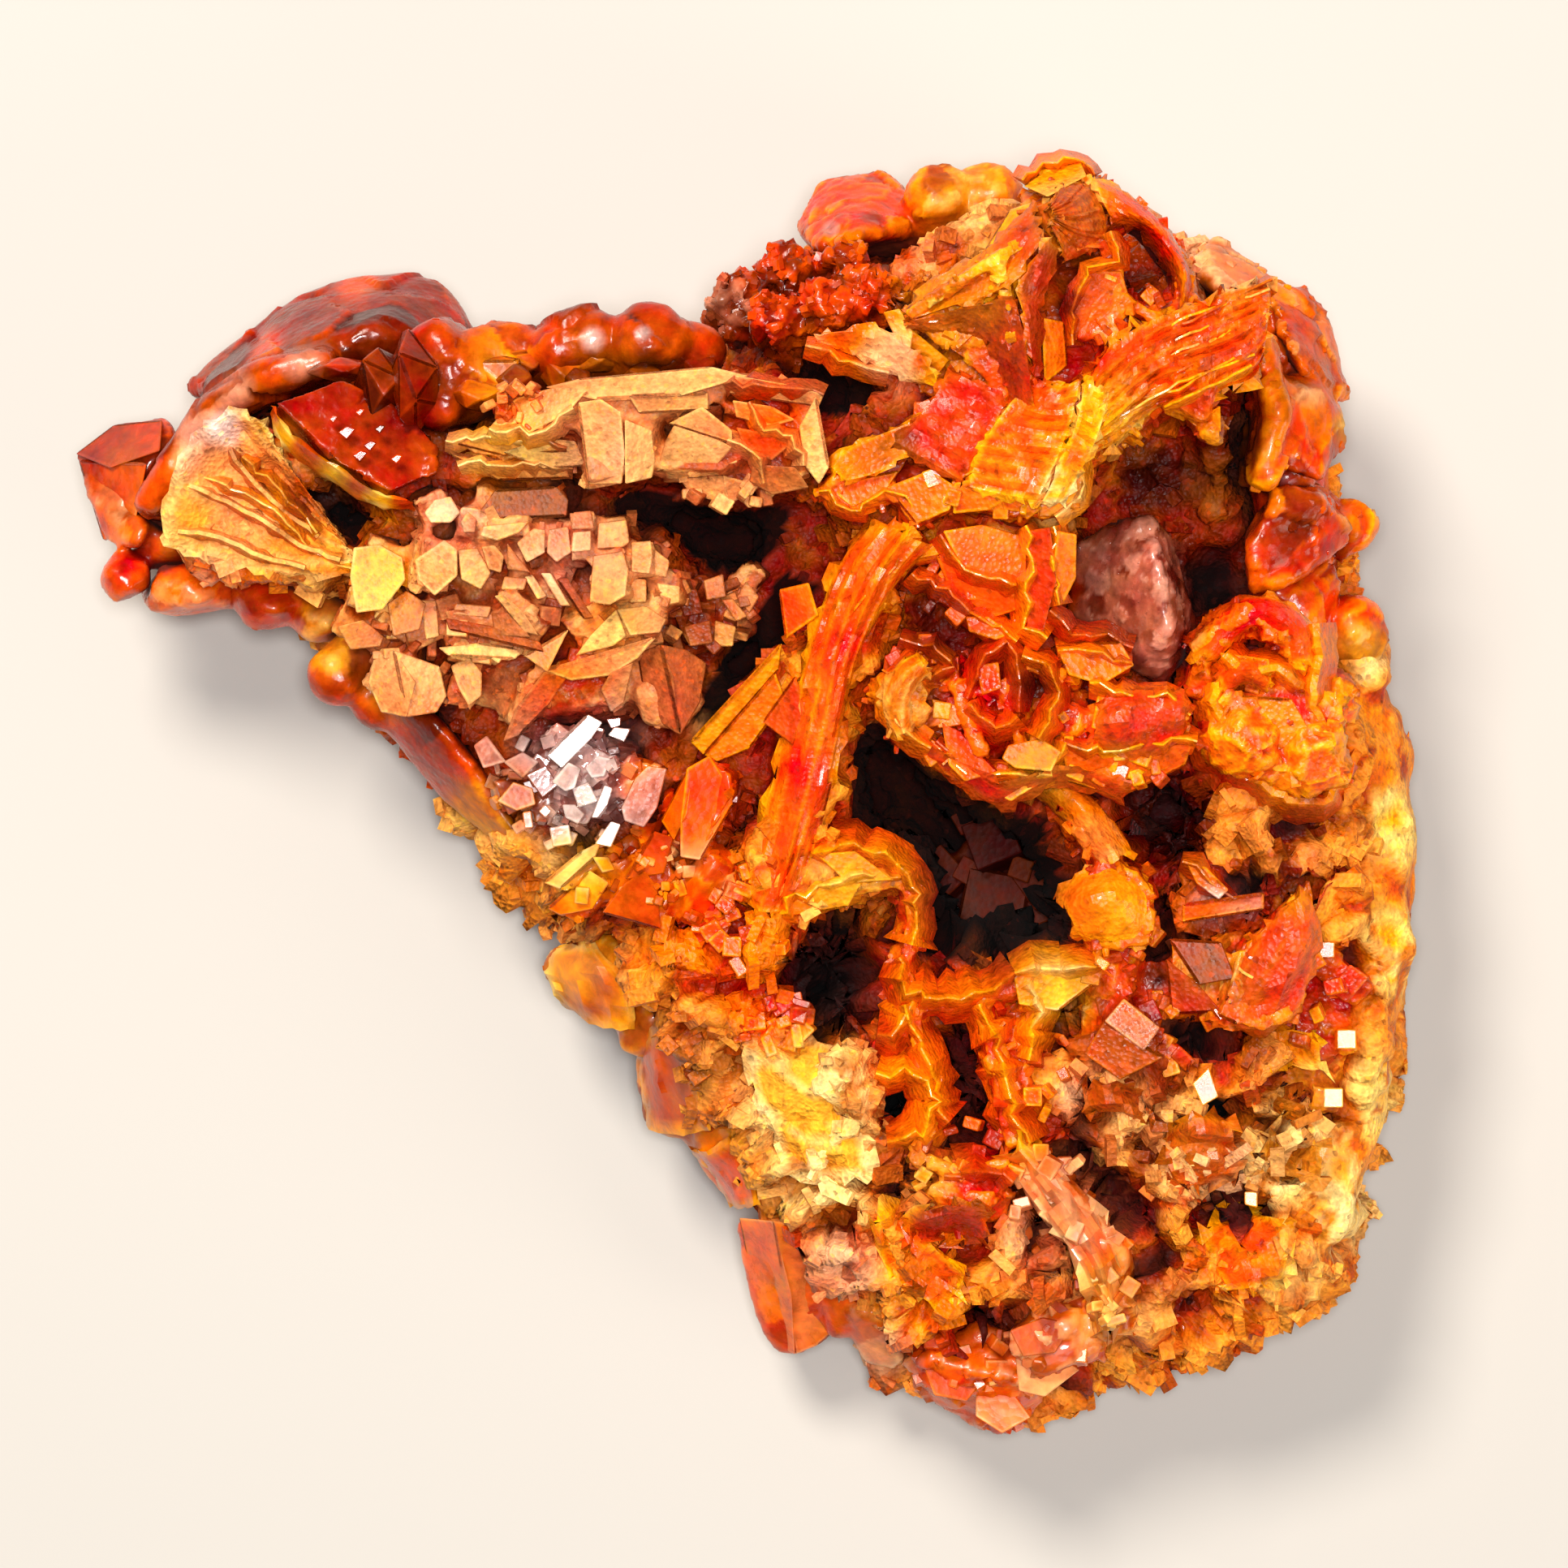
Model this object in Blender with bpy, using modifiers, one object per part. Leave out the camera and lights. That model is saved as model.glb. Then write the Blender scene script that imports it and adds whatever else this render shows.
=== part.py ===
"""Vanadinite on matrix: an ochre, pitted matrix with crusts and clusters of orange-red crystals.

The specimen lies on the flat, broken back of its matrix. X runs along the arm and the body, Y across
them, and Z up from the rest face. Shapes are laid out in millimetres and made metres at the end.
"""

import math

import bmesh
import bpy
import numpy as np
from mathutils import Matrix, Vector
from mathutils.bvhtree import BVHTree

MM = 0.001  # metres in a millimetre
GAP = 0.32  # clearance that a crystal group keeps from its neighbours, mm
SOCKET_SLACK = 0.35  # more room that a socket has before the matrix is facetted, mm
VOXEL = 0.42  # grain at which the matrix's lumps are melted together, mm
MATRIX_FACES = 2700  # triangles that the matrix keeps before its sockets are cut
SEED = 7
NUDGE = 0.03  # how far each crystal corner strays from its exact place, mm

FLOOR_CUT = 0.0  # height of the rest face, mm
WASTE_SIZE = 60.0  # width of the block that is cut away under the rest face, mm
BENCH_FOOT = 2.0  # height at which the benches start inside the body, mm
BENCH_FLARE = 1.04  # how much wider a bench's foot is than its top
HOLLOW_FLARE = 0.9  # how much narrower a hollow's floor is than its mouth
HOLLOW_MOUTH = 20.0  # height up to which a hollow is cut, above all the crystals, mm
STRUT_DEPTH = 5.5  # height of the strut's cross-section, mm
STRUT_WIDTH = 1.7  # width of the strut's cross-section, mm
SIDE_DEPTH = 3.0  # height of the side plate, mm
SIDE_WIDTH = 0.8  # thickness of the side plate, mm
STACK_THICK = 1.5  # thickness of a block of the stack, mm
MIRROR_THICK = 1.2  # thickness of a block of the mirror cluster, mm
BODY_TOP = 7.4  # height of the matrix's general surface, mm
ROUGH_SIZE = 2.1  # width of the matrix's bumps, mm
ROUGH_DEPTH = 1.5  # height of the matrix's bumps, mm

# ---------------------------------------------------------------- convex pieces, in millimetres


def plate(outline, top, slope=(0.0, 0.0), thick=0.8, shrink=0.9):
    """A flat crystal plate: its outline in plan, the height of its upper face, that face's slope."""
    flat = np.array(outline, float)
    middle = flat.mean(axis=0)
    rise = (flat - middle) @ np.array(slope, float)
    upper = np.column_stack([flat, top + rise])
    normal = np.array([-slope[0], -slope[1], 1.0])
    normal /= np.linalg.norm(normal)
    centre = upper.mean(axis=0)
    lower = centre + (upper - centre) * shrink - normal * thick
    return [np.vstack([upper, lower])]


def block(x, y, width, depth, turn, top, slope=(0.0, 0.0), thick=0.9):
    """A four-sided crystal block, turned in plan by so many degrees."""
    a = math.radians(turn)
    along = np.array([math.cos(a), math.sin(a)]) * width / 2
    across = np.array([-math.sin(a), math.cos(a)]) * depth / 2
    middle = np.array([x, y])
    corners = [middle - along - across, middle + along - across * 0.9]
    corners += [middle + along * 0.92 + across, middle - along + across * 0.95]
    return plate(corners, top, slope, thick, shrink=0.94)


def wall(path, depth, thick, rim=0.55):
    """A standing blade along a path of its upper edge's points, thinner at the rim."""
    spine = np.array(path, float)
    run = np.gradient(spine[:, :2], axis=0)
    run /= np.linalg.norm(run, axis=1)[:, None]
    side = np.column_stack([-run[:, 1], run[:, 0], np.zeros(len(spine))]) * thick / 2
    down = np.array([0.0, 0.0, depth])
    corners = [spine - side * rim, spine + side * rim, spine + side - down, spine - side - down]
    return [np.stack(corners, axis=1)]


def prism(centre, axis, radius, length, bevel=0.2, squash=1.0, spin=0.0):
    """A six-sided vanadinite crystal with a bevelled outer end, along an axis through its centre."""
    axis = Vector(axis).normalized()
    turn = axis.to_track_quat("Z", "Y").to_matrix()
    points = []
    for share, height in ((1.0, -0.5), (1.0, 0.32), (1 - bevel, 0.5)):
        for k in range(6):
            a = math.radians(spin + 60 * k)
            ring = Vector((math.cos(a) * radius * share, math.sin(a) * radius * share * squash, 0))
            ring.z = height * length
            points.append(Vector(centre) + turn @ ring)
    return [np.array(points)]


def lump(centre, radii, count=10, seed=0):
    """A knobbly facetted lump: the hull of points strewn evenly over an ellipsoid."""
    draw = np.random.default_rng(SEED * 1000 + seed)
    k = np.arange(count) + 0.5
    polar = np.arccos(1 - 2 * k / count) + draw.uniform(-0.12, 0.12, count)
    around = math.pi * (1 + 5**0.5) * k + draw.uniform(-0.25, 0.25, count)
    unit = np.column_stack(
        [np.cos(around) * np.sin(polar), np.sin(around) * np.sin(polar), np.cos(polar)],
    )
    unit *= draw.uniform(0.86, 1.08, (count, 1))
    return [np.array(centre) + unit * np.array(radii)]


def hull(*points):
    """A crystal given by its own corners."""
    return [np.array(points, float)]


# ---------------------------------------------------------------- mesh tools


def shells(pieces, grow=0.0):
    """One mesh holding a closed shell for each piece, each pushed out by grow along its faces.

    A piece is a cloud of points, which gives its hull, or a row of four-cornered sections, which are
    joined end to end.
    """
    out = bmesh.new()
    for points in pieces:
        nudge = np.random.default_rng(int(1000 * abs(points).sum()))
        strayed = points + nudge.uniform(-NUDGE, NUDGE, points.shape)
        bm = bmesh.new()
        if points.ndim == 3:
            loft(bm, strayed)
        else:
            wrap(bm, strayed)
        bmesh.ops.recalc_face_normals(bm, faces=bm.faces)
        bm.normal_update()
        if grow:
            moves = [push(v, grow) for v in bm.verts]
            for v, move in zip(bm.verts, moves):
                v.co += move
        spot = {v: out.verts.new(v.co) for v in bm.verts}
        for f in bm.faces:
            out.faces.new([spot[v] for v in f.verts])
        bm.free()
    return out


def wrap(bm, points):
    """Adds the hull of a cloud of points to an empty mesh."""
    for p in points:
        bm.verts.new(p)
    made = bmesh.ops.convex_hull(bm, input=bm.verts, use_existing_faces=False)
    spare = [g for g in made["geom_interior"] if isinstance(g, bmesh.types.BMVert)]
    bmesh.ops.delete(bm, geom=spare, context="VERTS")


def loft(bm, sections):
    """Adds four-cornered sections to an empty mesh, joined end to end and closed at both ends."""
    rings = [[bm.verts.new(p) for p in section] for section in sections]
    for a, b in zip(rings[:-1], rings[1:]):
        for k in range(4):
            bm.faces.new((a[k], a[(k + 1) % 4], b[(k + 1) % 4], b[k]))
    bm.faces.new(rings[0])
    bm.faces.new(rings[-1])
    bmesh.ops.triangulate(bm, faces=bm.faces)


def push(vert, grow):
    """How far a corner moves when all the faces that meet there move out by grow."""
    normals = np.array([f.normal[:] for f in vert.link_faces])
    move = np.linalg.lstsq(normals, np.full(len(normals), grow), rcond=0.05)[0]
    size = np.linalg.norm(move)
    if size > 2.5 * grow:
        move *= 2.5 * grow / size
    return Vector(move)


def new_object(name, bm):
    """Makes a mesh an object of the scene."""
    mesh = bpy.data.meshes.new(name)
    bm.to_mesh(mesh)
    bm.free()
    obj = bpy.data.objects.new(name, mesh)
    bpy.context.scene.collection.objects.link(obj)
    return obj


def settle(obj):
    """Replaces an object's mesh by what its modifiers make of it."""
    bpy.context.view_layer.update()
    shape = obj.evaluated_get(bpy.context.evaluated_depsgraph_get())
    made = bpy.data.meshes.new_from_object(shape)
    obj.modifiers.clear()
    obj.data = made


def boolean(obj, operation, other, solver="EXACT"):
    """Joins or cuts an object with another, which is used up."""
    mod = obj.modifiers.new(operation.lower(), "BOOLEAN")
    mod.operation = operation
    mod.solver = solver
    if solver == "EXACT":
        mod.use_self = True
    mod.object = other
    settle(obj)
    bpy.data.objects.remove(other)


def keep_main_body(obj):
    """Drops the chips and sealed bubbles that a cut leaves beside the main body."""
    bm = bmesh.new()
    bm.from_mesh(obj.data)
    left = set(bm.verts)
    bodies = []
    while left:
        found = {left.pop()}
        edge = list(found)
        while edge:
            near = {e.other_vert(v) for v in edge for e in v.link_edges} - found
            found |= near
            edge = list(near)
        left -= found
        bodies.append(found)
    main = max(bodies, key=extent)
    bmesh.ops.delete(bm, geom=[v for v in bm.verts if v not in main], context="VERTS")
    bm.to_mesh(obj.data)
    bm.free()


def extent(verts):
    """The length of the diagonal of the box round some corners."""
    points = np.array([v.co[:] for v in verts])
    return float(np.linalg.norm(points.max(axis=0) - points.min(axis=0)))


def closed(bm):
    """Whether each edge of a mesh lies between just two faces."""
    return all(len(e.link_faces) == 2 for e in bm.edges)


def tidy_faces(obj, reach=0.01):
    """Gives flat faces as few triangles as they need, and merges corners that nearly meet."""
    bm = bmesh.new()
    bm.from_mesh(obj.data)
    bmesh.ops.dissolve_limit(
        bm, angle_limit=math.radians(1.5), verts=bm.verts, edges=bm.edges, use_dissolve_boundaries=False
    )
    bmesh.ops.triangulate(bm, faces=bm.faces)
    if closed(bm):
        bm.to_mesh(obj.data)
    welded = bm.copy()
    bmesh.ops.remove_doubles(welded, verts=welded.verts, dist=reach)
    bmesh.ops.dissolve_degenerate(welded, edges=welded.edges, dist=reach / 2)
    bmesh.ops.triangulate(welded, faces=welded.faces)
    if closed(welded):
        welded.to_mesh(obj.data)
    welded.free()
    bm.free()


# ---------------------------------------------------------------- crystal groups

# Each function gives the convex pieces of one group. Heights are over the rest face.


def left_tip_crystal():
    """The blunt red crystal at the arm's end, with a round glassy knob under it."""
    pieces = hull(
        (-20.8, 11.0, 5.4), (-19.6, 11.9, 5.2), (-18.0, 12.1, 5.8), (-17.0, 10.8, 7.6),
        (-18.8, 8.0, 7.6), (-19.7, 8.3, 6.4), (-20.4, 9.8, 6.0), (-19.9, 10.6, 3.4),
        (-18.2, 11.2, 3.0), (-18.4, 8.8, 3.4), (-19.6, 9.2, 3.8),
    )
    pieces += lump((-19.15, 7.2, 6.6), (0.9, 0.9, 1.0), seed=1)
    pieces += lump((-17.9, 8.6, 5.8), (1.4, 1.6, 1.6), seed=2)
    return pieces


def crown_crystals():
    """The smooth, glassy red lump over the arm's back, its ridge, and the crust beside it."""
    pieces = hull(
        (-17.4, 13.0, 6.0), (-16.8, 13.4, 5.4), (-15.4, 13.9, 5.8), (-14.9, 15.0, 5.6),
        (-13.9, 15.9, 5.4), (-12.4, 16.35, 5.4), (-10.0, 16.45, 5.6), (-9.2, 16.0, 5.8),
        (-8.2, 14.7, 6.2), (-15.6, 12.9, 9.0), (-13.4, 14.0, 9.8), (-11.2, 14.7, 10.0),
        (-9.4, 13.8, 9.4), (-15.6, 12.4, 5.0), (-12.0, 14.4, 3.2), (-9.4, 13.8, 3.8),
    )
    ridge = [
        (-18.3, 9.1, 9.2), (-17.4, 10.4, 9.8), (-16.2, 12.2, 10.3), (-14.6, 13.2, 10.8),
        (-12.5, 13.6, 11.0),
    ]
    pieces += wall(ridge, 3.2, 1.1)
    pieces += plate(
        [(-10.9, 12.8), (-10.3, 14.2), (-9.4, 14.7), (-8.6, 13.6), (-8.8, 11.7), (-9.6, 11.6)],
        11.9, (0.35, 0.1), 2.4,
    )
    pieces += prism((-8.2, 13.1, 10.6), (0.3, 0.4, 1), 1.1, 2.6, spin=10)
    pieces += prism((-7.0, 13.5, 10.2), (-0.2, 0.5, 1), 1.0, 2.8, spin=25)
    pieces += prism((-5.6, 13.6, 10.8), (0.2, 0.6, 1), 0.9, 2.6)
    pieces += prism((-4.4, 13.9, 10.9), (-0.4, 0.5, 1), 0.9, 2.8, spin=40)
    pieces += prism((-2.9, 13.9, 11.2), (0.2, 0.6, 1), 1.15, 2.6, spin=15)
    pieces += prism((-1.6, 13.7, 10.6), (0.5, 0.3, 1), 0.8, 2.4)
    pieces += lump((-6.6, 13.2, 9.0), (3.6, 1.1, 1.6), seed=3)
    pieces += lump((-3.0, 13.5, 9.6), (2.6, 1.0, 1.5), seed=4)
    return pieces


def tabular_crystal():
    """The six-sided red tablet that stands on edge in the arm, its rim turned to the front."""
    outline = [
        (-14.1, 12.3), (-12.1, 13.0), (-10.2, 12.1), (-9.05, 10.9), (-9.2, 10.1), (-10.6, 9.5),
        (-12.2, 10.4),
    ]
    return plate(outline, 12.5, (-0.22, -0.34), 1.5, shrink=0.93)


def ledge_plates():
    """The shelf of thick tan plates that overhangs the black cleft."""
    pieces = plate(
        [
            (-7.6, 11.5), (-6.0, 12.6), (-4.0, 12.95), (-0.8, 13.2), (0.2, 12.9), (-1.0, 11.9),
            (-3.0, 11.8), (-6.2, 11.2),
        ],
        14.2, (0.04, -0.18), 1.1,
    )
    pieces += lump((-6.7, 11.9, 13.4), (1.2, 0.8, 0.9), seed=5)
    pieces += block(-4.1, 10.9, 1.25, 2.3, 8, 14.5, (-0.2, -0.15), 1.5)
    pieces += block(-3.15, 10.8, 0.95, 1.5, -6, 14.1, (0.35, -0.1), 1.6)
    pieces += plate(
        [(-2.6, 10.1), (-2.0, 11.6), (-1.2, 11.95), (-0.3, 11.2), (0.1, 10.5), (-0.6, 10.1)], 13.9,
        (0.05, -0.35), 1.5,
    )
    pieces += plate(
        [(-1.8, 9.7), (-0.5, 9.1), (0.2, 9.7), (-0.4, 10.3), (-1.6, 10.3)], 13.0, (0.0, 0.3), 1.8,
    )
    pieces += wall([(-0.9, 12.9, 14.4), (0.6, 12.75, 14.6), (2.2, 12.25, 14.5)], 2.4, 0.8)
    pieces += wall([(1.5, 12.3, 14.4), (2.0, 11.5, 14.3), (1.6, 10.6, 14.1), (1.8, 9.9, 13.8)], 2.2, 0.8)
    pieces += wall([(-0.5, 12.0, 14.1), (0.4, 11.9, 14.3), (1.6, 11.3, 14.2)], 1.8, 0.7)
    pieces += wall([(-0.1, 10.3, 13.7), (0.5, 11.1, 14.0), (0.4, 11.9, 14.2)], 1.8, 0.7)
    pieces += plate(
        [(-0.5, 10.2), (0.2, 9.5), (1.8, 9.8), (1.9, 12.1), (-0.6, 12.8)], 13.3, (0.0, 0.05), 2.6,
    )
    pieces += plate(
        [(-8.8, 11.1), (-7.6, 11.3), (-5.0, 11.1), (-4.8, 10.5), (-6.0, 10.3), (-8.0, 10.6)], 13.0,
        (0.0, 0.3), 0.9,
    )
    pieces += block(-6.1, 10.15, 2.5, 0.5, 4, 12.5, (0.0, 0.2), 0.8)
    pieces += lump((-3.4, 11.5, 11.5), (4.6, 1.3, 1.9), seed=6)
    return pieces


# middle x and y, width, depth, turn in degrees, height of the upper face, slope
STACK_BLOCKS = (
    (-9.3, 9.0, 1.1, 1.1, 22, 12.2, (-0.2, 0.2)),
    (-8.2, 8.6, 1.0, 1.1, -14, 12.5, (0.1, 0.1)),
    (-6.7, 9.4, 2.9, 0.9, 3, 12.1, (0.0, 0.3)),
    (-7.1, 8.5, 1.6, 0.8, -2, 12.7, (0.1, -0.1)),
    (-5.9, 8.3, 1.4, 1.1, -8, 12.4, (0.1, -0.2)),
    (-4.8, 8.2, 0.8, 1.6, 0, 12.9, (0.0, -0.1)),
    (-3.9, 8.4, 1.0, 0.9, 3, 12.5, (0.2, 0.1)),
    (-4.0, 7.1, 1.15, 1.7, 4, 13.0, (0.1, -0.15)),
    (-3.0, 7.5, 0.8, 1.2, -2, 12.6, (0.2, 0.0)),
    (-2.4, 6.6, 1.1, 1.1, 6, 12.1, (0.3, 0.0)),
    (-9.2, 7.3, 1.3, 1.8, -12, 12.3, (-0.3, 0.1)),
    (-7.9, 7.7, 0.9, 1.0, 32, 12.2, (0.2, 0.2)),
    (-6.9, 7.4, 0.6, 1.2, 24, 12.0, (0.3, 0.0)),
    (-5.6, 7.1, 1.3, 0.9, -20, 11.7, (0.1, 0.3)),
    (-7.6, 5.7, 2.9, 0.5, -5, 11.8, (0.0, 0.3)),
    (-7.5, 4.9, 2.9, 0.6, -7, 11.6, (0.0, 0.25)),
    (-6.6, 5.9, 2.0, 0.6, -42, 12.1, (0.1, 0.3)),
    (-4.7, 5.5, 1.3, 1.2, 30, 11.9, (-0.1, 0.2)),
    (-3.4, 5.6, 2.2, 1.0, 14, 12.0, (0.1, 0.3)),
    (-8.4, 3.8, 0.9, 1.8, -16, 11.0, (-0.1, 0.2)),
    (-1.4, 5.5, 1.1, 1.1, 18, 10.9, (0.1, 0.1)),
    (-0.6, 6.2, 1.0, 1.0, 30, 10.7, (0.2, 0.1)),
    (0.2, 7.0, 1.0, 0.9, 42, 10.6, (0.1, 0.1)),
    (-11.0, 7.0, 1.3, 2.4, -20, 11.3, (-0.2, 0.2)),
    (-11.6, 5.3, 1.9, 0.9, -26, 10.2, (-0.1, 0.2)),
    (-9.6, 5.6, 1.5, 1.5, 20, 11.0, (-0.2, 0.1)),
)


def plate_stack():
    """Tan plates and blocks stacked in steps below the ledge."""
    pieces = []
    for x, y, width, depth, turn, top, slope in STACK_BLOCKS:
        pieces += block(x, y, width, depth, turn, top, slope, STACK_THICK)
    pieces += prism((-10.4, 3.9, 9.9), (-0.3, -0.2, 1), 1.15, 1.6, bevel=0.1)
    pieces += prism((-2.3, 3.5, 10.4), (0.2, -0.3, 1), 1.2, 1.9, bevel=0.3, spin=15)
    pieces += wall([(-7.0, 2.5, 10.7), (-6.4, 4.0, 11.4), (-5.0, 4.4, 11.5), (-2.6, 4.9, 11.5)], 1.8, 0.9)
    pieces += wall([(-3.0, 4.8, 11.4), (-3.7, 3.7, 11.0), (-3.9, 2.9, 10.7)], 1.6, 0.8)
    pieces += lump((-6.3, 6.6, 9.6), (4.6, 3.0, 2.2), count=12, seed=7)
    pieces += lump((-5.2, 3.9, 9.3), (4.6, 1.8, 1.7), count=12, seed=8)
    pieces += lump((-1.2, 5.8, 9.4), (1.9, 1.5, 1.3), seed=9)
    pieces += lump((-10.4, 5.8, 9.3), (1.7, 2.0, 1.4), seed=10)
    return pieces


MIRROR_BLOCKS = (
    (-5.3, 1.9, 1.7, 0.9, -35, 10.9, (0.1, 0.1)),
    (-4.0, 2.3, 0.9, 0.8, -30, 10.8, (0.2, 0.1)),
    (-5.2, 0.9, 1.1, 0.9, -32, 10.7, (0.0, 0.1)),
    (-4.4, 1.3, 0.9, 0.9, -30, 10.9, (0.1, -0.1)),
    (-4.3, 0.3, 0.5, 1.0, -26, 10.6, (0.3, 0.0)),
    (-6.1, -0.1, 0.8, 0.7, 20, 10.0, (-0.2, 0.0)),
    (-5.0, -0.1, 0.8, 0.8, -20, 10.4, (0.1, -0.2)),
    (-4.0, -0.7, 0.8, 0.8, 10, 10.2, (0.1, -0.2)),
    (-7.0, 0.5, 1.1, 1.0, 12, 10.0, (-0.3, 0.1)),
    (-6.2, 1.0, 0.9, 0.9, 30, 10.4, (-0.1, 0.1)),
    (-3.2, 0.8, 1.2, 1.5, -20, 10.5, (0.2, 0.0)),
)


def mirror_cluster():
    """Small square-edged crystals whose clean faces flash like mirrors."""
    pieces = lump((-5.0, 0.8, 9.2), (2.6, 1.9, 1.5), seed=11)
    for x, y, width, depth, turn, top, slope in MIRROR_BLOCKS:
        pieces += block(x, y, width, depth, turn, top, slope, MIRROR_THICK)
    return pieces


def leaning_crystals():
    """Long red and pink crystals that lean up the slope below the strut."""
    pieces = plate(
        [(-2.3, -0.9), (-1.2, 1.6), (-0.3, 1.1), (-0.3, 0.4), (-1.4, -1.6)], 11.2, (0.3, 0.1), 1.3,
    )
    pieces += plate([(-4.3, -3.1), (-2.6, -0.8), (-1.9, -2.2), (-2.4, -3.6)], 10.4, (0.1, 0.1), 1.2)
    pieces += plate([(-6.0, -2.4), (-4.0, -0.5), (-3.4, -0.9), (-5.4, -2.7)], 9.6, (0.15, -0.2), 0.9)
    pieces += plate([(-5.9, -3.2), (-3.9, -1.6), (-3.4, -2.2), (-5.1, -3.6)], 9.0, (0.2, -0.2), 0.9)
    pieces += prism((-3.0, -0.2, 9.9), (0.4, 0.8, 0.5), 0.75, 2.4)
    pieces += prism((-1.2, -2.4, 9.9), (0.5, 0.8, 0.4), 0.8, 2.6, spin=20)
    pieces += lump((-2.9, -1.8, 8.8), (2.3, 2.1, 1.4), seed=12)
    return pieces


def edge_lens_crystal():
    """The dark red face with a curved peach rim on the arm's lower edge."""
    pieces = hull(
        (-11.7, 3.3, 7.0), (-10.4, 2.0, 6.4), (-9.2, 0.2, 6.2), (-7.6, -1.0, 6.6), (-6.9, -0.9, 8.4),
        (-8.2, 1.3, 8.9), (-9.6, 2.9, 8.9), (-11.0, 3.9, 8.4), (-9.6, 1.4, 4.2), (-8.0, 0.3, 4.4), (
            -9.0, 2.2, 4.6,
        ),
    )
    pieces += prism((-12.3, 4.3, 7.2), (-0.7, -0.7, 0.5), 0.9, 2.2, bevel=0.4)
    pieces += prism((-11.2, 3.5, 6.6), (-0.5, -0.6, 0.6), 0.8, 2.0, bevel=0.4, spin=20)
    return pieces


def arm_fringe_crystals():
    """The row of blunt lobes along the arm's lower left edge."""
    pieces = lump((-17.2, 6.9, 6.0), (1.9, 1.2, 1.7), seed=13)
    pieces += lump((-14.7, 6.5, 6.3), (1.4, 1.0, 1.5), seed=14)
    pieces += lump((-13.0, 5.9, 6.6), (1.1, 0.9, 1.3), seed=15)
    pieces += hull(
        (-18.4, 7.0, 4.6), (-16.0, 6.4, 4.0), (-13.0, 5.9, 4.6), (-17.4, 8.2, 5.2),
        (-13.4, 7.2, 5.4), (-17.0, 7.4, 7.0), (-13.6, 6.6, 7.0), (-15.6, 7.6, 4.0),
    )
    return pieces


def top_peak_crystals():
    """The smooth orange-red peak and the pale crust beside it on the upper edge."""
    pieces = hull(
        (1.6, 17.9, 7.8), (2.5, 19.35, 7.0), (3.4, 19.35, 7.2), (4.3, 19.7, 7.0), (4.9, 19.1, 7.4),
        (5.2, 17.6, 9.6), (3.6, 17.4, 11.2), (2.3, 17.0, 10.6), (2.6, 17.4, 5.6), (4.4, 17.6, 5.4),
    )
    pieces += prism((5.9, 18.3, 8.6), (0.1, 0.6, 0.7), 1.0, 2.6, spin=15)
    pieces += prism((7.6, 18.4, 8.4), (-0.2, 0.7, 0.6), 1.0, 2.4)
    pieces += lump((5.2, 17.9, 7.4), (3.4, 1.1, 1.5), seed=18)
    return pieces


def top_crust_crystals():
    """Dark sugary crystals below the peak, round a grey lump."""
    pieces = lump((-0.15, 15.35, 8.2), (1.35, 1.4, 1.5), count=18, seed=16)
    pieces += prism((1.2, 14.6, 11.6), (-0.2, 0.4, 1), 0.9, 2.4)
    pieces += prism((2.6, 15.0, 12.0), (0.1, 0.4, 1), 1.0, 2.4, spin=20)
    pieces += prism((3.9, 15.3, 12.0), (0.4, 0.3, 1), 0.9, 2.4, spin=40)
    pieces += prism((1.5, 16.1, 10.8), (-0.4, 0.4, 1), 0.9, 2.4, spin=10)
    pieces += prism((3.1, 16.2, 11.2), (0.1, 0.5, 1), 0.9, 2.4)
    pieces += lump((2.2, 15.2, 9.6), (2.7, 1.5, 1.8), seed=17)
    return pieces


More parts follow.
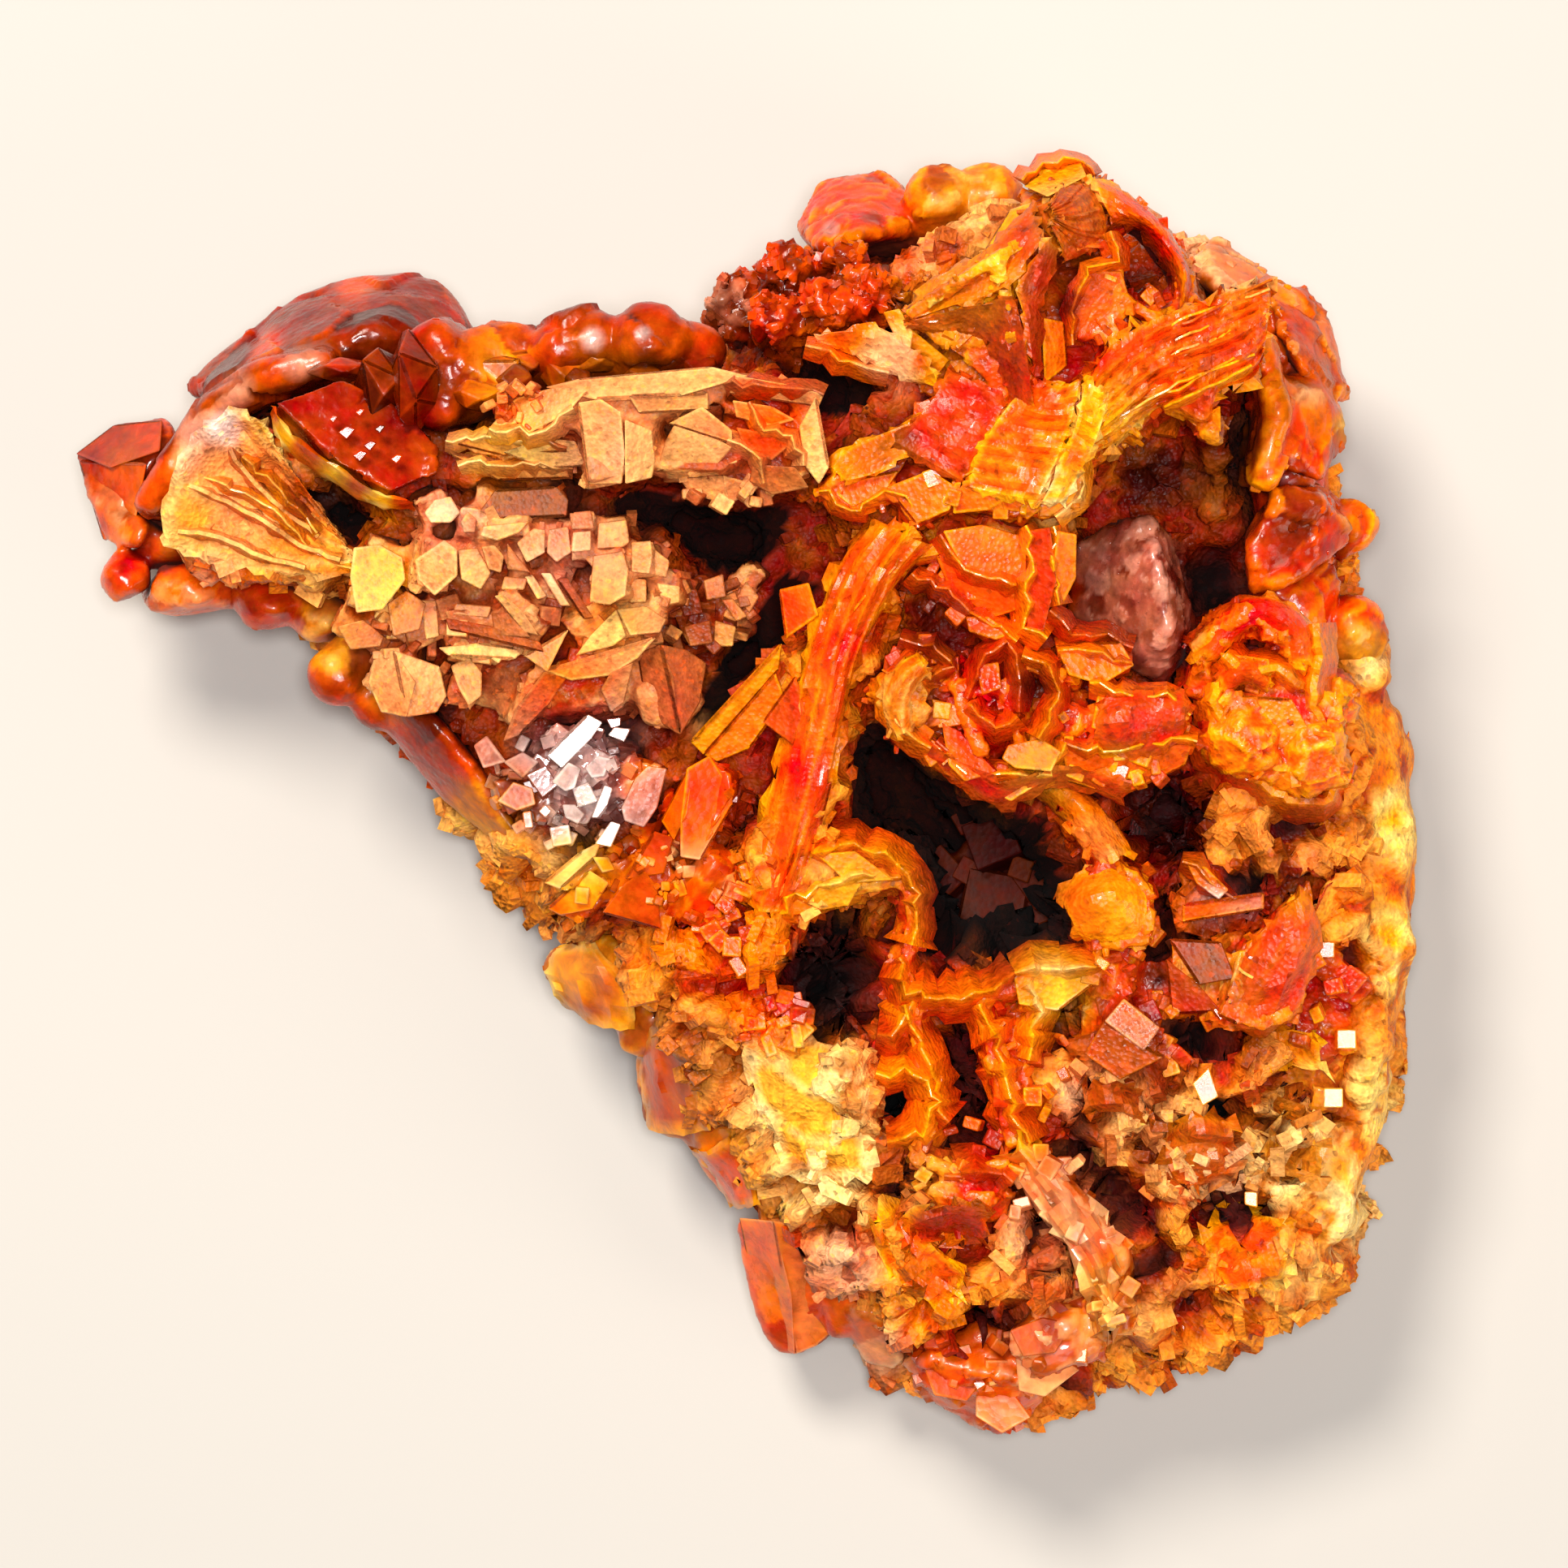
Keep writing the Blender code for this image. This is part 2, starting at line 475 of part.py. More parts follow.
def boxwork_blades():
    """Crossing orange blades with cream rims: a star, a fan, an arch and a feathered diagonal rib."""
    pieces = wall([(4.9, 14.6, 15.6), (6.2, 15.5, 16.4), (7.6, 16.3, 16.9), (8.8, 17.1, 16.4)], 2.6, 0.8)
    pieces += wall([(7.6, 16.2, 16.9), (8.0, 14.6, 16.6), (8.6, 12.6, 16.0)], 2.8, 0.8)
    pieces += plate(
        [(4.9, 14.5), (7.4, 16.0), (8.0, 14.8), (8.5, 12.4), (7.8, 12.3), (7.3, 13.6)], 15.5,
        (0.15, 0.25), 1.1,
    )
    pieces += plate(
        [(2.3, 14.1), (3.6, 14.3), (5.9, 13.0), (5.8, 12.6), (4.1, 13.0), (2.4, 13.6)], 14.9,
        (0.0, -0.4), 0.9,
    )
    pieces += plate(
        [(2.3, 9.7), (3.2, 10.2), (5.5, 11.9), (5.8, 11.3), (4.6, 9.7), (3.3, 9.0)], 14.3, (0.1, 0.3),
        1.2,
    )
    pieces += wall([(2.2, 9.6, 13.8), (3.4, 8.95, 14.1), (4.5, 9.5, 14.5), (5.2, 8.6, 14.3)], 2.0, 0.7)
    pieces += hull(
        (8.4, 18.7, 13.4), (10.2, 19.45, 13.0), (10.8, 18.8, 13.2), (9.2, 16.4, 16.2), (10.9, 16.6, 15.6),
        (8.3, 17.2, 15.6), (8.8, 17.6, 11.2), (10.6, 17.6, 11.2), (9.6, 19.1, 11.0),
    )
    pieces += wall(
        [(10.5, 18.8, 13.6), (12.2, 17.6, 14.0), (13.1, 16.4, 14.2), (13.4, 15.3, 14.2)], 2.8, 1.0,
    )
    pieces += wall(
        [(10.9, 16.6, 15.4), (11.3, 15.2, 15.2), (12.4, 14.6, 15.0), (13.4, 15.2, 14.4)], 2.6, 0.9,
    )
    pieces += plate([(9.9, 13.9), (10.6, 16.1), (11.5, 15.4), (11.3, 13.8)], 15.2, (-0.1, 0.2), 1.3)
    pieces += wall(
        [(9.9, 10.5, 15.2), (11.2, 11.6, 15.7), (12.8, 12.9, 15.8), (14.8, 14.3, 15.2)], 3.0, 1.5,
        rim=0.35,
    )
    pieces += wall(
        [(6.4, 9.4, 14.9), (8.2, 10.6, 15.4), (9.9, 12.2, 15.7), (11.2, 13.4, 15.6)], 2.6, 1.2, rim=0.4,
    )
    for k in range(4):
        x, y = 11.0 + 1.15 * k, 13.5 + 0.4 * k
        pieces += wall(
            [(x - 0.5, y - 0.6, 15.5 - 0.1 * k), (x + 0.35, y + 0.9, 15.2 - 0.2 * k)], 1.8, 0.6,
        )
    for k in range(3):
        x, y = 11.2 + 1.15 * k, 11.8 + 0.9 * k
        pieces += wall([(x, y, 15.5), (x + 0.75, y - 0.85, 14.9)], 1.6, 0.6)
    pieces += prism((13.9, 11.6, 13.8), (0.3, -0.5, 1), 0.6, 2.2, bevel=0.5)
    pieces += plate([(8.6, 8.6), (10.1, 8.9), (10.2, 10.4), (9.2, 10.2)], 14.8, (0.2, -0.2), 1.0)
    pieces += wall([(5.2, 8.6, 14.2), (6.4, 9.4, 14.8), (8.2, 8.9, 14.7), (9.4, 9.4, 14.8)], 2.4, 0.9)
    pieces += prism((6.6, 11.1, 13.9), (-0.3, 0.2, 1), 0.95, 2.2, spin=10)
    pieces += prism((7.5, 12.0, 14.0), (0.3, 0.4, 1), 0.8, 2.0)
    pieces += lump((8.6, 13.4, 12.2), (3.6, 3.6, 2.4), count=12, seed=19)
    pieces += lump((6.2, 10.4, 12.2), (3.0, 1.8, 1.9), seed=20)
    pieces += lump((12.6, 14.4, 12.4), (2.1, 1.6, 1.9), seed=21)
    pieces += lump((10.0, 17.2, 12.2), (1.8, 1.5, 2.0), seed=22)
    return pieces


def right_wall_crystals():
    """The deep red glassy wall on the right, with its salmon outer crust."""
    pieces = hull(
        (16.2, 12.9, 11.4), (17.8, 12.6, 10.2), (18.5, 11.2, 8.6), (17.6, 10.0, 10.4), (16.2, 10.3, 11.6),
        (17.2, 13.4, 8.0), (18.4, 12.2, 7.2), (16.4, 11.2, 7.6),
    )
    pieces += hull(
        (16.4, 9.8, 11.4), (17.6, 9.5, 11.0), (18.6, 8.2, 9.4), (17.2, 7.2, 10.6), (15.4, 6.3, 11.0),
        (15.3, 7.9, 11.4), (18.2, 9.6, 7.4), (16.8, 7.4, 7.6), (15.6, 8.4, 7.8),
    )
    pieces += hull(
        (13.6, 16.8, 9.4), (14.6, 17.6, 7.6), (15.9, 16.8, 7.4), (16.1, 15.5, 9.8), (14.6, 15.6, 11.0),
        (14.2, 16.2, 6.2), (15.8, 15.9, 6.0),
    )
    pieces += hull(
        (16.2, 16.0, 8.6), (17.4, 16.0, 7.2), (18.0, 15.2, 7.2), (18.65, 12.7, 7.4), (17.6, 12.7, 9.8),
        (16.6, 14.0, 10.6), (17.2, 15.0, 5.4), (18.0, 13.2, 5.2), (16.6, 14.6, 5.8),
    )
    pieces += wall([(15.7, 14.2, 12.0), (16.2, 12.0, 12.2), (15.7, 9.8, 12.0)], 3.0, 1.0)
    pieces += prism((18.5, 8.6, 7.6), (0.7, 0.2, 0.7), 0.8, 2.0, bevel=0.4)
    pieces += prism((18.6, 5.4, 7.2), (0.7, 0.1, 0.6), 1.1, 2.4, bevel=0.4)
    pieces += lump((16.8, 11.2, 7.6), (1.6, 5.2, 2.2), count=12, seed=23)
    pieces += lump((17.0, 6.6, 7.6), (1.6, 2.4, 2.0), seed=24)
    pieces += lump((15.6, 15.2, 7.6), (2.0, 1.6, 1.8), seed=25)
    return pieces


def pyramid_crystal():
    """The blunt purple-grey pyramid in the hollow, one face rosy and one grey."""
    return hull(
        (9.9, 5.9, 10.2), (10.2, 8.0, 10.6), (11.2, 8.6, 11.2), (12.3, 8.9, 11.6), (13.0, 8.2, 10.8),
        (13.8, 5.5, 10.4), (13.3, 4.3, 10.6), (12.8, 3.8, 10.6), (11.7, 4.3, 11.0), (12.6, 7.2, 12.7),
        (12.9, 5.4, 12.4), (10.6, 5.6, 7.8), (13.2, 5.2, 7.8), (12.6, 8.2, 8.0), (10.8, 7.8, 8.0),
    )


def knob_ring_crystals():
    """The arched red knob and the orange mass below it."""
    pieces = wall(
        [(13.8, 3.4, 11.4), (14.0, 4.9, 12.2), (15.2, 5.8, 12.7), (16.6, 5.2, 12.3), (16.9, 4.0, 11.7)],
        2.8, 1.1,
    )
    pieces += plate(
        [(14.1, 2.2), (15.2, 1.0), (17.0, 0.3), (18.4, 0.9), (18.2, 3.2), (16.4, 3.7), (14.3, 3.5)],
        11.6, (-0.1, 0.1), 2.0,
    )
    pieces += prism((15.4, 2.2, 10.9), (-0.4, -0.4, 1), 1.1, 2.6, spin=15)
    pieces += prism((17.2, 1.9, 10.6), (0.3, -0.5, 1), 1.1, 2.6)
    pieces += lump((16.3, 3.0, 9.4), (2.6, 2.3, 2.0), seed=26)
    return pieces


def shelf_crystals():
    """The overhanging middle shelf: a curl, open boxes, a vertical blade pair and orange bulges."""
    pieces = prism((4.9, 3.4, 12.3), (-0.3, -0.3, 1), 1.05, 1.8, bevel=0.2)
    pieces += wall([(4.7, 2.5, 12.6), (6.0, 1.7, 12.8), (7.9, 0.6, 12.4), (9.5, 1.1, 12.4)], 2.2, 0.9)
    pieces += wall([(6.4, 4.7, 12.6), (6.6, 3.0, 13.0), (7.2, 1.6, 12.9)], 2.2, 0.7)
    pieces += wall([(8.2, 4.9, 12.8), (8.0, 3.2, 13.2), (8.4, 1.8, 12.9)], 2.2, 0.7)
    pieces += wall([(5.8, 3.8, 12.5), (7.2, 3.5, 13.0), (8.6, 4.3, 13.1), (10.2, 3.8, 12.8)], 2.0, 0.7)
    pieces += wall([(5.2, 7.1, 13.2), (6.8, 6.3, 13.1), (8.4, 5.3, 13.2)], 2.0, 0.7)
    pieces += plate([(6.0, 6.9), (6.4, 8.2), (8.5, 8.0), (8.6, 6.6)], 13.6, (0.1, 0.15), 1.0)
    pieces += wall([(8.7, 8.2, 14.2), (8.9, 6.6, 14.0), (9.3, 5.2, 13.5)], 2.6, 0.7)
    pieces += wall([(9.8, 8.2, 14.2), (9.6, 6.8, 14.0), (9.4, 5.0, 13.5)], 2.6, 0.6)
    pieces += lump((11.2, 2.5, 11.8), (1.2, 1.1, 1.1), seed=27)
    pieces += lump((12.7, 2.3, 11.5), (1.1, 1.0, 1.1), seed=28)
    pieces += lump((9.8, 2.6, 11.7), (1.1, 1.0, 1.1), seed=29)
    pieces += lump((8.0, 2.8, 10.8), (3.6, 1.8, 1.6), count=12, seed=30)
    pieces += lump((11.6, 2.2, 10.4), (2.4, 1.6, 1.5), seed=31)
    pieces += lump((7.6, 6.6, 11.4), (2.2, 2.0, 1.8), seed=32)
    return pieces


def lower_right_crystals():
    """Leaf-shaped orange crystals, a yellow blob and a silvery rod over the lower right hollows."""
    pieces = plate(
        [(17.2, -2.2), (17.6, -4.0), (17.0, -6.3), (15.9, -6.9), (14.4, -6.4), (15.2, -4.3)], 10.4,
        (-0.25, -0.05), 1.2,
    )
    pieces += plate(
        [(9.5, -2.8), (10.5, -1.9), (12.0, -1.8), (12.6, -2.6), (12.5, -4.3), (11.0, -4.3)], 10.9,
        (0.1, 0.1), 2.2,
    )
    pieces += wall([(9.8, 0.2, 11.0), (10.6, -0.9, 10.9), (11.4, -2.0, 10.9)], 2.6, 1.3)
    pieces += prism((14.6, -3.0, 9.9), (1, 0.1, 0.15), 0.5, 2.9, bevel=0.3)
    pieces += plate([(12.9, -4.0), (14.7, -4.1), (15.0, -6.2), (13.2, -6.3)], 9.9, (0.1, 0.1), 1.5)
    pieces += plate(
        [(11.6, -5.8), (12.7, -6.7), (12.8, -7.6), (11.5, -8.3), (10.4, -7.5), (11.0, -6.5)], 10.2,
        (0.05, 0.2), 1.2,
    )
    pieces += block(18.4, -5.3, 1.9, 1.1, -40, 8.8, (0.1, 0.2), 1.2)
    pieces += block(18.4, -7.3, 0.9, 0.9, 20, 8.4, (0.2, 0.1), 1.2)
    pieces += block(17.9, -9.0, 1.0, 0.9, -10, 8.5, (0.1, 0.1), 1.2)
    pieces += lump((14.6, -5.2, 8.4), (3.6, 1.9, 1.4), seed=33)
    pieces += lump((11.3, -4.6, 8.8), (1.6, 3.6, 1.5), seed=34)
    pieces += lump((17.4, -7.0, 7.2), (1.7, 2.9, 1.4), seed=35)
    return pieces


def lattice_crystals():
    """The net of orange rims over the lower hollows."""
    pieces = wall(
        [
            (1.0, -3.2, 10.6), (3.4, -2.4, 10.9), (4.9, -2.2, 10.8), (5.2, -3.4, 10.5),
            (4.9, -5.2, 10.3), (5.5, -6.1, 10.2),
        ],
        2.4, 1.0,
    )
    pieces += wall(
        [(5.0, -6.1, 10.2), (7.2, -5.9, 10.3), (8.6, -5.3, 10.4), (10.4, -5.2, 10.3)], 2.4, 1.0,
    )
    pieces += wall([(5.1, -6.1, 10.1), (5.5, -8.0, 9.9), (6.0, -9.6, 9.8), (5.0, -10.6, 9.6)], 2.2, 0.9)
    pieces += wall([(7.4, -6.2, 10.1), (8.0, -8.6, 9.9), (8.3, -10.4, 9.7)], 2.4, 1.1)
    pieces += wall([(5.2, -10.6, 9.6), (6.8, -11.3, 9.6), (8.2, -10.8, 9.6)], 2.2, 1.0)
    pieces += lump((6.9, -11.9, 8.6), (1.9, 1.3, 1.4), seed=36)
    pieces += lump((8.6, -7.2, 8.5), (1.0, 2.6, 1.3), seed=37)
    return pieces


def lower_rib_crystals():
    """The curved tan-pink rib down to the bottom tip, and the slabs beside it."""
    pieces = wall(
        [(8.2, -10.4, 9.6), (9.8, -12.0, 9.6), (11.2, -13.8, 9.2), (11.6, -16.2, 8.2)], 3.0, 1.6,
        rim=0.6,
    )
    pieces += plate(
        [(8.2, -16.1), (10.2, -15.8), (10.5, -16.9), (9.2, -17.5), (8.3, -17.0)], 7.9, (0.0, 0.1), 1.3,
    )
    pieces += hull(
        (5.2, -17.7, 5.4), (5.9, -18.6, 4.6), (7.0, -19.2, 4.4), (7.9, -19.7, 4.2), (8.7, -19.2, 4.4),
        (9.4, -18.4, 5.0), (8.6, -17.6, 7.4), (6.2, -17.2, 7.2), (7.2, -17.6, 2.6), (8.4, -17.8, 2.8),
    )
    pieces += lump((7.3, -17.2, 6.0), (2.6, 1.2, 1.4), seed=38)
    pieces += lump((10.0, -15.9, 6.6), (1.9, 1.9, 1.5), seed=39)
    return pieces


def edge_spikes():
    """Blunt peach-orange points that overhang the lower left edge, one behind the other."""
    pieces = hull(
        (-6.4, -5.0, 4.6), (-5.9, -4.3, 4.8), (-4.4, -3.9, 5.8), (-3.2, -4.6, 7.0), (-2.8, -6.2, 6.6),
        (-3.6, -6.9, 4.6), (-5.3, -6.3, 3.8), (-6.0, -5.7, 4.0), (-3.4, -5.6, 2.8),
    )
    pieces += hull(
        (-3.35, -7.2, 4.6), (-3.3, -8.6, 4.2), (-3.1, -9.8, 4.0), (-2.6, -10.35, 4.0), (-1.2, -10.2, 4.8),
        (-0.9, -8.6, 7.0), (-1.2, -6.6, 7.4), (-2.4, -6.2, 6.2), (-1.6, -8.8, 2.2),
    )
    pieces += hull(
        (-1.9, -10.4, 4.4), (-1.3, -11.0, 3.8), (-0.9, -11.8, 3.6), (-0.2, -12.6, 3.8), (0.8, -12.4, 4.8),
        (0.6, -10.6, 6.6), (-0.6, -9.6, 6.2), (0.4, -11.2, 2.0),
    )
    pieces += lump((-2.6, -6.2, 4.8), (1.7, 2.0, 1.6), seed=40)
    pieces += lump((-0.7, -9.8, 4.6), (1.3, 2.0, 1.5), seed=41)
    return pieces


def spear_crystal():
    """The big salmon-red pointed crystal at the bottom left."""
    pieces = hull(
        (-0.2, -13.0, 4.4), (0.0, -14.5, 4.0), (0.4, -16.0, 3.6), (0.9, -17.0, 3.4), (1.5, -17.3, 3.3),
        (2.4, -16.9, 3.4), (3.3, -16.0, 3.8), (3.0, -13.4, 6.6), (1.2, -12.8, 6.4), (2.0, -13.8, 1.6),
        (1.4, -16.2, 2.0),
    )
    pieces += hull(
        (3.4, -16.3, 4.4), (3.8, -17.4, 4.0), (4.9, -17.6, 4.2), (5.0, -16.0, 6.0), (3.4, -15.4, 6.0), (
            4.2, -16.0, 2.4,
        ),
    )
    pieces += lump((3.2, -15.2, 4.4), (1.4, 1.6, 1.4), seed=42)
    return pieces


POCKET_CUBES = (
    (7.7, -1.0, 1.5, 20, 5.6),
    (7.8, -3.0, 2.0, -12, 5.2),
    (9.2, -2.3, 1.3, 35, 5.8),
    (9.4, -0.9, 1.1, 10, 5.4),
    (6.1, -2.1, 1.4, 40, 4.2),
    (6.4, -3.9, 1.3, 15, 4.6),
    (8.9, -4.2, 1.2, 30, 5.0),
)


def pocket_crystals():
    """Dark square-edged crystals that line the big hollow's floor."""
    pieces = []
    for x, y, size, turn, top in POCKET_CUBES:
        pieces += block(x, y, size, size, turn, top, (0.25, -0.2), size)
    pieces += lump((7.7, -2.5, 3.4), (2.4, 2.2, 0.9), count=12, seed=43)
    return pieces


# ---------------------------------------------------------------- matrix

OUTLINE = (
    (-18.0, 9.0), (-17.2, 11.3), (-15.2, 13.4), (-12.6, 14.7), (-9.5, 14.5), (-7.4, 13.4), (-4.0, 13.2),
    (-1.6, 13.2), (-0.2, 14.8), (1.4, 16.4), (2.8, 17.8), (5.0, 18.6), (8.0, 18.9), (10.2, 19.0),
    (12.6, 17.6), (14.4, 17.0), (16.2, 15.4), (17.6, 14.4), (18.1, 12.4), (18.1, 10.4), (18.9, 8.9),
    (18.7, 6.9), (18.6, 5.9), (19.3, 5.0), (19.5, 3.3), (19.9, 2.2), (20.45, 0.0), (20.3, -3.0),
    (20.0, -6.0), (19.8, -8.5), (19.2, -11.2), (18.7, -13.2), (17.6, -14.9), (16.0, -15.5), (14.2, -16.5),
    (12.3, -17.1), (11.0, -17.5), (9.8, -18.2), (8.0, -19.2), (6.2, -18.4), (4.6, -17.2), (3.0, -15.6),
    (1.7, -13.8), (0.8, -12.0), (-0.4, -10.4), (-1.8, -9.0), (-2.3, -7.2), (-3.4, -6.0), (-4.4, -4.6),
    (-5.2, -3.4), (-5.8, -2.3), (-7.2, -1.6), (-8.6, -0.4), (-9.6, 1.0), (-10.8, 2.1), (-11.6, 3.4),
    (-12.8, 4.9), (-14.5, 6.0), (-16.4, 6.6), (-17.6, 7.4),
)

# The body is a stack of slices of the outline: low and high side, and how far each is drawn in.
BODY_SLICES = ((-1.0, 1.6, 3.4), (1.0, 3.0, 1.9), (2.4, 6.2, 0.0), (5.6, 6.9, 0.7), (6.6, BODY_TOP, 1.5))

# Benches stand up from the body and carry the crystals: an outline, the height and slope of the top.
BENCHES = (
    (
        [
            (-17.6, 8.2), (-16.6, 12.0), (-14.6, 12.2), (-12.2, 8.6), (-11.8, 6.9), (-14.0, 6.6),
            (-17.0, 7.3),
        ],
        9.6, (0.05, -0.08),
    ),
    ([(-13.6, 10.2), (-11.8, 13.4), (-7.6, 13.2), (-7.4, 10.6), (-10.6, 9.6)], 9.8, (0.0, 0.0)),
    (
        [(-10.8, 2.6), (-11.6, 6.8), (-10.6, 9.4), (-2.8, 9.2), (-1.8, 6.2), (-4.0, 2.6), (-8.0, 1.8)],
        9.0, (0.08, 0.08),
    ),
    ([(-8.4, 9.8), (-7.6, 12.4), (1.8, 12.8), (1.9, 9.9), (-2.6, 10.4), (-5.4, 10.2)], 11.4, (0.05, 0.0)),
    (
        [(-8.2, -0.6), (-8.6, 2.6), (-3.4, 3.0), (-1.4, 1.8), (-1.6, -3.2), (-4.2, -3.8), (-6.4, -1.6)],
        8.6, (0.1, 0.05),
    ),
    ([(-3.2, -5.2), (-2.4, -2.6), (0.6, -2.2), (1.2, -4.6), (0.8, -7.2), (-1.8, -6.6)], 9.4, (0.05, 0.1)),
    (
        [
            (1.4, 13.4), (1.2, 16.2), (3.4, 17.6), (9.0, 18.4), (13.2, 16.6), (13.6, 13.2), (9.8, 10.0),
            (4.6, 13.6),
        ],
        11.2, (0.1, 0.0),
    ),
    ([(2.0, 9.8), (4.2, 12.4), (9.6, 12.6), (10.4, 9.4), (8.8, 7.8), (4.9, 7.7)], 12.2, (0.1, 0.0)),
    (
        [(14.4, 9.6), (13.6, 13.4), (13.4, 15.8), (16.6, 15.0), (17.8, 11.0), (17.4, 6.6), (15.4, 8.4)],
        9.6, (-0.05, 0.0),
    ),
    (
        [(4.4, 2.9), (4.8, 7.8), (9.8, 8.6), (13.6, 3.6), (13.2, 1.4), (9.0, 1.0), (6.8, 1.2)], 10.4,
        (0.0, 0.1),
    ),
    ([(13.8, 0.8), (14.0, 5.6), (17.4, 6.4), (18.6, 3.2), (18.2, -1.2), (15.4, -2.2)], 10.0, (-0.2, 0.0)),
    ([(9.6, -1.6), (11.2, 0.6), (12.2, -1.6), (13.4, -4.4), (10.2, -5.4)], 9.4, (0.0, 0.0)),
    ([(13.2, -2.8), (12.6, -9.6), (15.6, -12.4), (18.6, -9.4), (19.2, -2.6)], 8.6, (-0.15, 0.1)),
    (
        [(4.0, -5.8), (8.6, -4.9), (13.4, -6.6), (13.2, -13.6), (9.4, -14.2), (5.2, -12.6)], 8.8,
        (0.0, 0.1),
    ),
    ([(-0.6, -8.0), (1.6, -5.2), (4.8, -7.8), (5.2, -13.2), (2.2, -13.4)], 8.9, (0.0, 0.12)),
    ([(3.2, -13.0), (13.6, -12.8), (13.2, -16.2), (8.8, -17.8), (5.4, -16.6)], 7.4, (0.0, 0.2)),
    ([(12.6, -12.2), (18.2, -12.4), (16.2, -14.8), (13.2, -16.0)], 7.7, (0.0, 0.2)),
    (
        [
            (19.0, 4.6), (20.4, 1.6), (20.6, -3.8), (19.6, -9.4), (18.6, -13.2), (17.4, -13.6),
            (18.4, -8.0), (19.0, -2.0),
        ],
        8.0, (-0.2, 0.0),
    ),
)

# The strut crosses the hollows from the blades down to the slope, and carries a thin side plate.
STRUT = (
    (5.2, 8.3, 13.4), (3.8, 6.0, 12.9), (3.0, 4.6, 12.5), (2.4, 2.2, 12.0), (2.0, -0.4, 11.4),
    (0.9, -2.6, 10.8), (-0.4, -4.4, 10.2),
)
SIDE_PLATE = ((2.5, 4.9, 11.6), (0.6, 3.6, 11.0), (-1.5, 2.1, 10.4))

# Hollows: an outline, and the height of the floor.
HOLLOWS = (
    (
        [
            (-5.3, 9.7), (-2.8, 9.8), (-0.5, 9.1), (1.2, 9.3), (1.1, 8.4), (0.2, 7.2), (-0.8, 7.3),
            (-2.2, 8.5), (-3.6, 8.9),
        ],
        3.0,
    ),
    ([(1.9, 6.6), (1.3, 7.3), (-0.2, 5.4), (-1.5, 2.9), (-1.2, 2.3), (0.7, 3.9)], 4.0),
    (
        [
            (3.3, 3.1), (4.4, 2.5), (6.0, 1.0), (7.9, -0.2), (9.4, -0.4), (10.2, -2.6), (10.0, -4.7),
            (5.6, -4.7), (5.0, -1.9), (2.6, -1.0), (3.0, 1.2),
        ],
        2.6,
    ),
    (
        [
            (1.1, -3.9), (3.9, -3.3), (4.1, -5.6), (4.6, -7.3), (3.4, -7.6), (2.2, -6.8), (1.9, -5.5),
            (1.0, -5.0),
        ],
        5.0,
    ),
    ([(4.3, -8.3), (5.4, -8.4), (5.7, -9.1), (5.2, -9.85), (4.3, -9.75), (4.1, -9.0)], 2.6),
    ([(5.9, -6.8), (6.9, -6.4), (7.4, -7.0), (7.9, -8.6), (7.4, -10.3), (6.5, -10.6), (6.3, -8.6)], 5.2),
    (
        [
            (-14.3, 11.6), (-13.6, 10.9), (-11.2, 9.2), (-10.8, 8.6), (-12.0, 7.6), (-12.7, 7.8),
            (-13.3, 8.8), (-14.3, 10.5),
        ],
        5.2,
    ),
    ([(0.9, 12.8), (1.9, 13.7), (4.0, 13.2), (4.6, 12.8), (4.2, 12.1), (2.4, 12.2)], 7.0),
    ([(10.3, 9.6), (11.6, 11.4), (13.6, 12.2), (14.2, 10.6), (12.8, 9.2), (10.8, 8.9)], 7.4),
    ([(13.5, 8.2), (14.6, 8.3), (15.9, 6.2), (14.9, 5.6), (14.2, 5.3)], 5.2),
    ([(11.6, -0.6), (12.2, 0.9), (14.2, 0.9), (14.9, -0.9), (14.2, -2.4), (12.8, -2.6)], 6.0),
    ([(11.7, 15.3), (11.9, 16.8), (12.8, 16.8), (13.1, 15.4)], 9.0),
    ([(16.8, -5.4), (18.2, -5.9), (18.8, -8.2), (17.2, -8.1)], 5.6),
    ([(14.2, -11.8), (16.2, -11.9), (16.0, -13.2), (14.4, -13.0)], 5.2),
    ([(10.2, -9.8), (11.0, -10.2), (12.4, -12.4), (12.0, -12.9), (10.8, -11.6)], 5.6),
    ([(6.4, -15.3), (8.6, -15.2), (8.8, -16.2), (7.6, -16.8), (6.6, -16.3)], 4.6),
    ([(13.0, -6.8), (14.4, -6.8), (14.3, -7.8), (13.2, -7.7)], 5.4),
    ([(13.8, -9.0), (15.0, -9.0), (14.9, -9.8), (13.9, -9.8)], 5.4),
    ([(8.5, -13.4), (9.5, -13.0), (9.4, -14.6), (8.6, -14.8)], 5.0),
    ([(4.9, -13.7), (6.4, -13.8), (6.6, -14.9), (5.2, -15.0)], 5.0),
    ([(14.8, 3.7), (16.2, 3.9), (16.3, 3.0), (14.7, 2.9)], 8.0),
    ([(14.2, -2.2), (16.3, -2.0), (16.2, -2.8), (14.0, -2.7)], 6.4),
)


def drawn_in(outline, inset):
    """An outline moved inward by inset along each corner's own bisector."""
    flat = np.array(outline, float)
    before, after = np.roll(flat, 1, axis=0), np.roll(flat, -1, axis=0)
    run = after - before
    run /= np.linalg.norm(run, axis=1)[:, None]
    inward = np.column_stack([run[:, 1], -run[:, 0]])
    return flat + inward * inset


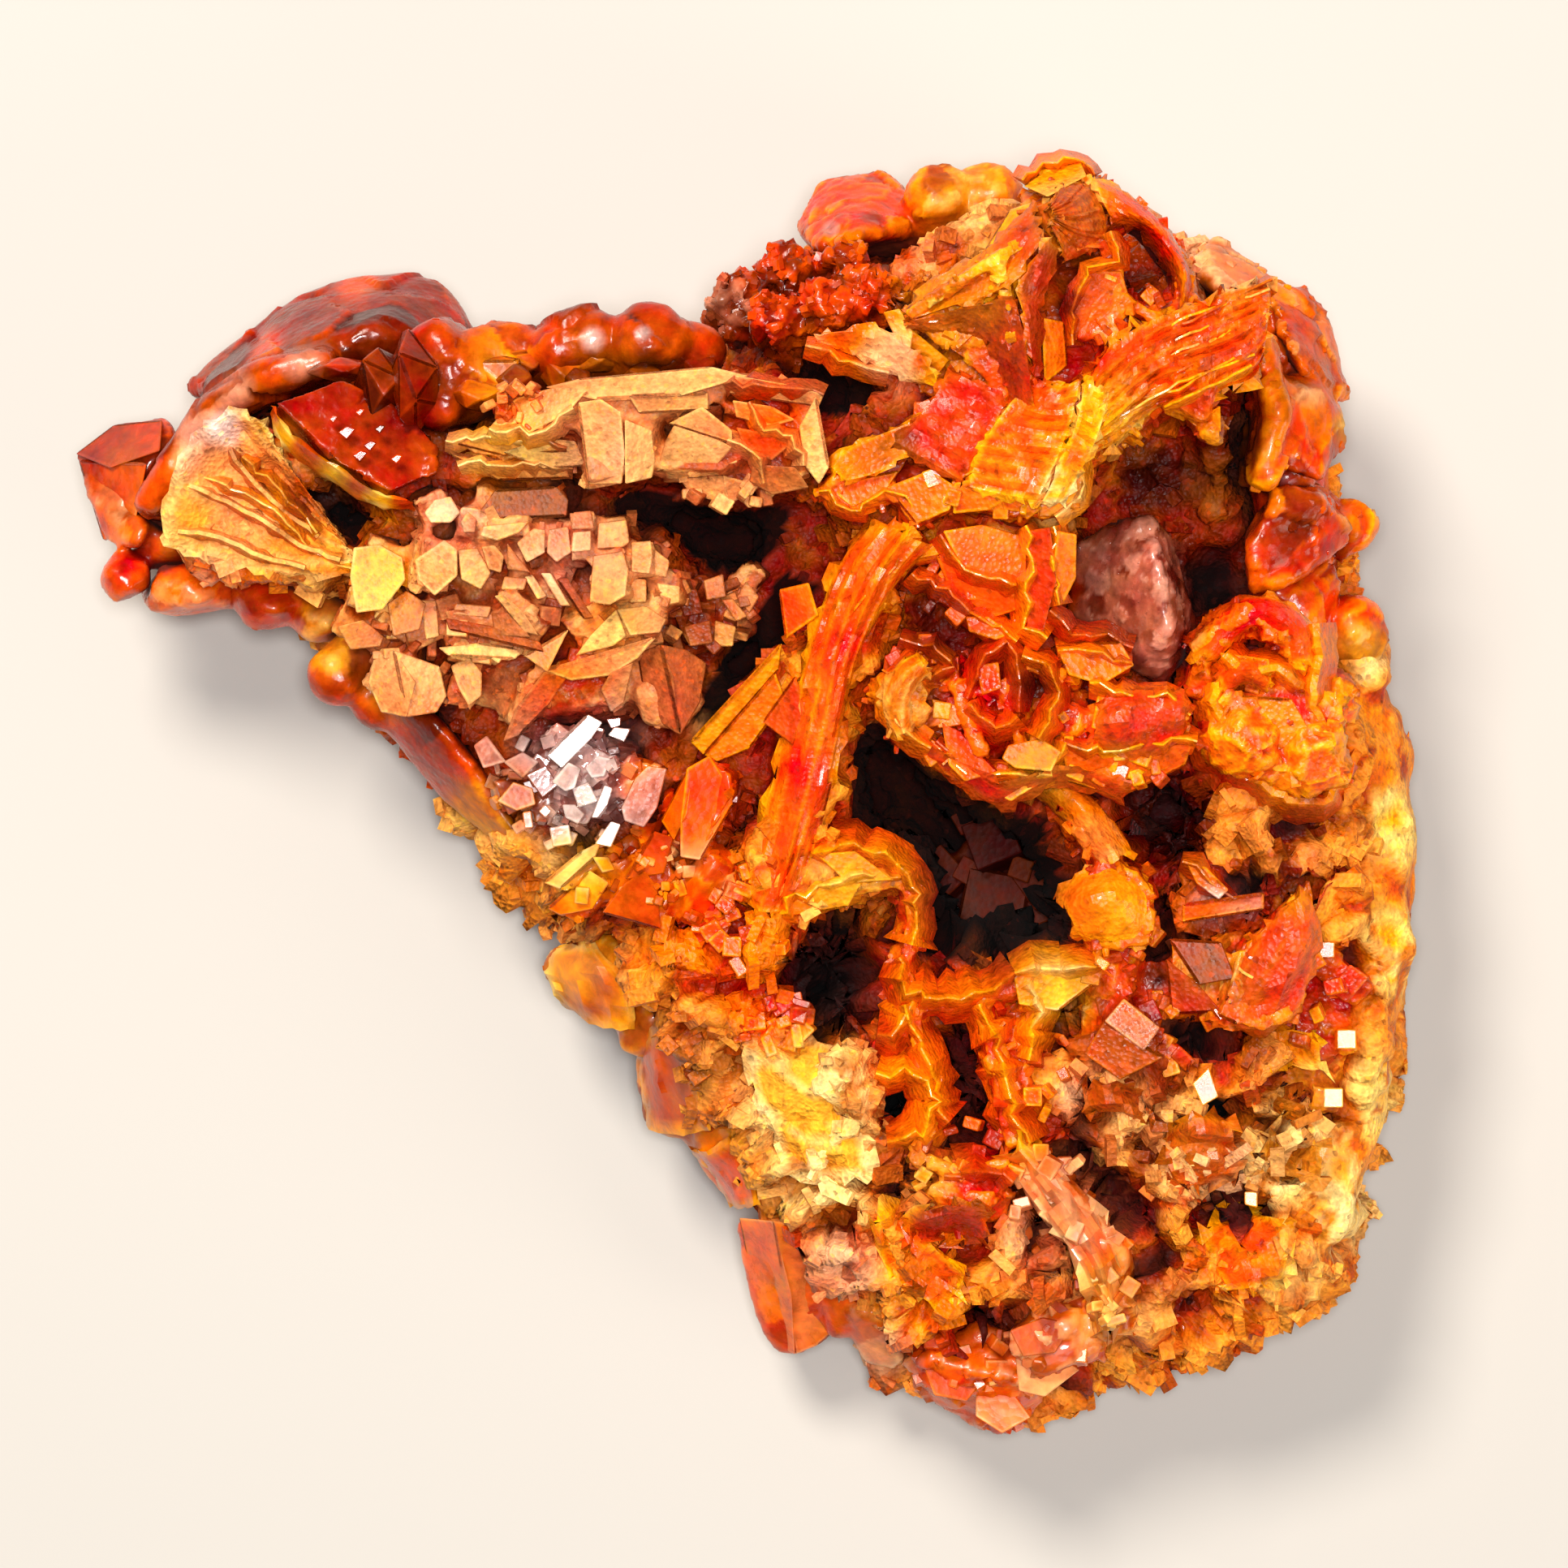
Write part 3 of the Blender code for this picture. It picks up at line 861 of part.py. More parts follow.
def slab(bm, outline, low, high, slope=(0.0, 0.0), flare=1.0):
    """Adds a closed slab to a mesh: an outline with a sloping top, wider or narrower at its foot."""
    flat = np.array(outline, float)
    middle = flat.mean(axis=0)
    rise = (flat - middle) @ np.array(slope, float)
    foot = middle + (flat - middle) * flare
    upper = [bm.verts.new((x, y, high + r)) for (x, y), r in zip(flat, rise)]
    lower = [bm.verts.new((x, y, low)) for x, y in foot]
    made = [bm.faces.new(upper), bm.faces.new(lower[::-1])]
    for k in range(len(flat)):
        j = (k + 1) % len(flat)
        made.append(bm.faces.new((upper[k], lower[k], lower[j], upper[j])))
    bmesh.ops.recalc_face_normals(bm, faces=made)


def add_remesh(obj):
    """Melts an object's shells into one skin of small even faces."""
    mod = obj.modifiers.new("melt", "REMESH")
    mod.mode = "VOXEL"
    mod.voxel_size = VOXEL
    mod.adaptivity = 0.0


def matrix(laid):
    """The ochre rock: body, benches and strut melted into one, hollowed, roughened and facetted."""
    solid = bmesh.new()
    for low, high, inset in BODY_SLICES:
        slab(solid, drawn_in(OUTLINE, inset), low, high)
    for outline, top, slope in BENCHES:
        slab(solid, outline, BENCH_FOOT, top, slope, BENCH_FLARE)
    rock = new_object("matrix", solid)
    carried = wall(STRUT, STRUT_DEPTH, STRUT_WIDTH, rim=0.7) + wall(SIDE_PLATE, SIDE_DEPTH, SIDE_WIDTH)
    beams = new_object("beams", shells(carried))
    add_remesh(rock)
    settle(rock)
    hollow = bmesh.new()
    for outline, floor in HOLLOWS:
        slab(hollow, outline, floor, HOLLOW_MOUTH, flare=HOLLOW_FLARE)
    boolean(rock, "DIFFERENCE", new_object("hollows", hollow))
    boolean(rock, "UNION", beams)
    add_remesh(rock)
    bumps = bpy.data.textures.new("bumps", "CLOUDS")
    bumps.noise_scale = ROUGH_SIZE
    bumps.noise_depth = 2
    rough = rock.modifiers.new("rough", "DISPLACE")
    rough.texture = bumps
    rough.texture_coords = "LOCAL"
    rough.strength = ROUGH_DEPTH
    rough.mid_level = 0.5
    settle(rock)
    add_remesh(rock)
    settle(rock)
    sockets = new_object("sockets", shells(sum(laid, []), GAP + SOCKET_SLACK))
    add_remesh(sockets)
    settle(sockets)
    boolean(rock, "DIFFERENCE", sockets, solver="MANIFOLD")
    add_remesh(rock)
    settle(rock)
    keep_main_body(rock)
    thin = rock.modifiers.new("facet", "DECIMATE")
    thin.ratio = MATRIX_FACES / (2 * len(rock.data.polygons))
    settle(rock)
    under = bmesh.new()
    bmesh.ops.create_cube(under, size=WASTE_SIZE)
    bmesh.ops.translate(under, verts=under.verts, vec=(0.0, 0.0, FLOOR_CUT - WASTE_SIZE / 2))
    boolean(rock, "DIFFERENCE", new_object("under", under))
    return rock


# ---------------------------------------------------------------- materials and assembly


def material(name, color, roughness):
    """A plain surface of one colour."""
    mat = bpy.data.materials.new(name)
    mat.use_nodes = True
    shader = mat.node_tree.nodes["Principled BSDF"]
    shader.inputs["Base Color"].default_value = (*color, 1.0)
    shader.inputs["Roughness"].default_value = roughness
    mat.diffuse_color = (*color, 1.0)
    return mat


# name, maker of its pieces, colour, roughness
GROUPS = (
    ("ledge_plates", ledge_plates, (0.60, 0.22, 0.07), 0.5),
    ("boxwork_blades", boxwork_blades, (0.78, 0.20, 0.03), 0.4),
    ("plate_stack", plate_stack, (0.62, 0.30, 0.12), 0.55),
    ("mirror_cluster", mirror_cluster, (0.55, 0.28, 0.20), 0.15),
    ("tabular_crystal", tabular_crystal, (0.45, 0.02, 0.01), 0.12),
    ("crown_crystals", crown_crystals, (0.35, 0.02, 0.01), 0.12),
    ("left_tip_crystal", left_tip_crystal, (0.55, 0.08, 0.03), 0.2),
    ("leaning_crystals", leaning_crystals, (0.62, 0.12, 0.06), 0.25),
    ("edge_lens_crystal", edge_lens_crystal, (0.40, 0.03, 0.01), 0.2),
    ("arm_fringe_crystals", arm_fringe_crystals, (0.75, 0.22, 0.10), 0.3),
    ("top_peak_crystals", top_peak_crystals, (0.72, 0.12, 0.03), 0.2),
    ("top_crust_crystals", top_crust_crystals, (0.50, 0.05, 0.02), 0.2),
    ("right_wall_crystals", right_wall_crystals, (0.52, 0.03, 0.01), 0.12),
    ("pyramid_crystal", pyramid_crystal, (0.28, 0.12, 0.11), 0.35),
    ("knob_ring_crystals", knob_ring_crystals, (0.78, 0.15, 0.02), 0.3),
    ("shelf_crystals", shelf_crystals, (0.75, 0.17, 0.03), 0.4),
    ("lower_right_crystals", lower_right_crystals, (0.70, 0.20, 0.05), 0.35),
    ("lattice_crystals", lattice_crystals, (0.75, 0.22, 0.05), 0.45),
    ("lower_rib_crystals", lower_rib_crystals, (0.62, 0.16, 0.08), 0.4),
    ("edge_spikes", edge_spikes, (0.80, 0.30, 0.10), 0.35),
    ("spear_crystal", spear_crystal, (0.72, 0.16, 0.08), 0.3),
    ("pocket_crystals", pocket_crystals, (0.14, 0.05, 0.03), 0.3),
)


def crystal_group(name, pieces):
    """Joins a group's convex pieces in one solid."""
    obj = new_object(name, shells(pieces[:1]))
    if len(pieces) > 1:
        boolean(obj, "UNION", new_object("rest", shells(pieces[1:])))
    tidy_faces(obj)
    keep_main_body(obj)
    return obj


def all_points(pieces):
    """The corners of all pieces in one list."""
    return np.vstack([p.reshape(-1, 3) for p in pieces])


def near(pieces, others):
    """Whether two sets of pieces come within a gap's width of each other."""
    a, b = all_points(pieces), all_points(others)
    reach = 2 * GAP
    below = np.all(a.min(axis=0) - reach < b.max(axis=0))
    above = np.all(b.min(axis=0) - reach < a.max(axis=0))
    return bool(below and above)


def touches(obj, bm):
    """Whether an object's surface meets a mesh's."""
    own = bmesh.new()
    own.from_mesh(obj.data)
    met = BVHTree.FromBMesh(own).overlap(BVHTree.FromBMesh(bm))
    own.free()
    bm.free()
    return bool(met)


def clear_of(obj, pieces):
    """Cuts an object back so that it keeps the gap from some pieces."""
    boolean(obj, "DIFFERENCE", new_object("cutter", shells(pieces, GAP)))
    keep_main_body(obj)
    tidy_faces(obj)


def centre_on_rest_face(objects):
    """Puts the middle of the specimen's plan over the origin."""
    points = np.array([v.co[:] for obj in objects for v in obj.data.vertices])
    middle = (points.min(axis=0) + points.max(axis=0)) / 2
    for obj in objects:
        obj.data.transform(Matrix.Translation((-middle[0], -middle[1], 0.0)))


def build():
    """Models every group in turn, then the matrix with its sockets."""
    for obj in list(bpy.data.objects):
        bpy.data.objects.remove(obj)
    specimen = bpy.data.collections.new("vanadinite_on_matrix")
    bpy.context.scene.collection.children.link(specimen)
    laid = []
    for name, maker, color, roughness in GROUPS:
        pieces = maker()
        obj = crystal_group(name, pieces)
        for earlier in laid:
            touching = [p for p in earlier if near([p], pieces)]
            if touching:
                clear_of(obj, touching)
        obj.data.materials.clear()
        obj.data.materials.append(material(name, color, roughness))
        laid.append(pieces)
    rock = matrix(laid)
    for pieces in laid:
        if touches(rock, shells(pieces, GAP)):
            clear_of(rock, pieces)
    rock.data.materials.clear()
    rock.data.materials.append(material("matrix", (0.66, 0.28, 0.06), 0.8))
    for obj in list(bpy.context.scene.collection.objects):
        obj.data.polygons.foreach_set("material_index", [0] * len(obj.data.polygons))
        bpy.context.scene.collection.objects.unlink(obj)
        specimen.objects.link(obj)
        obj.data.transform(Matrix.Scale(MM, 4))
        obj.data.name = obj.name
    centre_on_rest_face(specimen.objects)


build()
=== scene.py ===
"""Vanadinite on matrix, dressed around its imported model: crystal faces, crusts, colours and light.

Shapes are worked out in millimetres on the layout that the solids use, and turned to metres, in the
frame, when a piece is finished.
"""

import math

import bmesh
import bpy
import numpy as np
from mathutils import Matrix, Vector, noise
from mathutils.bvhtree import BVHTree


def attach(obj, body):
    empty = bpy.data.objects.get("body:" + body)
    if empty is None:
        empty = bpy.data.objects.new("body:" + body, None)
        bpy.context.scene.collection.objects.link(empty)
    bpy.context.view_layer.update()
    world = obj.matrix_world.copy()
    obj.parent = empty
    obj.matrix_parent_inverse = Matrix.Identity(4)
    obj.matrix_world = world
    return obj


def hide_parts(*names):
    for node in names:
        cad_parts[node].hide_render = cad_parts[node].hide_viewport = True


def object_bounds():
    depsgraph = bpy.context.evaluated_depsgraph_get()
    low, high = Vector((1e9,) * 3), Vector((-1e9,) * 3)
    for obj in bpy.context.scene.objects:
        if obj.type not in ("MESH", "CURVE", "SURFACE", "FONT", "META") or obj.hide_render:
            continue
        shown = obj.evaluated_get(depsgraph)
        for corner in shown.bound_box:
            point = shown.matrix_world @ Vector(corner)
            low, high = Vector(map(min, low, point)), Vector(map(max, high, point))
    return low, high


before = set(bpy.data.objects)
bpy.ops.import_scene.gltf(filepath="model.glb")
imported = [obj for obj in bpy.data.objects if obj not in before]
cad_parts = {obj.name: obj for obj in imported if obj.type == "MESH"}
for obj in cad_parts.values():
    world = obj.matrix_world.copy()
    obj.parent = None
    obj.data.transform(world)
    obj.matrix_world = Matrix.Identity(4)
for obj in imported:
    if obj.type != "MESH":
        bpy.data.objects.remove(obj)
CAD_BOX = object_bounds()

MM = 0.001  # metres in a millimetre
SHIFT = Vector((-0.053, -0.073, 0.0))  # from the layout to the frame, mm
GOLDEN = math.pi * (1 + 5**0.5)  # the turn between points spread evenly over a ball

# ---------------------------------------------------------------- colours


def linear(code):
    """An sRGB hex colour as linear light, fully opaque."""
    parts = [int(code[k:k + 2], 16) / 255 for k in (1, 3, 5)]
    return (*[c / 12.92 if c <= 0.04045 else ((c + 0.055) / 1.055) ** 2.4 for c in parts], 1.0)


# Each look is one finish of the specimen: colour of flat faces, the paler colour painted on rims and high
# edges as a highlight, the darker colour painted in hollows as shade, and the roughness of a clean face.
LOOKS = {
    "glassy red": ("#b40e00", "#dc3c08", "#580400", 0.2),
    "deep red": ("#800800", "#b41c06", "#300200", 0.18),
    "bright red": ("#e82604", "#ff8a34", "#b00602", 0.22),
    "orange blade": ("#ee500a", "#ffb450", "#c01604", 0.30),
    "tan plate": ("#e48850", "#ffc67a", "#9a3010", 0.42),
    "pink plate": ("#ea8a64", "#ffcc9c", "#a43a1c", 0.38),
    "ochre crust": ("#e48636", "#ffcc78", "#a83c0c", 0.60),
    "rust crust": ("#e65e1a", "#ffae50", "#a81a04", 0.50),
    "cream crust": ("#f6ae44", "#ffe8a4", "#b05c14", 0.60),
    "salmon": ("#ec6436", "#ffac7c", "#ba2a0a", 0.26),
    "peach": ("#e88438", "#ffc074", "#a82c0a", 0.28),
    "purple grey": ("#a25a4a", "#dc9c88", "#641e18", 0.20),
    "brown red": ("#b0421c", "#f09a50", "#640602", 0.34),
    # dim colours painted on crystals deep in hollows, as their shade
    "pocket shade": ("#80260c", "#d0703c", "#380402", 0.55),
    "yellow rim": ("#fca828", "#ffe890", "#c84e08", 0.36),
    # dark red painted on hollows as shade
    "recess shade": ("#7c0a02", "#c8400c", "#200000", 0.35),
    # silver: pale grey-pink; on the rod its own colour, elsewhere a painted highlight where crystals
    # flash
    "silver": ("#c8a098", "#fff4ec", "#7a4038", 0.05),
}

# ---------------------------------------------------------------- pieces of crystal, in millimetres

SHEET_FOOT = 0.92  # how wide a sheet's lower face is beside its upper one
SHEET_LEAN = 0.22  # slope of a sheet that is given with one height
RIDGE_STEP = 0.32  # between the sections of a ridge
SHOULDER_DROP = 0.16  # from a ridge's crest to its shoulders
EDGE_DROPS = (0.16, 0.03)  # how far a leaf's edge turns down, and the row of corners beside it
COMB_TAPER = 0.3  # how much shorter the outer fins of a comb are
RUBBLE_THICK = 0.5
BEVEL = 0.035  # of a crisp crystal's edges
RIM_WIDTH = 0.09  # of the border round a crisp crystal's faces that is painted paler as a highlight


def plate(outline, top, slope, thick, shrink=0.9):
    """A flat crystal plate: its outline in plan, the height of its upper face, that face's slope."""
    flat = np.array(outline, float)
    middle = flat.mean(axis=0)
    rise = (flat - middle) @ np.array(slope, float)
    upper = np.column_stack([flat, top + rise])
    normal = np.array([-slope[0], -slope[1], 1.0])
    normal /= np.linalg.norm(normal)
    centre = upper.mean(axis=0)
    lower = centre + (upper - centre) * shrink - normal * thick
    return [np.vstack([upper, lower])]


def block(x, y, width, depth, turn, top, slope, thick):
    """A four-sided crystal block, turned in plan by so many degrees."""
    a = math.radians(turn)
    along = np.array([math.cos(a), math.sin(a)]) * width / 2
    across = np.array([-math.sin(a), math.cos(a)]) * depth / 2
    middle = np.array([x, y])
    corners = [middle - along - across, middle + along - across * 0.9]
    corners += [middle + along * 0.92 + across, middle - along + across * 0.95]
    return plate(corners, top, slope, thick, shrink=0.94)


def sheet(corners, thick):
    """A flat-faced blade or block given by the corners of its upper face, each with its own height."""
    upper = np.array(corners, float)
    centre = upper.mean(axis=0)
    level = np.column_stack([upper[:, :2] - centre[:2], np.ones(len(upper))])
    upper[:, 2] = level @ np.linalg.lstsq(level, upper[:, 2], rcond=None)[0]
    lower = centre + (upper - centre) * SHEET_FOOT
    lower[:, 2] -= thick
    return [np.vstack([upper, lower])]


def sheets(table, thick):
    """Several sheets; a corner may leave out its height and take the sheet's own, given as a number."""
    pieces = []
    for row in table:
        height = row[0] if isinstance(row[0], (int, float)) else None
        corners = row[1:] if height is not None else row
        corners = [c if len(c) == 3 else (*c, height) for c in corners]
        middle = np.mean([c[:2] for c in corners], axis=0)
        if height is not None:
            lean = np.array([math.sin(middle[0] * 7.3), math.cos(middle[1] * 5.9)]) * SHEET_LEAN
            corners = [(x, y, z + float(lean @ (np.array([x, y]) - middle))) for x, y, z in corners]
        pieces += sheet(corners, thick)
    return pieces


def ridge(path, depth, base, rim, ragged=0.12, seed=0):
    """A torn blade along a path of its crest: sharp above, its crest painted pale as a highlight,
    spreading to a broad foot.

    It is a loft of six-cornered sections: crest, shoulders just below it, and the foot.
    """
    spine = np.array(path, float)
    run = np.concatenate([[0], np.cumsum(np.linalg.norm(np.diff(spine, axis=0), axis=1))])
    marks = np.linspace(0, run[-1], max(int(run[-1] / RIDGE_STEP), 2) + 1)
    spine = np.column_stack([np.interp(marks, run, spine[:, k]) for k in range(3)])
    draw = np.random.default_rng(400 + seed)
    spine[:, 2] += draw.uniform(-1.3, 0.7, len(spine)) * ragged
    spine[:, :2] += draw.uniform(-0.6, 0.6, (len(spine), 2)) * ragged
    run = np.gradient(spine[:, :2], axis=0)
    run /= np.linalg.norm(run, axis=1)[:, None]
    side = np.column_stack([-run[:, 1], run[:, 0], np.zeros(len(spine))])
    foot = base / 2 * draw.uniform(0.75, 1.2, (len(spine), 1))
    down = np.array([0.0, 0.0, 1.0])
    shoulder = rim / 2 + foot * 0.14
    corners = [
        spine - side * rim / 2, spine + side * rim / 2,
        spine + side * shoulder - down * SHOULDER_DROP, spine + side * foot - down * depth,
        spine - side * foot - down * depth, spine - side * shoulder - down * SHOULDER_DROP,
    ]
    return [np.stack(corners, axis=1)]


def curve(net, axis, fine):
    """Points on smooth curves through those given, so many to a span, along one axis of a net."""
    net = np.moveaxis(net, axis, 0)
    last = len(net) - 1
    at = np.linspace(0, last, last * fine + 1)
    start = np.minimum(at.astype(int), last - 1)
    u = (at - start)[:, None, None]
    before, a, b, after = [net[np.clip(start + step, 0, last)] for step in (-1, 0, 1, 2)]
    bend = 2 * before - 5 * a + 4 * b - after
    twist = 3 * a - before - 3 * b + after
    return np.moveaxis((2 * a + (b - before) * u + bend * u**2 + twist * u**3) / 2, 0, axis)


def ground(x, y):
    """The height of the solids' upper side at a point in plan."""
    hit = PACKED.ray_cast(Vector((x, y, 30)), Vector((0, 0, -1)))[0]
    return hit.z if hit else 0.0


def skin_faces(count, width):
    """Faces of an upper and a lower net of corners, and of the border that joins them."""
    place = np.arange(count * width).reshape(count, width)
    far = count * width
    faces = []
    for i in range(count - 1):
        for j in range(width - 1):
            quad = (place[i, j], place[i + 1, j], place[i + 1, j + 1], place[i, j + 1])
            faces += [quad, tuple(far + k for k in reversed(quad))]
    loop = [*place[0, :-1], *place[:-1, -1], *place[-1, :0:-1], *place[:0:-1, 0]]
    for a, b in zip(loop, loop[1:] + loop[:1]):
        faces.append((a, b, b + far, a + far))
    return faces


def leaf(rows, thick=0.6, pleats=0, depth=0.1, rise=0.2, fine=5, ragged=0.14, rough=0.1):
    """A curved blade: a smooth skin through rows of points, closed below and painted pale along its edge
    as a highlight.

    Pleats run along the rows, or across them when their number is negative. A point given without
    a height lies on the solids, rise above them. The edge is ragged and turns down.
    """
    net = np.array([[p if len(p) == 3 else (*p, ground(*p) + rise) for p in row] for row in rows], float)
    top = curve(curve(net, 0, fine), 1, fine)
    count, width = top.shape[:2]
    across = np.linspace(0, 1, count)[:, None] + np.zeros((count, width))
    along = np.linspace(0, 1, width)[None, :] + np.zeros((count, width))
    inner = np.minimum(
        np.minimum.outer(np.arange(count), np.arange(width)),
        np.minimum.outer(np.arange(count)[::-1], np.arange(width)[::-1]),
    )
    phase = (across if pleats > 0 else along) * abs(pleats) + 0.35 * np.sin(along * 5.0 + across * 3.0)
    top[:, :, 2] += depth * (abs(phase % 1.0 * 2 - 1) - 0.5) * (0.6 + 0.4 * np.sin(phase * 2.3))
    lumps = np.array([noise.fractal(Vector(p) * 1.1, 0.6, 2.1, 4) for p in top.reshape(-1, 3)])
    grit = np.array([noise.noise(Vector(p) * 4.3) for p in top.reshape(-1, 3)])
    top[:, :, 2] += (lumps * 2.2 + grit * 0.7).reshape(count, width) * rough
    draw = np.random.default_rng(int(abs(net[0, 0, 0]) * 100))
    edge = inner == 0
    top[edge] += draw.uniform(-1, 1, (edge.sum(), 3)) * ragged
    top[:, :, 2] -= np.select([edge, inner == 1], EDGE_DROPS, 0.0)
    low = top.copy()
    low[:, :, :2] += (top.mean(axis=(0, 1))[:2] - low[:, :, :2]) * 0.05
    low[:, :, 2] -= thick
    # painted highlight: pale along the edge and on the pleats' crests
    pale = np.select([edge, inner == 1], [0.9, 0.6], 0.0) + (phase % 1.0 > 0.75) * 0.35 * (depth > 0)
    pale = np.append(pale.clip(0, 1).ravel(), np.zeros(count * width))
    return [(np.vstack([top.reshape(-1, 3), low.reshape(-1, 3)]), skin_faces(count, width), pale)]


def leaves(table, **settings):
    """Several leaves with the same settings."""
    return [piece for rows in table for piece in leaf(rows, **settings)]


def prism(centre, radius, length, bevel):
    """An upright six-sided vanadinite crystal with a bevelled outer end."""
    points = []
    for share, height in ((1.0, -0.5), (1.0, 0.32), (1 - bevel, 0.5)):
        for k in range(6):
            a = math.radians(180 + 60 * k)
            ring = Vector((math.cos(a) * radius * share, math.sin(a) * radius * share, height * length))
            points.append(Vector(centre) + ring)
    return [np.array(points)]


def lump(centre, radii, count, seed):
    """A knobbly facetted lump: the hull of points strewn evenly over an ellipsoid."""
    draw = np.random.default_rng(9000 + seed)
    k = np.arange(count) + 0.5
    polar = np.arccos(1 - 2 * k / count) + draw.uniform(-0.12, 0.12, count)
    around = GOLDEN * k + draw.uniform(-0.25, 0.25, count)
    unit = np.column_stack(
        [np.cos(around) * np.sin(polar), np.sin(around) * np.sin(polar), np.cos(polar)],
    )
    unit *= draw.uniform(0.86, 1.08, (count, 1))
    return [np.array(centre) + unit * np.array(radii)]


# ---------------------------------------------------------------- mesh tools


def shells(pieces, out=None):
    """One mesh holding a closed shell for each piece: the hull of a cloud, or a loft of sections."""
    out = out or bmesh.new()
    for points in pieces:
        bm = bmesh.new()
        if points.ndim == 3:
            rings = [[bm.verts.new(p) for p in section] for section in points]
            size = len(rings[0])
            for a, b in zip(rings[:-1], rings[1:]):
                for k in range(size):
                    bm.faces.new((a[k], a[(k + 1) % size], b[(k + 1) % size], b[k]))
            bm.faces.new(rings[0])
            bm.faces.new(rings[-1])
            bmesh.ops.triangulate(bm, faces=bm.faces)
        else:
            for p in points:
                bm.verts.new(p)
            made = bmesh.ops.convex_hull(bm, input=bm.verts, use_existing_faces=False)
            spare = [g for g in made["geom_interior"] if isinstance(g, bmesh.types.BMVert)]
            bmesh.ops.delete(bm, geom=spare, context="VERTS")
        bmesh.ops.recalc_face_normals(bm, faces=bm.faces)
        spot = {v: out.verts.new(v.co) for v in bm.verts}
        for f in bm.faces:
            out.faces.new([spot[v] for v in f.verts])
        bm.free()
    return out


RIM_PALE, FACE_PALE = (0.25, 0.9), (0.0, 0.25)  # spans of painted highlight for corners on crystals' edges and on faces
CREST = (0.7, 0.7, 0.3, 0.0, 0.0, 0.3)  # how pale each corner of a ridge's section is painted, as a highlight


def cut_crystals(name, pieces):
    """Crisp crystals as closed shells: bevelled edges, and faces inset so that rims can be painted paler
    as a highlight.
    """
    out = bmesh.new()
    # rim: how much paler each corner is painted, as a highlight
    rim = out.verts.layers.float.new("rim")
    cell = out.verts.layers.float.new("cell")
    draw = np.random.default_rng(77)
    for points in pieces:
        bm = shells([points]) if isinstance(points, np.ndarray) else bmesh.new()
        if isinstance(points, tuple):
            made = [bm.verts.new(p) for p in points[0]]
            for face in points[1]:
                bm.faces.new([made[k] for k in face])
            bmesh.ops.recalc_face_normals(bm, faces=bm.faces)
            paleness = points[2]
        elif points.ndim == 3:
            paleness = [CREST[k % 6] for k in range(len(bm.verts))]
        else:
            bm.normal_update()
            bmesh.ops.dissolve_limit(bm, angle_limit=0.14, verts=bm.verts, edges=bm.edges)
            bmesh.ops.bevel(
                bm, geom=bm.edges, offset=BEVEL, segments=1, affect="EDGES", clamp_overlap=True,
            )
            outer = set(bm.verts)
            wide = [f for f in bm.faces if f.calc_area() > (3 * RIM_WIDTH) ** 2]
            bmesh.ops.inset_individual(bm, faces=wide, thickness=RIM_WIDTH, use_even_offset=True)
            paleness = [draw.uniform(*(RIM_PALE if v in outer else FACE_PALE)) for v in bm.verts]
        chance = draw.uniform()
        spot = {}
        for v, pale in zip(bm.verts, paleness):
            new = out.verts.new(v.co)
            new[rim], new[cell] = pale, chance
            spot[v] = new
        for f in bm.faces:
            out.faces.new([spot[v] for v in f.verts])
        bm.free()
    return new_object(name, out)


def solid_of(*nodes):
    """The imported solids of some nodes, welded, in millimetres on the layout."""
    out = bmesh.new()
    for node in nodes:
        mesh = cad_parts[node].data.copy()
        mesh.transform(Matrix.Translation(-SHIFT) @ Matrix.Scale(1 / MM, 4))
        out.from_mesh(mesh)
        bpy.data.meshes.remove(mesh)
    bmesh.ops.remove_doubles(out, verts=out.verts, dist=0.001)
    return out


def new_object(name, bm):
    """An object made of a mesh under construction."""
    mesh = bpy.data.meshes.new(name)
    bm.to_mesh(mesh)
    bm.free()
    obj = bpy.data.objects.new(name, mesh)
    bpy.context.scene.collection.objects.link(obj)
    return obj


def settle(obj):
    """Replaces an object's mesh by what its modifiers make of it."""
    bpy.context.view_layer.update()
    shape = obj.evaluated_get(bpy.context.evaluated_depsgraph_get())
    made = bpy.data.meshes.new_from_object(shape)
    obj.modifiers.clear()
    obj.data = made


def melt(obj, voxel):
    """Melts an object's shells into one skin of even small faces."""
    mod = obj.modifiers.new("melt", "REMESH")
    mod.mode = "VOXEL"
    mod.voxel_size = voxel
    settle(obj)


def read(mesh, what):
    """The place or the normal of each corner."""
    values = np.empty(len(mesh.vertices) * 3, np.float32)
    mesh.vertices.foreach_get(what, values)
    return values.reshape(-1, 3)


def offset(obj, distance):
    """Moves an object's skin out along its normals, or in."""
    co, normal = read(obj.data, "co"), read(obj.data, "normal")
    obj.data.vertices.foreach_set("co", (co + normal * distance).ravel())
    obj.data.update()


def edges_of(mesh):
    """The two corners of each edge."""
    pairs = np.empty(len(mesh.edges) * 2, np.int32)
    mesh.edges.foreach_get("vertices", pairs)
    return pairs.reshape(-1, 2)


def spread(values, pairs, count, rounds):
    """Averages a value over each corner's neighbours, some rounds over."""
    degree = np.bincount(pairs.ravel(), minlength=count).clip(1)
    flat = values.reshape(count, -1).astype(float)
    for _ in range(rounds):
        total = np.empty_like(flat)
        for k in range(flat.shape[1]):
            total[:, k] = np.bincount(pairs[:, 0], flat[pairs[:, 1], k], count)
            total[:, k] += np.bincount(pairs[:, 1], flat[pairs[:, 0], k], count)
        flat = (flat + total) / (degree + 1)[:, None]
    return flat.reshape(values.shape)


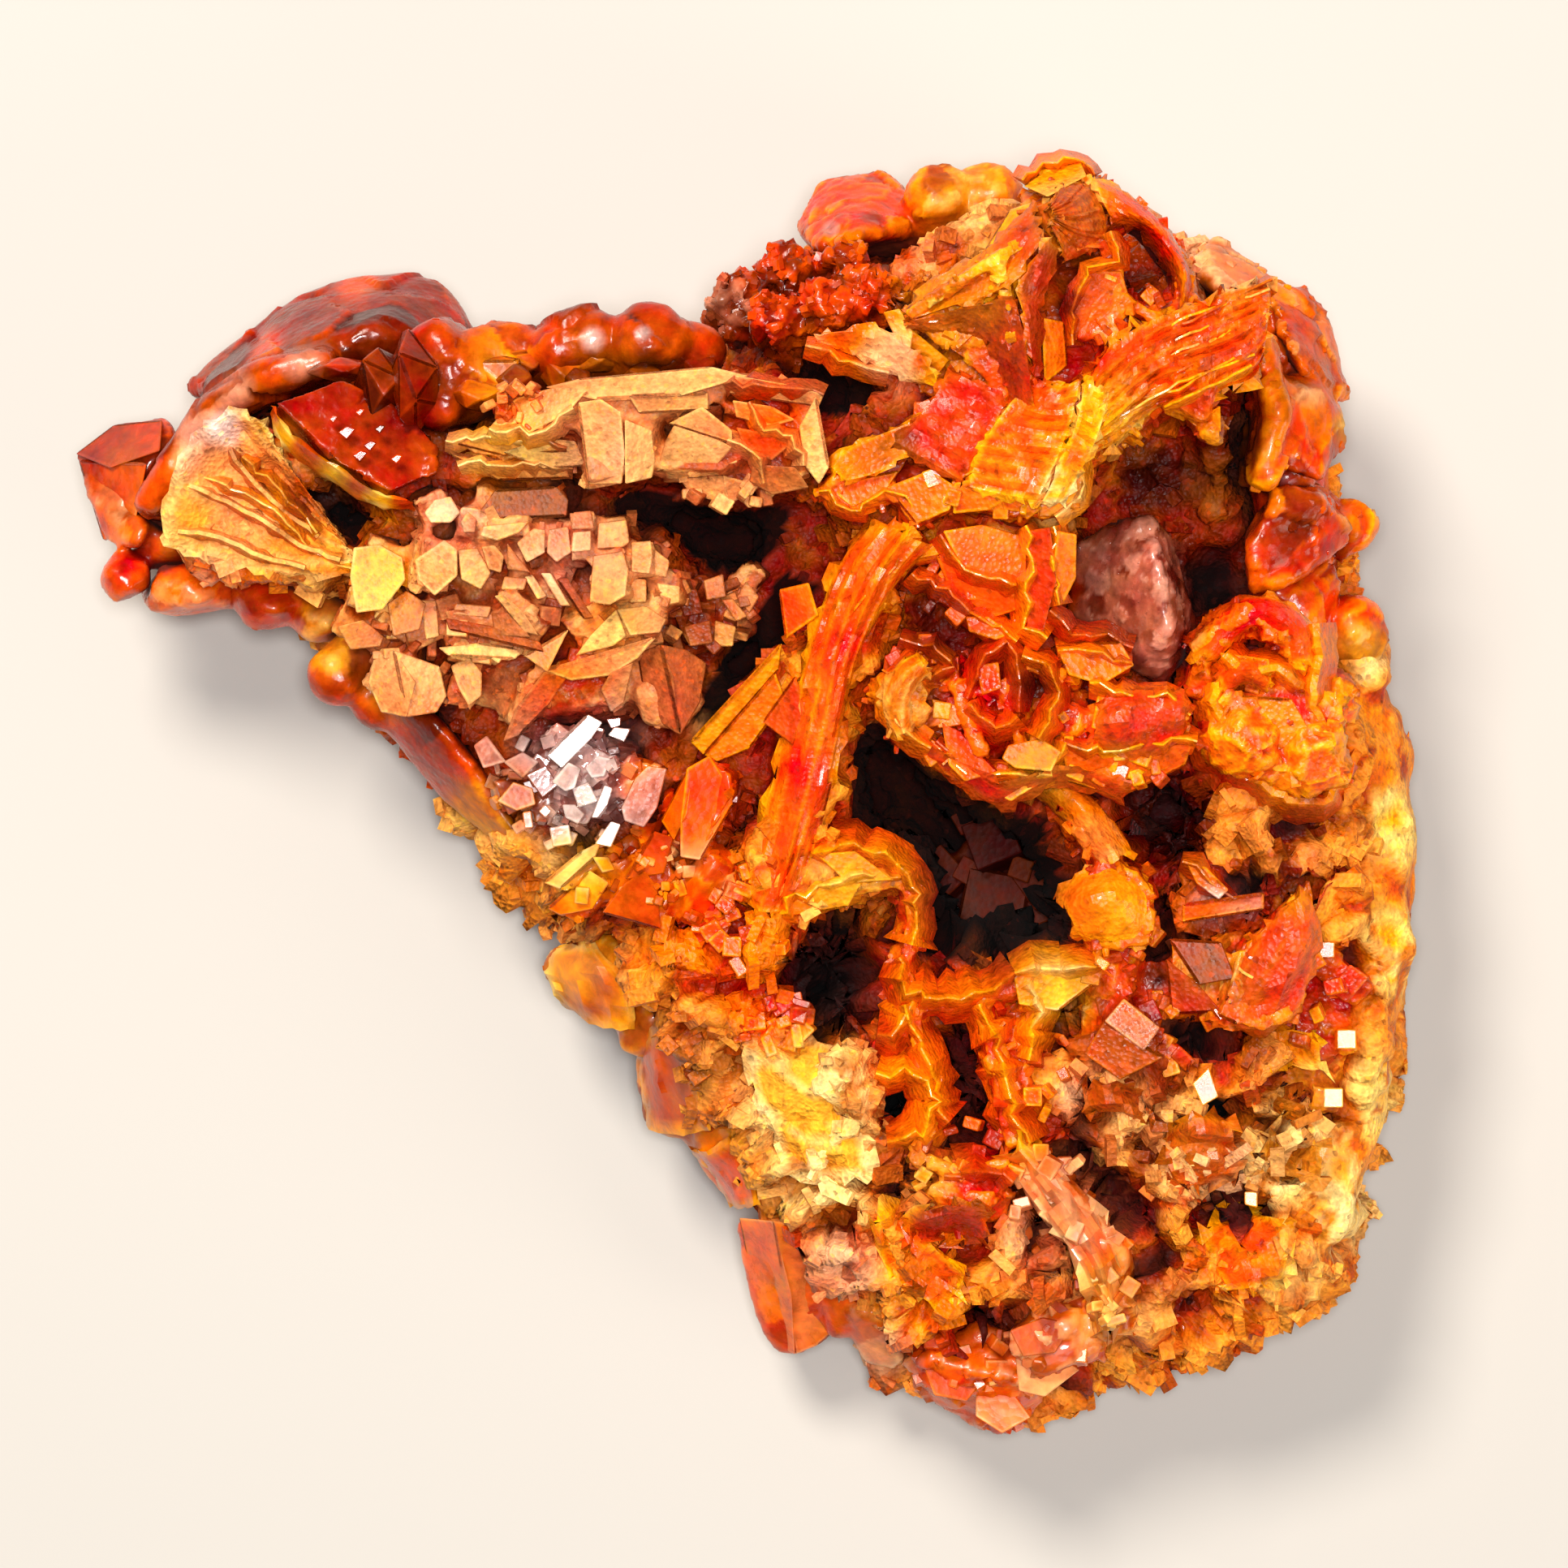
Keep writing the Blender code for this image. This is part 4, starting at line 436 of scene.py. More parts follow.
def store(mesh, name, values, kind="FLOAT"):
    """Keeps a value or a colour for each corner of a mesh."""
    if kind == "FLOAT_COLOR":
        layer = mesh.color_attributes.new(name, kind, "POINT")
        layer.data.foreach_set("color", np.ascontiguousarray(values, np.float32).ravel())
    else:
        layer = mesh.attributes.new(name, kind, "POINT")
        layer.data.foreach_set("value", np.ascontiguousarray(values, np.float32))


def fetch(mesh, name):
    """A stored value for each corner, or zeros."""
    values = np.zeros(len(mesh.vertices), np.float32)
    layer = mesh.attributes.get(name)
    if layer:
        layer.data.foreach_get("value", values)
    return values


# ---------------------------------------------------------------- geometry nodes


def add_node(tree, kind, feeds=None, **settings):
    """Adds a node to a tree with its settings, and gives its sockets values or links."""
    node = tree.nodes.new(kind)
    for key, value in settings.items():
        setattr(node, key, value)
    for socket, value in (feeds or {}).items():
        target = node.inputs[socket]
        if isinstance(value, bpy.types.NodeSocket):
            tree.links.new(value, target)
        else:
            target.default_value = value
    return node


def new_tree(name, inputs):
    """A geometry tree with named inputs, its input node and its output node."""
    tree = bpy.data.node_groups.new(name, "GeometryNodeTree")
    tree.interface.new_socket("Geometry", in_out="INPUT", socket_type="NodeSocketGeometry")
    for label, kind, value in inputs:
        socket = tree.interface.new_socket(label, in_out="INPUT", socket_type=kind)
        if value is not None:
            socket.default_value = value
    tree.interface.new_socket("Geometry", in_out="OUTPUT", socket_type="NodeSocketGeometry")
    return tree, add_node(tree, "NodeGroupInput"), add_node(tree, "NodeGroupOutput")


def run_tree(obj, tree, **values):
    """Runs a geometry tree on an object with some of its inputs set, and keeps the result."""
    mod = obj.modifiers.new(tree.name, "NODES")
    mod.node_group = tree
    sockets = {s.name: s.identifier for s in tree.interface.items_tree if s.in_out == "INPUT"}
    for label, value in values.items():
        mod[sockets[label.replace("_", " ").capitalize()]] = value
    settle(obj)


def maths(tree, operation, *values, **settings):
    """A sum on numbers."""
    feeds = dict(enumerate(values))
    return add_node(tree, "ShaderNodeMath", feeds, operation=operation, **settings).outputs[0]


def vectors(tree, operation, a, b):
    """A sum on vectors; a scaling's second value and a dot product's result are numbers."""
    feeds = {0: a, "Scale": b} if operation == "SCALE" else {0: a, 1: b}
    node = add_node(tree, "ShaderNodeVectorMath", feeds, operation=operation)
    return node.outputs["Value" if operation == "DOT_PRODUCT" else 0]


def span(tree, value, low, high, to_low, to_high, **settings):
    """One span of values stretched to another."""
    feeds = {"Value": value, "From Min": low, "From Max": high, "To Min": to_low, "To Max": to_high}
    return add_node(tree, "ShaderNodeMapRange", feeds, **settings).outputs["Result"]


def weathering_tree():
    """Cleaves a skin into stepped, tilted cells with walls between them, and roughens it.

    It keeps each corner's cell number, wall strength and mottling for the painting.
    """
    tree, given, out = new_tree("weathering", (
        ("Cell size", "NodeSocketFloat", 1.4),
        ("Step", "NodeSocketFloat", 0.3),
        ("Tilt", "NodeSocketFloat", 0.5),
        ("Wall height", "NodeSocketFloat", 0.0),
        ("Wall width", "NodeSocketFloat", 0.12),
        ("Warp", "NodeSocketFloat", 0.4),
        ("Grain size", "NodeSocketFloat", 0.5),
        ("Grain depth", "NodeSocketFloat", 0.1),
        ("Seed", "NodeSocketFloat", 0.0),
    ))
    g = given.outputs
    grey = (0.5, 0.5, 0.5)  # the middle of a random colour, taken off to centre it on zero
    place = add_node(tree, "GeometryNodeInputPosition").outputs["Position"]
    seed = add_node(tree, "ShaderNodeCombineXYZ", {0: g["Seed"], 1: g["Seed"], 2: 0.0}).outputs[0]
    moved = vectors(tree, "ADD", place, seed)
    # cells with crooked borders
    swirl = add_node(tree, "ShaderNodeTexNoise", {"Vector": moved, "Scale": 0.8, "Detail": 2.0})
    bend = vectors(tree, "SCALE", vectors(tree, "SUBTRACT", swirl.outputs["Color"], grey), g["Warp"])
    warped = vectors(tree, "ADD", moved, bend)
    division = {"Vector": warped, "Scale": maths(tree, "DIVIDE", 1.0, g["Cell size"])}
    cells = add_node(tree, "ShaderNodeTexVoronoi", division)
    rims = add_node(tree, "ShaderNodeTexVoronoi", division, feature="DISTANCE_TO_EDGE")
    # each cell is tilted its own way and stands at its own height
    lean = vectors(tree, "SUBTRACT", cells.outputs["Color"], grey)
    away = vectors(tree, "SUBTRACT", warped, cells.outputs["Position"])
    tilted = maths(tree, "MULTIPLY", vectors(tree, "DOT_PRODUCT", lean, away), g["Tilt"])
    chance = add_node(tree, "ShaderNodeSeparateXYZ", {0: cells.outputs["Color"]})
    level = maths(tree, "SUBTRACT", chance.outputs[0], 0.5)
    stepped = maths(tree, "MULTIPLY_ADD", level, g["Step"], tilted)
    # walls on the borders, and grain over all
    wall = span(
        tree, rims.outputs["Distance"], 0.0, g["Wall width"], 1.0, 0.0, interpolation_type="SMOOTHSTEP"
    )
    walled = maths(tree, "MULTIPLY_ADD", wall, g["Wall height"], stepped)
    fineness = maths(tree, "DIVIDE", 1.0, g["Grain size"])
    grain = add_node(
        tree, "ShaderNodeTexNoise", {"Vector": moved, "Scale": fineness, "Detail": 4.0, "Roughness": 0.6}
    )
    even = maths(tree, "SUBTRACT", grain.outputs[0], 0.5)
    height = maths(tree, "MULTIPLY_ADD", even, g["Grain depth"], walled)
    push = vectors(tree, "SCALE", add_node(tree, "GeometryNodeInputNormal").outputs[0], height)
    mottle = add_node(tree, "ShaderNodeTexNoise", {"Vector": moved, "Scale": 0.55, "Detail": 3.0})
    skin = g["Geometry"]
    for label, value in (("cell", chance.outputs[1]), ("wall", wall), ("mottle", mottle.outputs[0])):
        feeds = {"Geometry": skin, "Name": label, "Value": value}
        skin = add_node(tree, "GeometryNodeStoreNamedAttribute", feeds).outputs[0]
    placed = add_node(tree, "GeometryNodeSetPosition", {"Geometry": skin, "Offset": push})
    tree.links.new(placed.outputs[0], out.inputs[0])
    return tree


def druse_tree():
    """Grows small crystals on a skin: strewn at random, standing off it at random angles."""
    tree, given, out = new_tree("druse", (
        ("Crystals", "NodeSocketCollection", None),
        ("Density", "NodeSocketFloat", 1.0),
        ("Smallest", "NodeSocketFloat", 0.5),
        ("Largest", "NodeSocketFloat", 1.0),
        ("Lean", "NodeSocketFloat", 0.6),
        ("Bury", "NodeSocketFloat", 0.1),
        ("Seed", "NodeSocketInt", 1),
        ("Material", "NodeSocketMaterial", None),
    ))
    g = given.outputs
    mask = add_node(
        tree, "GeometryNodeInputNamedAttribute", {"Name": "grow"}, data_type="FLOAT"
    ).outputs[0]
    strewn = add_node(
        tree, "GeometryNodeDistributePointsOnFaces",
        {
            "Mesh": g["Geometry"], "Density": maths(tree, "MULTIPLY", mask, g["Density"]),
            "Seed": g["Seed"],
        },
    )
    sizes = add_node(
        tree, "FunctionNodeRandomValue",
        {2: g["Smallest"], 3: g["Largest"], "Seed": g["Seed"]}, data_type="FLOAT",
    ).outputs[1]
    # each crystal leans a little either way, and is turned to any side
    back = maths(tree, "MULTIPLY", g["Lean"], -1.0)
    low = add_node(tree, "ShaderNodeCombineXYZ", {0: back, 1: back, 2: -3.14}).outputs[0]
    high = add_node(tree, "ShaderNodeCombineXYZ", {0: g["Lean"], 1: g["Lean"], 2: 3.14}).outputs[0]
    tip = add_node(
        tree, "FunctionNodeRandomValue", {0: low, 1: high, "Seed": g["Seed"]}, data_type="FLOAT_VECTOR"
    ).outputs[0]
    turned = add_node(
        tree, "FunctionNodeRotateRotation",
        {0: strewn.outputs["Rotation"], 1: tip}, rotation_space="LOCAL",
    ).outputs[0]
    sunk = vectors(tree, "SCALE", vectors(tree, "SCALE", strewn.outputs["Normal"], g["Bury"]), -1.0)
    seats = {"Geometry": strewn.outputs["Points"], "Offset": sunk}
    kinds = add_node(
        tree, "GeometryNodeCollectionInfo",
        {"Collection": g["Crystals"], "Separate Children": True, "Reset Children": True},
    ).outputs[0]
    grown = add_node(tree, "GeometryNodeInstanceOnPoints", {
        "Points": add_node(tree, "GeometryNodeSetPosition", seats).outputs[0],
        "Instance": kinds, "Pick Instance": True, "Rotation": turned, "Scale": sizes,
    }).outputs[0]
    chance = add_node(tree, "FunctionNodeRandomValue", {"Seed": g["Seed"]}, data_type="FLOAT").outputs[1]
    marked = add_node(
        tree, "GeometryNodeStoreNamedAttribute",
        {"Geometry": grown, "Name": "cell", "Value": chance}, domain="INSTANCE",
    ).outputs[0]
    real = add_node(tree, "GeometryNodeRealizeInstances", {0: marked}).outputs[0]
    dressed = {"Geometry": real, "Material": g["Material"]}
    tree.links.new(add_node(tree, "GeometryNodeSetMaterial", dressed).outputs[0], out.inputs[0])
    return tree


def crystal_kinds(name, kinds):
    """Small crystals to strew, each with a corner amid every face so that its rim can be painted paler as
    a highlight.
    """
    chosen = bpy.data.collections.new(name)
    for number, pieces in enumerate(kinds):
        bm = shells(pieces)
        bm.normal_update()
        bmesh.ops.dissolve_limit(bm, angle_limit=0.05, verts=bm.verts, edges=bm.edges)
        corners = set(bm.verts)
        bmesh.ops.poke(bm, faces=bm.faces)
        rim = np.array([float(v in corners) for v in bm.verts])
        mesh = bpy.data.meshes.new(f"{name}_{number}")
        bm.to_mesh(mesh)
        bm.free()
        store(mesh, "rim", rim)
        chosen.objects.link(bpy.data.objects.new(mesh.name, mesh))
    return chosen


# ---------------------------------------------------------------- light reaching each place

LENS = (0.0012, 0.00065, 0.22)  # where the camera looks from, in metres
LAMP = (0.004, 0.004, 0.30)  # the small light above it
EVERY = 7  # one corner in so many is tested for open sky
SKY_RAYS = 18  # to half a ball of directions
SKY_REACH = 16.0  # how far a ray looks for something in its way
SKIN_GAP = 0.35  # how far off the skin it starts


def sky_directions():
    """Directions spread evenly over a whole ball."""
    k = np.arange(SKY_RAYS * 2) + 0.5
    z = 1 - k / SKY_RAYS
    around = GOLDEN * k
    flat = np.sqrt(1 - z * z)
    return np.column_stack([np.cos(around) * flat, np.sin(around) * flat, z])


def packed_tree():
    """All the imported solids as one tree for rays, in millimetres on the layout."""
    bm = solid_of(*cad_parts)
    tree = BVHTree.FromBMesh(bm)
    bm.free()
    return tree


def openness(co, normal, pairs):
    """How much open space each corner sees, from 0 in the bottom of a pit to 1 on a free face."""
    count = len(co)
    picked = np.arange(0, count, EVERY)
    facing = np.clip(normal[picked] @ SKY.T, 0, None)
    facing[facing < 0.12] = 0
    seen = np.zeros(count)
    known = np.zeros(count)
    starts = co[picked] + normal[picked] * SKIN_GAP
    cast = PACKED.ray_cast
    rays = [Vector(d) for d in SKY]
    for n, i in enumerate(picked):
        origin = Vector(starts[n])
        total, free = 1e-6, 0.0
        for k in np.flatnonzero(facing[n]):
            weight = facing[n, k]
            total += weight
            if cast(origin, rays[k], SKY_REACH)[0] is None:
                free += weight
        seen[i] = free / total
        known[i] = 1.0
    summed = spread(np.column_stack([seen, known]), pairs, count, 6)
    return summed[:, 0] / summed[:, 1].clip(1e-4)


# ---------------------------------------------------------------- painting


def smooth(values, low, high):
    """A soft step from 0 at low to 1 at high."""
    t = ((values - low) / (high - low)).clip(0, 1)
    return t * t * (3 - 2 * t)


# where each finish is strongest: x, y, radius
SPOTS = {
    "pink plate": (
        (-19.4, 9.7, 0.9), (-16.9, 10.6, 0.6), (-4.2, 10.8, 0.9), (-8.6, 8.8, 1.0), (-5.4, 7.6, 1.4),
        (-1.6, -1.6, 0.8), (-0.6, -2.4, 0.5), (4.4, 13.4, 1.0), (13.4, 13.6, 0.8), (14.6, 16.6, 1.4),
        (17.2, 12.6, 0.8), (2.9, -14.2, 1.1), (9.6, -12.4, 1.8), (8.8, -16.8, 1.3), (4.2, -16.9, 1.0),
        (10.2, 17.4, 0.9), (10.4, -9.0, 0.9), (14.6, -11.0, 1.0),
    ),
    "deep red": (
        (-20.2, 11.3, 1.6), (-13.5, 15.0, 2.2), (-10.6, 15.2, 1.8), (-16.4, 13.4, 1.4),
        (-10.0, 12.6, 1.5), (-8.6, 13.0, 1.2), (-3.4, 13.8, 1.6), (-5.6, 13.2, 1.0),
    ),
    "glassy red": (
        (-18.6, 11.5, 1.0), (-18.9, 7.2, 1.0), (-10.0, 1.6, 1.6), (2.6, 15.2, 1.7), (12.2, 16.0, 0.8),
        (17.2, 8.4, 1.3), (14.6, 6.8, 1.2), (2.6, -14.6, 0.6), (-20.2, 8.8, 0.7), (-18.2, 9.6, 0.8),
    ),
    "bright red": (
        (-12.0, 16.2, 0.8), (-14.6, 14.2, 0.7), (-14.6, 6.3, 1.1), (-6.8, 11.9, 1.0), (-1.2, 0.0, 1.1),
        (-0.9, -3.6, 1.7), (2.9, 5.0, 0.8), (1.7, 1.2, 0.8), (1.3, 6.0, 0.8), (3.4, 18.4, 1.6),
        (12.0, 17.4, 1.4), (10.6, 13.2, 0.7), (17.0, 11.4, 1.3), (15.4, 5.2, 1.3), (6.8, 6.6, 1.4),
        (7.6, 2.8, 1.4), (18.4, -5.2, 0.9), (0.9, -6.4, 1.1), (0.2, -4.9, 1.0), (7.0, -12.2, 1.3),
    ),
    "yellow rim": (
        (-13.9, 11.3, 0.4), (-12.4, 10.0, 0.4), (-11.0, 9.2, 0.4), (-16.6, 8.9, 0.5), (-14.4, 9.4, 0.4),
        (-11.0, 6.9, 1.1), (-7.0, 10.7, 1.4), (6.6, 15.0, 1.8), (7.4, 15.2, 1.0), (11.0, 11.8, 1.2),
        (11.2, 1.6, 0.6), (11.4, -3.1, 0.9), (16.9, -3.0, 0.5), (20.2, -0.5, 1.1), (20.0, -4.5, 1.2),
        (19.4, -9.0, 1.2),
    ),
    "purple grey": (
        (-16.6, 11.4, 0.8), (-15.6, 12.9, 0.8), (-13.4, 13.7, 0.9), (-0.6, 15.4, 0.9), (12.4, 6.6, 2.0),
        (11.8, -7.0, 1.1),
    ),
    "tan plate": (
        (-15.4, 9.4, 1.9), (-4.0, 12.5, 1.8), (-1.6, 10.9, 1.0), (-6.4, 9.3, 1.3), (-3.6, 7.4, 1.1),
        (-8.4, 6.9, 1.2), (-7.0, 5.2, 1.8), (-10.4, 3.9, 1.2), (-2.2, 3.6, 1.1), (-0.8, 3.0, 0.9),
        (6.6, 18.6, 1.4), (9.8, 17.6, 1.4), (5.0, 3.2, 1.1), (15.2, -5.2, 0.8), (14.0, -5.0, 1.2),
        (11.8, -8.8, 1.7), (13.4, -10.6, 1.4), (11.2, -15.2, 1.4), (11.4, 12.6, 1.0),
    ),
    "brown red": (
        (-16.2, 9.5, 0.35), (-15.2, 8.9, 0.35), (-14.2, 8.3, 0.35), (-13.2, 7.8, 0.35),
        (-14.6, 10.2, 0.7), (-7.4, 13.1, 1.4), (-1.0, 5.8, 1.2), (-6.6, 0.4, 1.0), (4.4, 10.8, 0.9),
        (15.0, 11.0, 1.3), (13.2, -0.6, 1.4), (16.6, -1.0, 1.6), (13.2, -14.8, 1.0), (-4.4, -5.4, 0.7),
        (-5.0, -6.3, 0.7), (-2.3, -8.4, 2.3), (1.4, -14.2, 0.9), (16.2, -7.6, 1.0),
    ),
    # silver: the rod's own colour, and painted highlights on the mirror cluster and glossy red crystals
    "silver": (
        (-15.8, 11.5, 0.55), (-4.5, 14.1, 0.4), (-3.0, 14.3, 0.3), (-4.9, 1.2, 1.9), (2.7, 17.7, 0.35),
        (14.4, -3.1, 0.55), (15.4, -2.9, 0.45),
    ),
    "ochre crust": (
        (-13.2, 7.6, 1.3), (-17.0, 8.4, 1.1), (-12.6, 5.2, 1.0), (-4.4, 5.6, 1.2), (-8.4, -0.4, 1.2),
        (9.0, 1.2, 1.0), (17.8, -8.6, 1.2), (17.0, -14.6, 1.0), (3.4, -2.6, 1.3), (5.6, -11.4, 1.2),
        (-5.2, -5.0, 1.4), (14.4, 10.0, 1.0),
    ),
    "salmon": (
        (-17.0, 6.8, 1.4), (-3.2, -2.2, 1.2), (2.2, 14.0, 0.7), (5.2, 16.6, 0.9), (17.4, 14.4, 1.9),
        (10.6, -1.0, 1.1), (7.2, -18.6, 1.6), (1.6, -15.2, 1.8),
    ),
    # painted shade: crystals deep in hollows
    "pocket shade": (
        (-12.6, 9.4, 0.9), (7.7, -2.6, 2.4),
    ),
    # spots of painted shade on hollows
    "recess shade": (
        (-13.5, 9.7, 0.7), (9.8, 15.0, 0.4), (5.3, 13.4, 0.4), (6.5, 17.1, 0.6), (12.6, 10.2, 1.1),
        (6.0, 5.9, 1.3), (8.7, 3.6, 0.6), (15.3, 3.4, 0.6), (12.7, -5.2, 0.4), (2.5, -5.4, 1.1),
        (-8.2, 6.0, 0.8), (-5.8, 5.8, 0.6), (12.4, -10.4, 0.8),
    ),
    "orange blade": (
        (0.8, 11.6, 1.2), (-5.4, 3.9, 1.4), (-3.2, 0.9, 0.8), (2.4, -0.5, 0.9), (2.4, 3.2, 1.2),
        (3.8, 6.6, 1.3), (8.2, 14.0, 1.2), (12.6, 13.6, 2.2), (7.0, 11.2, 1.0), (7.6, 9.2, 1.6),
        (18.9, 9.2, 0.8), (16.4, 2.4, 1.8), (10.6, 2.6, 1.4), (12.6, 2.0, 1.2), (9.2, 6.6, 0.9),
        (11.2, -3.0, 1.3), (16.4, -4.4, 1.4), (15.0, -13.8, 1.2), (5.4, -5.2, 1.3), (5.2, -8.8, 1.0),
        (7.4, -6.4, 1.2), (8.4, -9.4, 1.2), (5.4, -15.6, 1.4), (-2.6, -7.4, 0.6), (-0.6, -11.6, 1.2),
    ),
    "cream crust": (
        (-5.0, -1.8, 1.1), (9.4, 9.4, 0.8), (19.0, 4.8, 0.9), (18.4, 11.6, 0.6), (7.4, 7.6, 0.8),
        (9.6, -5.6, 1.2), (18.6, -12.6, 1.3), (16.6, -10.6, 1.7), (1.8, -8.4, 1.8), (2.4, -11.0, 1.6),
    ),
}


def palette(co, mottle, base):
    """Blends the finishes near each corner into its colours of face, of rim (a painted highlight) and of
    hollows (a painted shade), and its gloss.
    """
    looks = list(LOOKS)
    weight = np.zeros((len(co), len(looks)))
    weight[:, looks.index(base)] = 0.16
    stretch = 0.72 + 0.56 * mottle
    for k, look in enumerate(looks):
        for x, y, radius in SPOTS.get(look, ()):
            away = np.hypot(co[:, 0] - x, co[:, 1] - y) * stretch / (radius * 0.85)
            weight[:, k] += np.exp(-away**2 * 1.3)
    weight = weight**1.6
    weight /= weight.sum(axis=1)[:, None]
    parts = []
    for slot in range(3):
        parts.append(weight @ np.array([linear(LOOKS[name][slot])[:3] for name in looks]))
    parts.append(weight @ np.array([LOOKS[name][3] for name in looks]))
    return parts


# open cavities that no light comes out of, painted black as their shade: an outline, and the height below
# which they are black
PITS = (
    ([(-5.4, 9.9), (-2.8, 9.8), (-0.5, 9.1), (1.4, 9.4), (1.3, 8.3), (0.2, 7.1), (-0.9, 7.2), (-2.3, 8.5),
      (-3.7, 8.8)], 9.4),
    ([(2.3, 6.9), (1.3, 7.3), (-0.2, 5.4), (-1.6, 2.9), (-1.1, 2.2), (0.8, 3.9)], 10.0),
    ([(3.2, 3.2), (4.4, 2.5), (6.0, 1.1), (7.9, 0.0), (9.4, -0.3), (10.2, -2.6), (10.0, -4.8), (
        5.4, -4.7,
    ),
      (5.0, -1.8), (2.4, -0.9), (2.9, 1.2)], 9.6),
    ([(0.9, -3.6), (3.9, -3.2), (4.2, -5.6), (4.7, -7.3), (3.4, -7.7), (2.1, -6.9), (1.9, -5.5),
      (0.9, -5.0)], 7.0),
    ([(4.2, -8.2), (5.4, -8.3), (5.8, -9.1), (5.2, -9.9), (4.2, -9.85), (4.0, -9.0)], 8.0),
    ([(-14.4, 11.7), (-13.6, 10.9), (-11.1, 9.3), (-10.7, 8.6), (-12.0, 7.5), (-12.8, 7.8), (-13.4, 8.8),
      (-14.4, 10.5)], 7.6),
    ([(0.7, 12.9), (1.9, 13.9), (4.1, 13.3), (4.7, 12.8), (4.3, 12.0), (2.3, 12.1)], 10.0),
    ([(13.4, 8.1), (14.6, 8.2), (15.9, 6.3), (14.9, 5.4), (14.1, 5.2)], 7.6),
    ([(14.2, -2.0), (16.3, -1.9), (16.2, -2.8), (14.0, -2.7)], 8.4),
    ([(13.0, -6.7), (14.4, -6.7), (14.3, -7.8), (13.2, -7.7)], 8.0),
    ([(13.8, -8.9), (15.1, -8.9), (14.9, -9.8), (13.8, -9.8)], 8.0),
)


# hollows sunk in the rock: middle, half widths, turn in degrees, depth, and how black they are painted as
# shade
CRATERS = (
    (4.85, -9.1, 0.85, 0.85, 0, 4.0, 1.0), (6.9, -8.6, 0.75, 1.9, 12, 2.4, 0.5),
    (2.6, -5.4, 1.7, 1.9, 20, 2.6, 0.7),
    (13.8, -7.2, 0.9, 0.65, 0, 2.4, 0.9), (14.5, -9.4, 0.85, 0.55, 0, 2.6, 1.0),
    (11.1, -11.3, 0.45, 1.9, 34, 2.2, 0.7),
    (15.2, -12.5, 1.3, 0.9, 0, 2.6, 0.8), (9.1, -13.2, 0.5, 0.5, 0, 2.4, 0.9),
    (4.5, -11.8, 0.5, 0.45, 0, 2.0, 0.8),
    (7.5, -16.3, 1.3, 1.1, 20, 2.2, 0.4), (5.8, -14.5, 0.85, 0.6, 0, 1.8, 0.5),
    (9.2, -14.6, 0.5, 0.5, 0, 1.6, 0.5),
    (17.6, -6.6, 0.9, 1.3, 0, 2.2, 0.6), (12.8, -4.2, 0.4, 1.9, 5, 1.8, 0.4),
    (15.2, -2.4, 1.1, 0.5, 0, 2.4, 0.9),
    (12.9, -0.2, 1.4, 1.6, 0, 1.6, 0.2), (16.2, -9.9, 0.6, 0.5, 0, 1.2, 0.5),
    (12.4, -12.6, 0.6, 0.7, 20, 1.4, 0.5),
    (3.0, -12.9, 0.6, 0.5, 0, 1.2, 0.3), (6.4, -5.9, 0.4, 0.4, 0, 1.4, 0.5),
)


def craters(co):
    """How far each corner lies in a hollow of the rock, that hollow's depth, and how black it is painted
    as shade.
    """
    inside, deep, black = np.zeros(len(co)), np.zeros(len(co)), np.zeros(len(co))
    for x, y, wide, high, turn, depth, dark in CRATERS:
        a = math.radians(turn)
        dx, dy = co[:, 0] - x, co[:, 1] - y
        away = np.hypot(
            (dx * math.cos(a) + dy * math.sin(a)) / wide, (dy * math.cos(a) - dx * math.sin(a)) / high,
        )
        away += 0.16 * np.sin(dx * 5.1 + y) * np.sin(dy * 4.3 + x)
        share = 1 - smooth(away, 0.72, 1.08)
        deep = np.where(share > inside, depth, deep)
        black = np.where(share > inside, dark, black)
        inside = np.maximum(inside, share)
    return inside, deep, black


def pit_shade(co):
    """How black each corner is painted, as shade, for lying deep in one of the open cavities."""
    black = np.zeros(len(co))
    for outline, height in PITS:
        ring = np.array(outline)
        inside = np.zeros(len(co), bool)
        for a, b in zip(ring, np.roll(ring, -1, axis=0)):
            cross = (co[:, 1] < a[1]) != (co[:, 1] < b[1])
            rise = np.where(b[1] == a[1], 1e-9, b[1] - a[1])
            inside ^= cross & (co[:, 0] < a[0] + (co[:, 1] - a[1]) / rise * (b[0] - a[0]))
        black = np.maximum(black, inside * smooth(height - co[:, 2], 0.0, 1.6))
    return black * 0.96


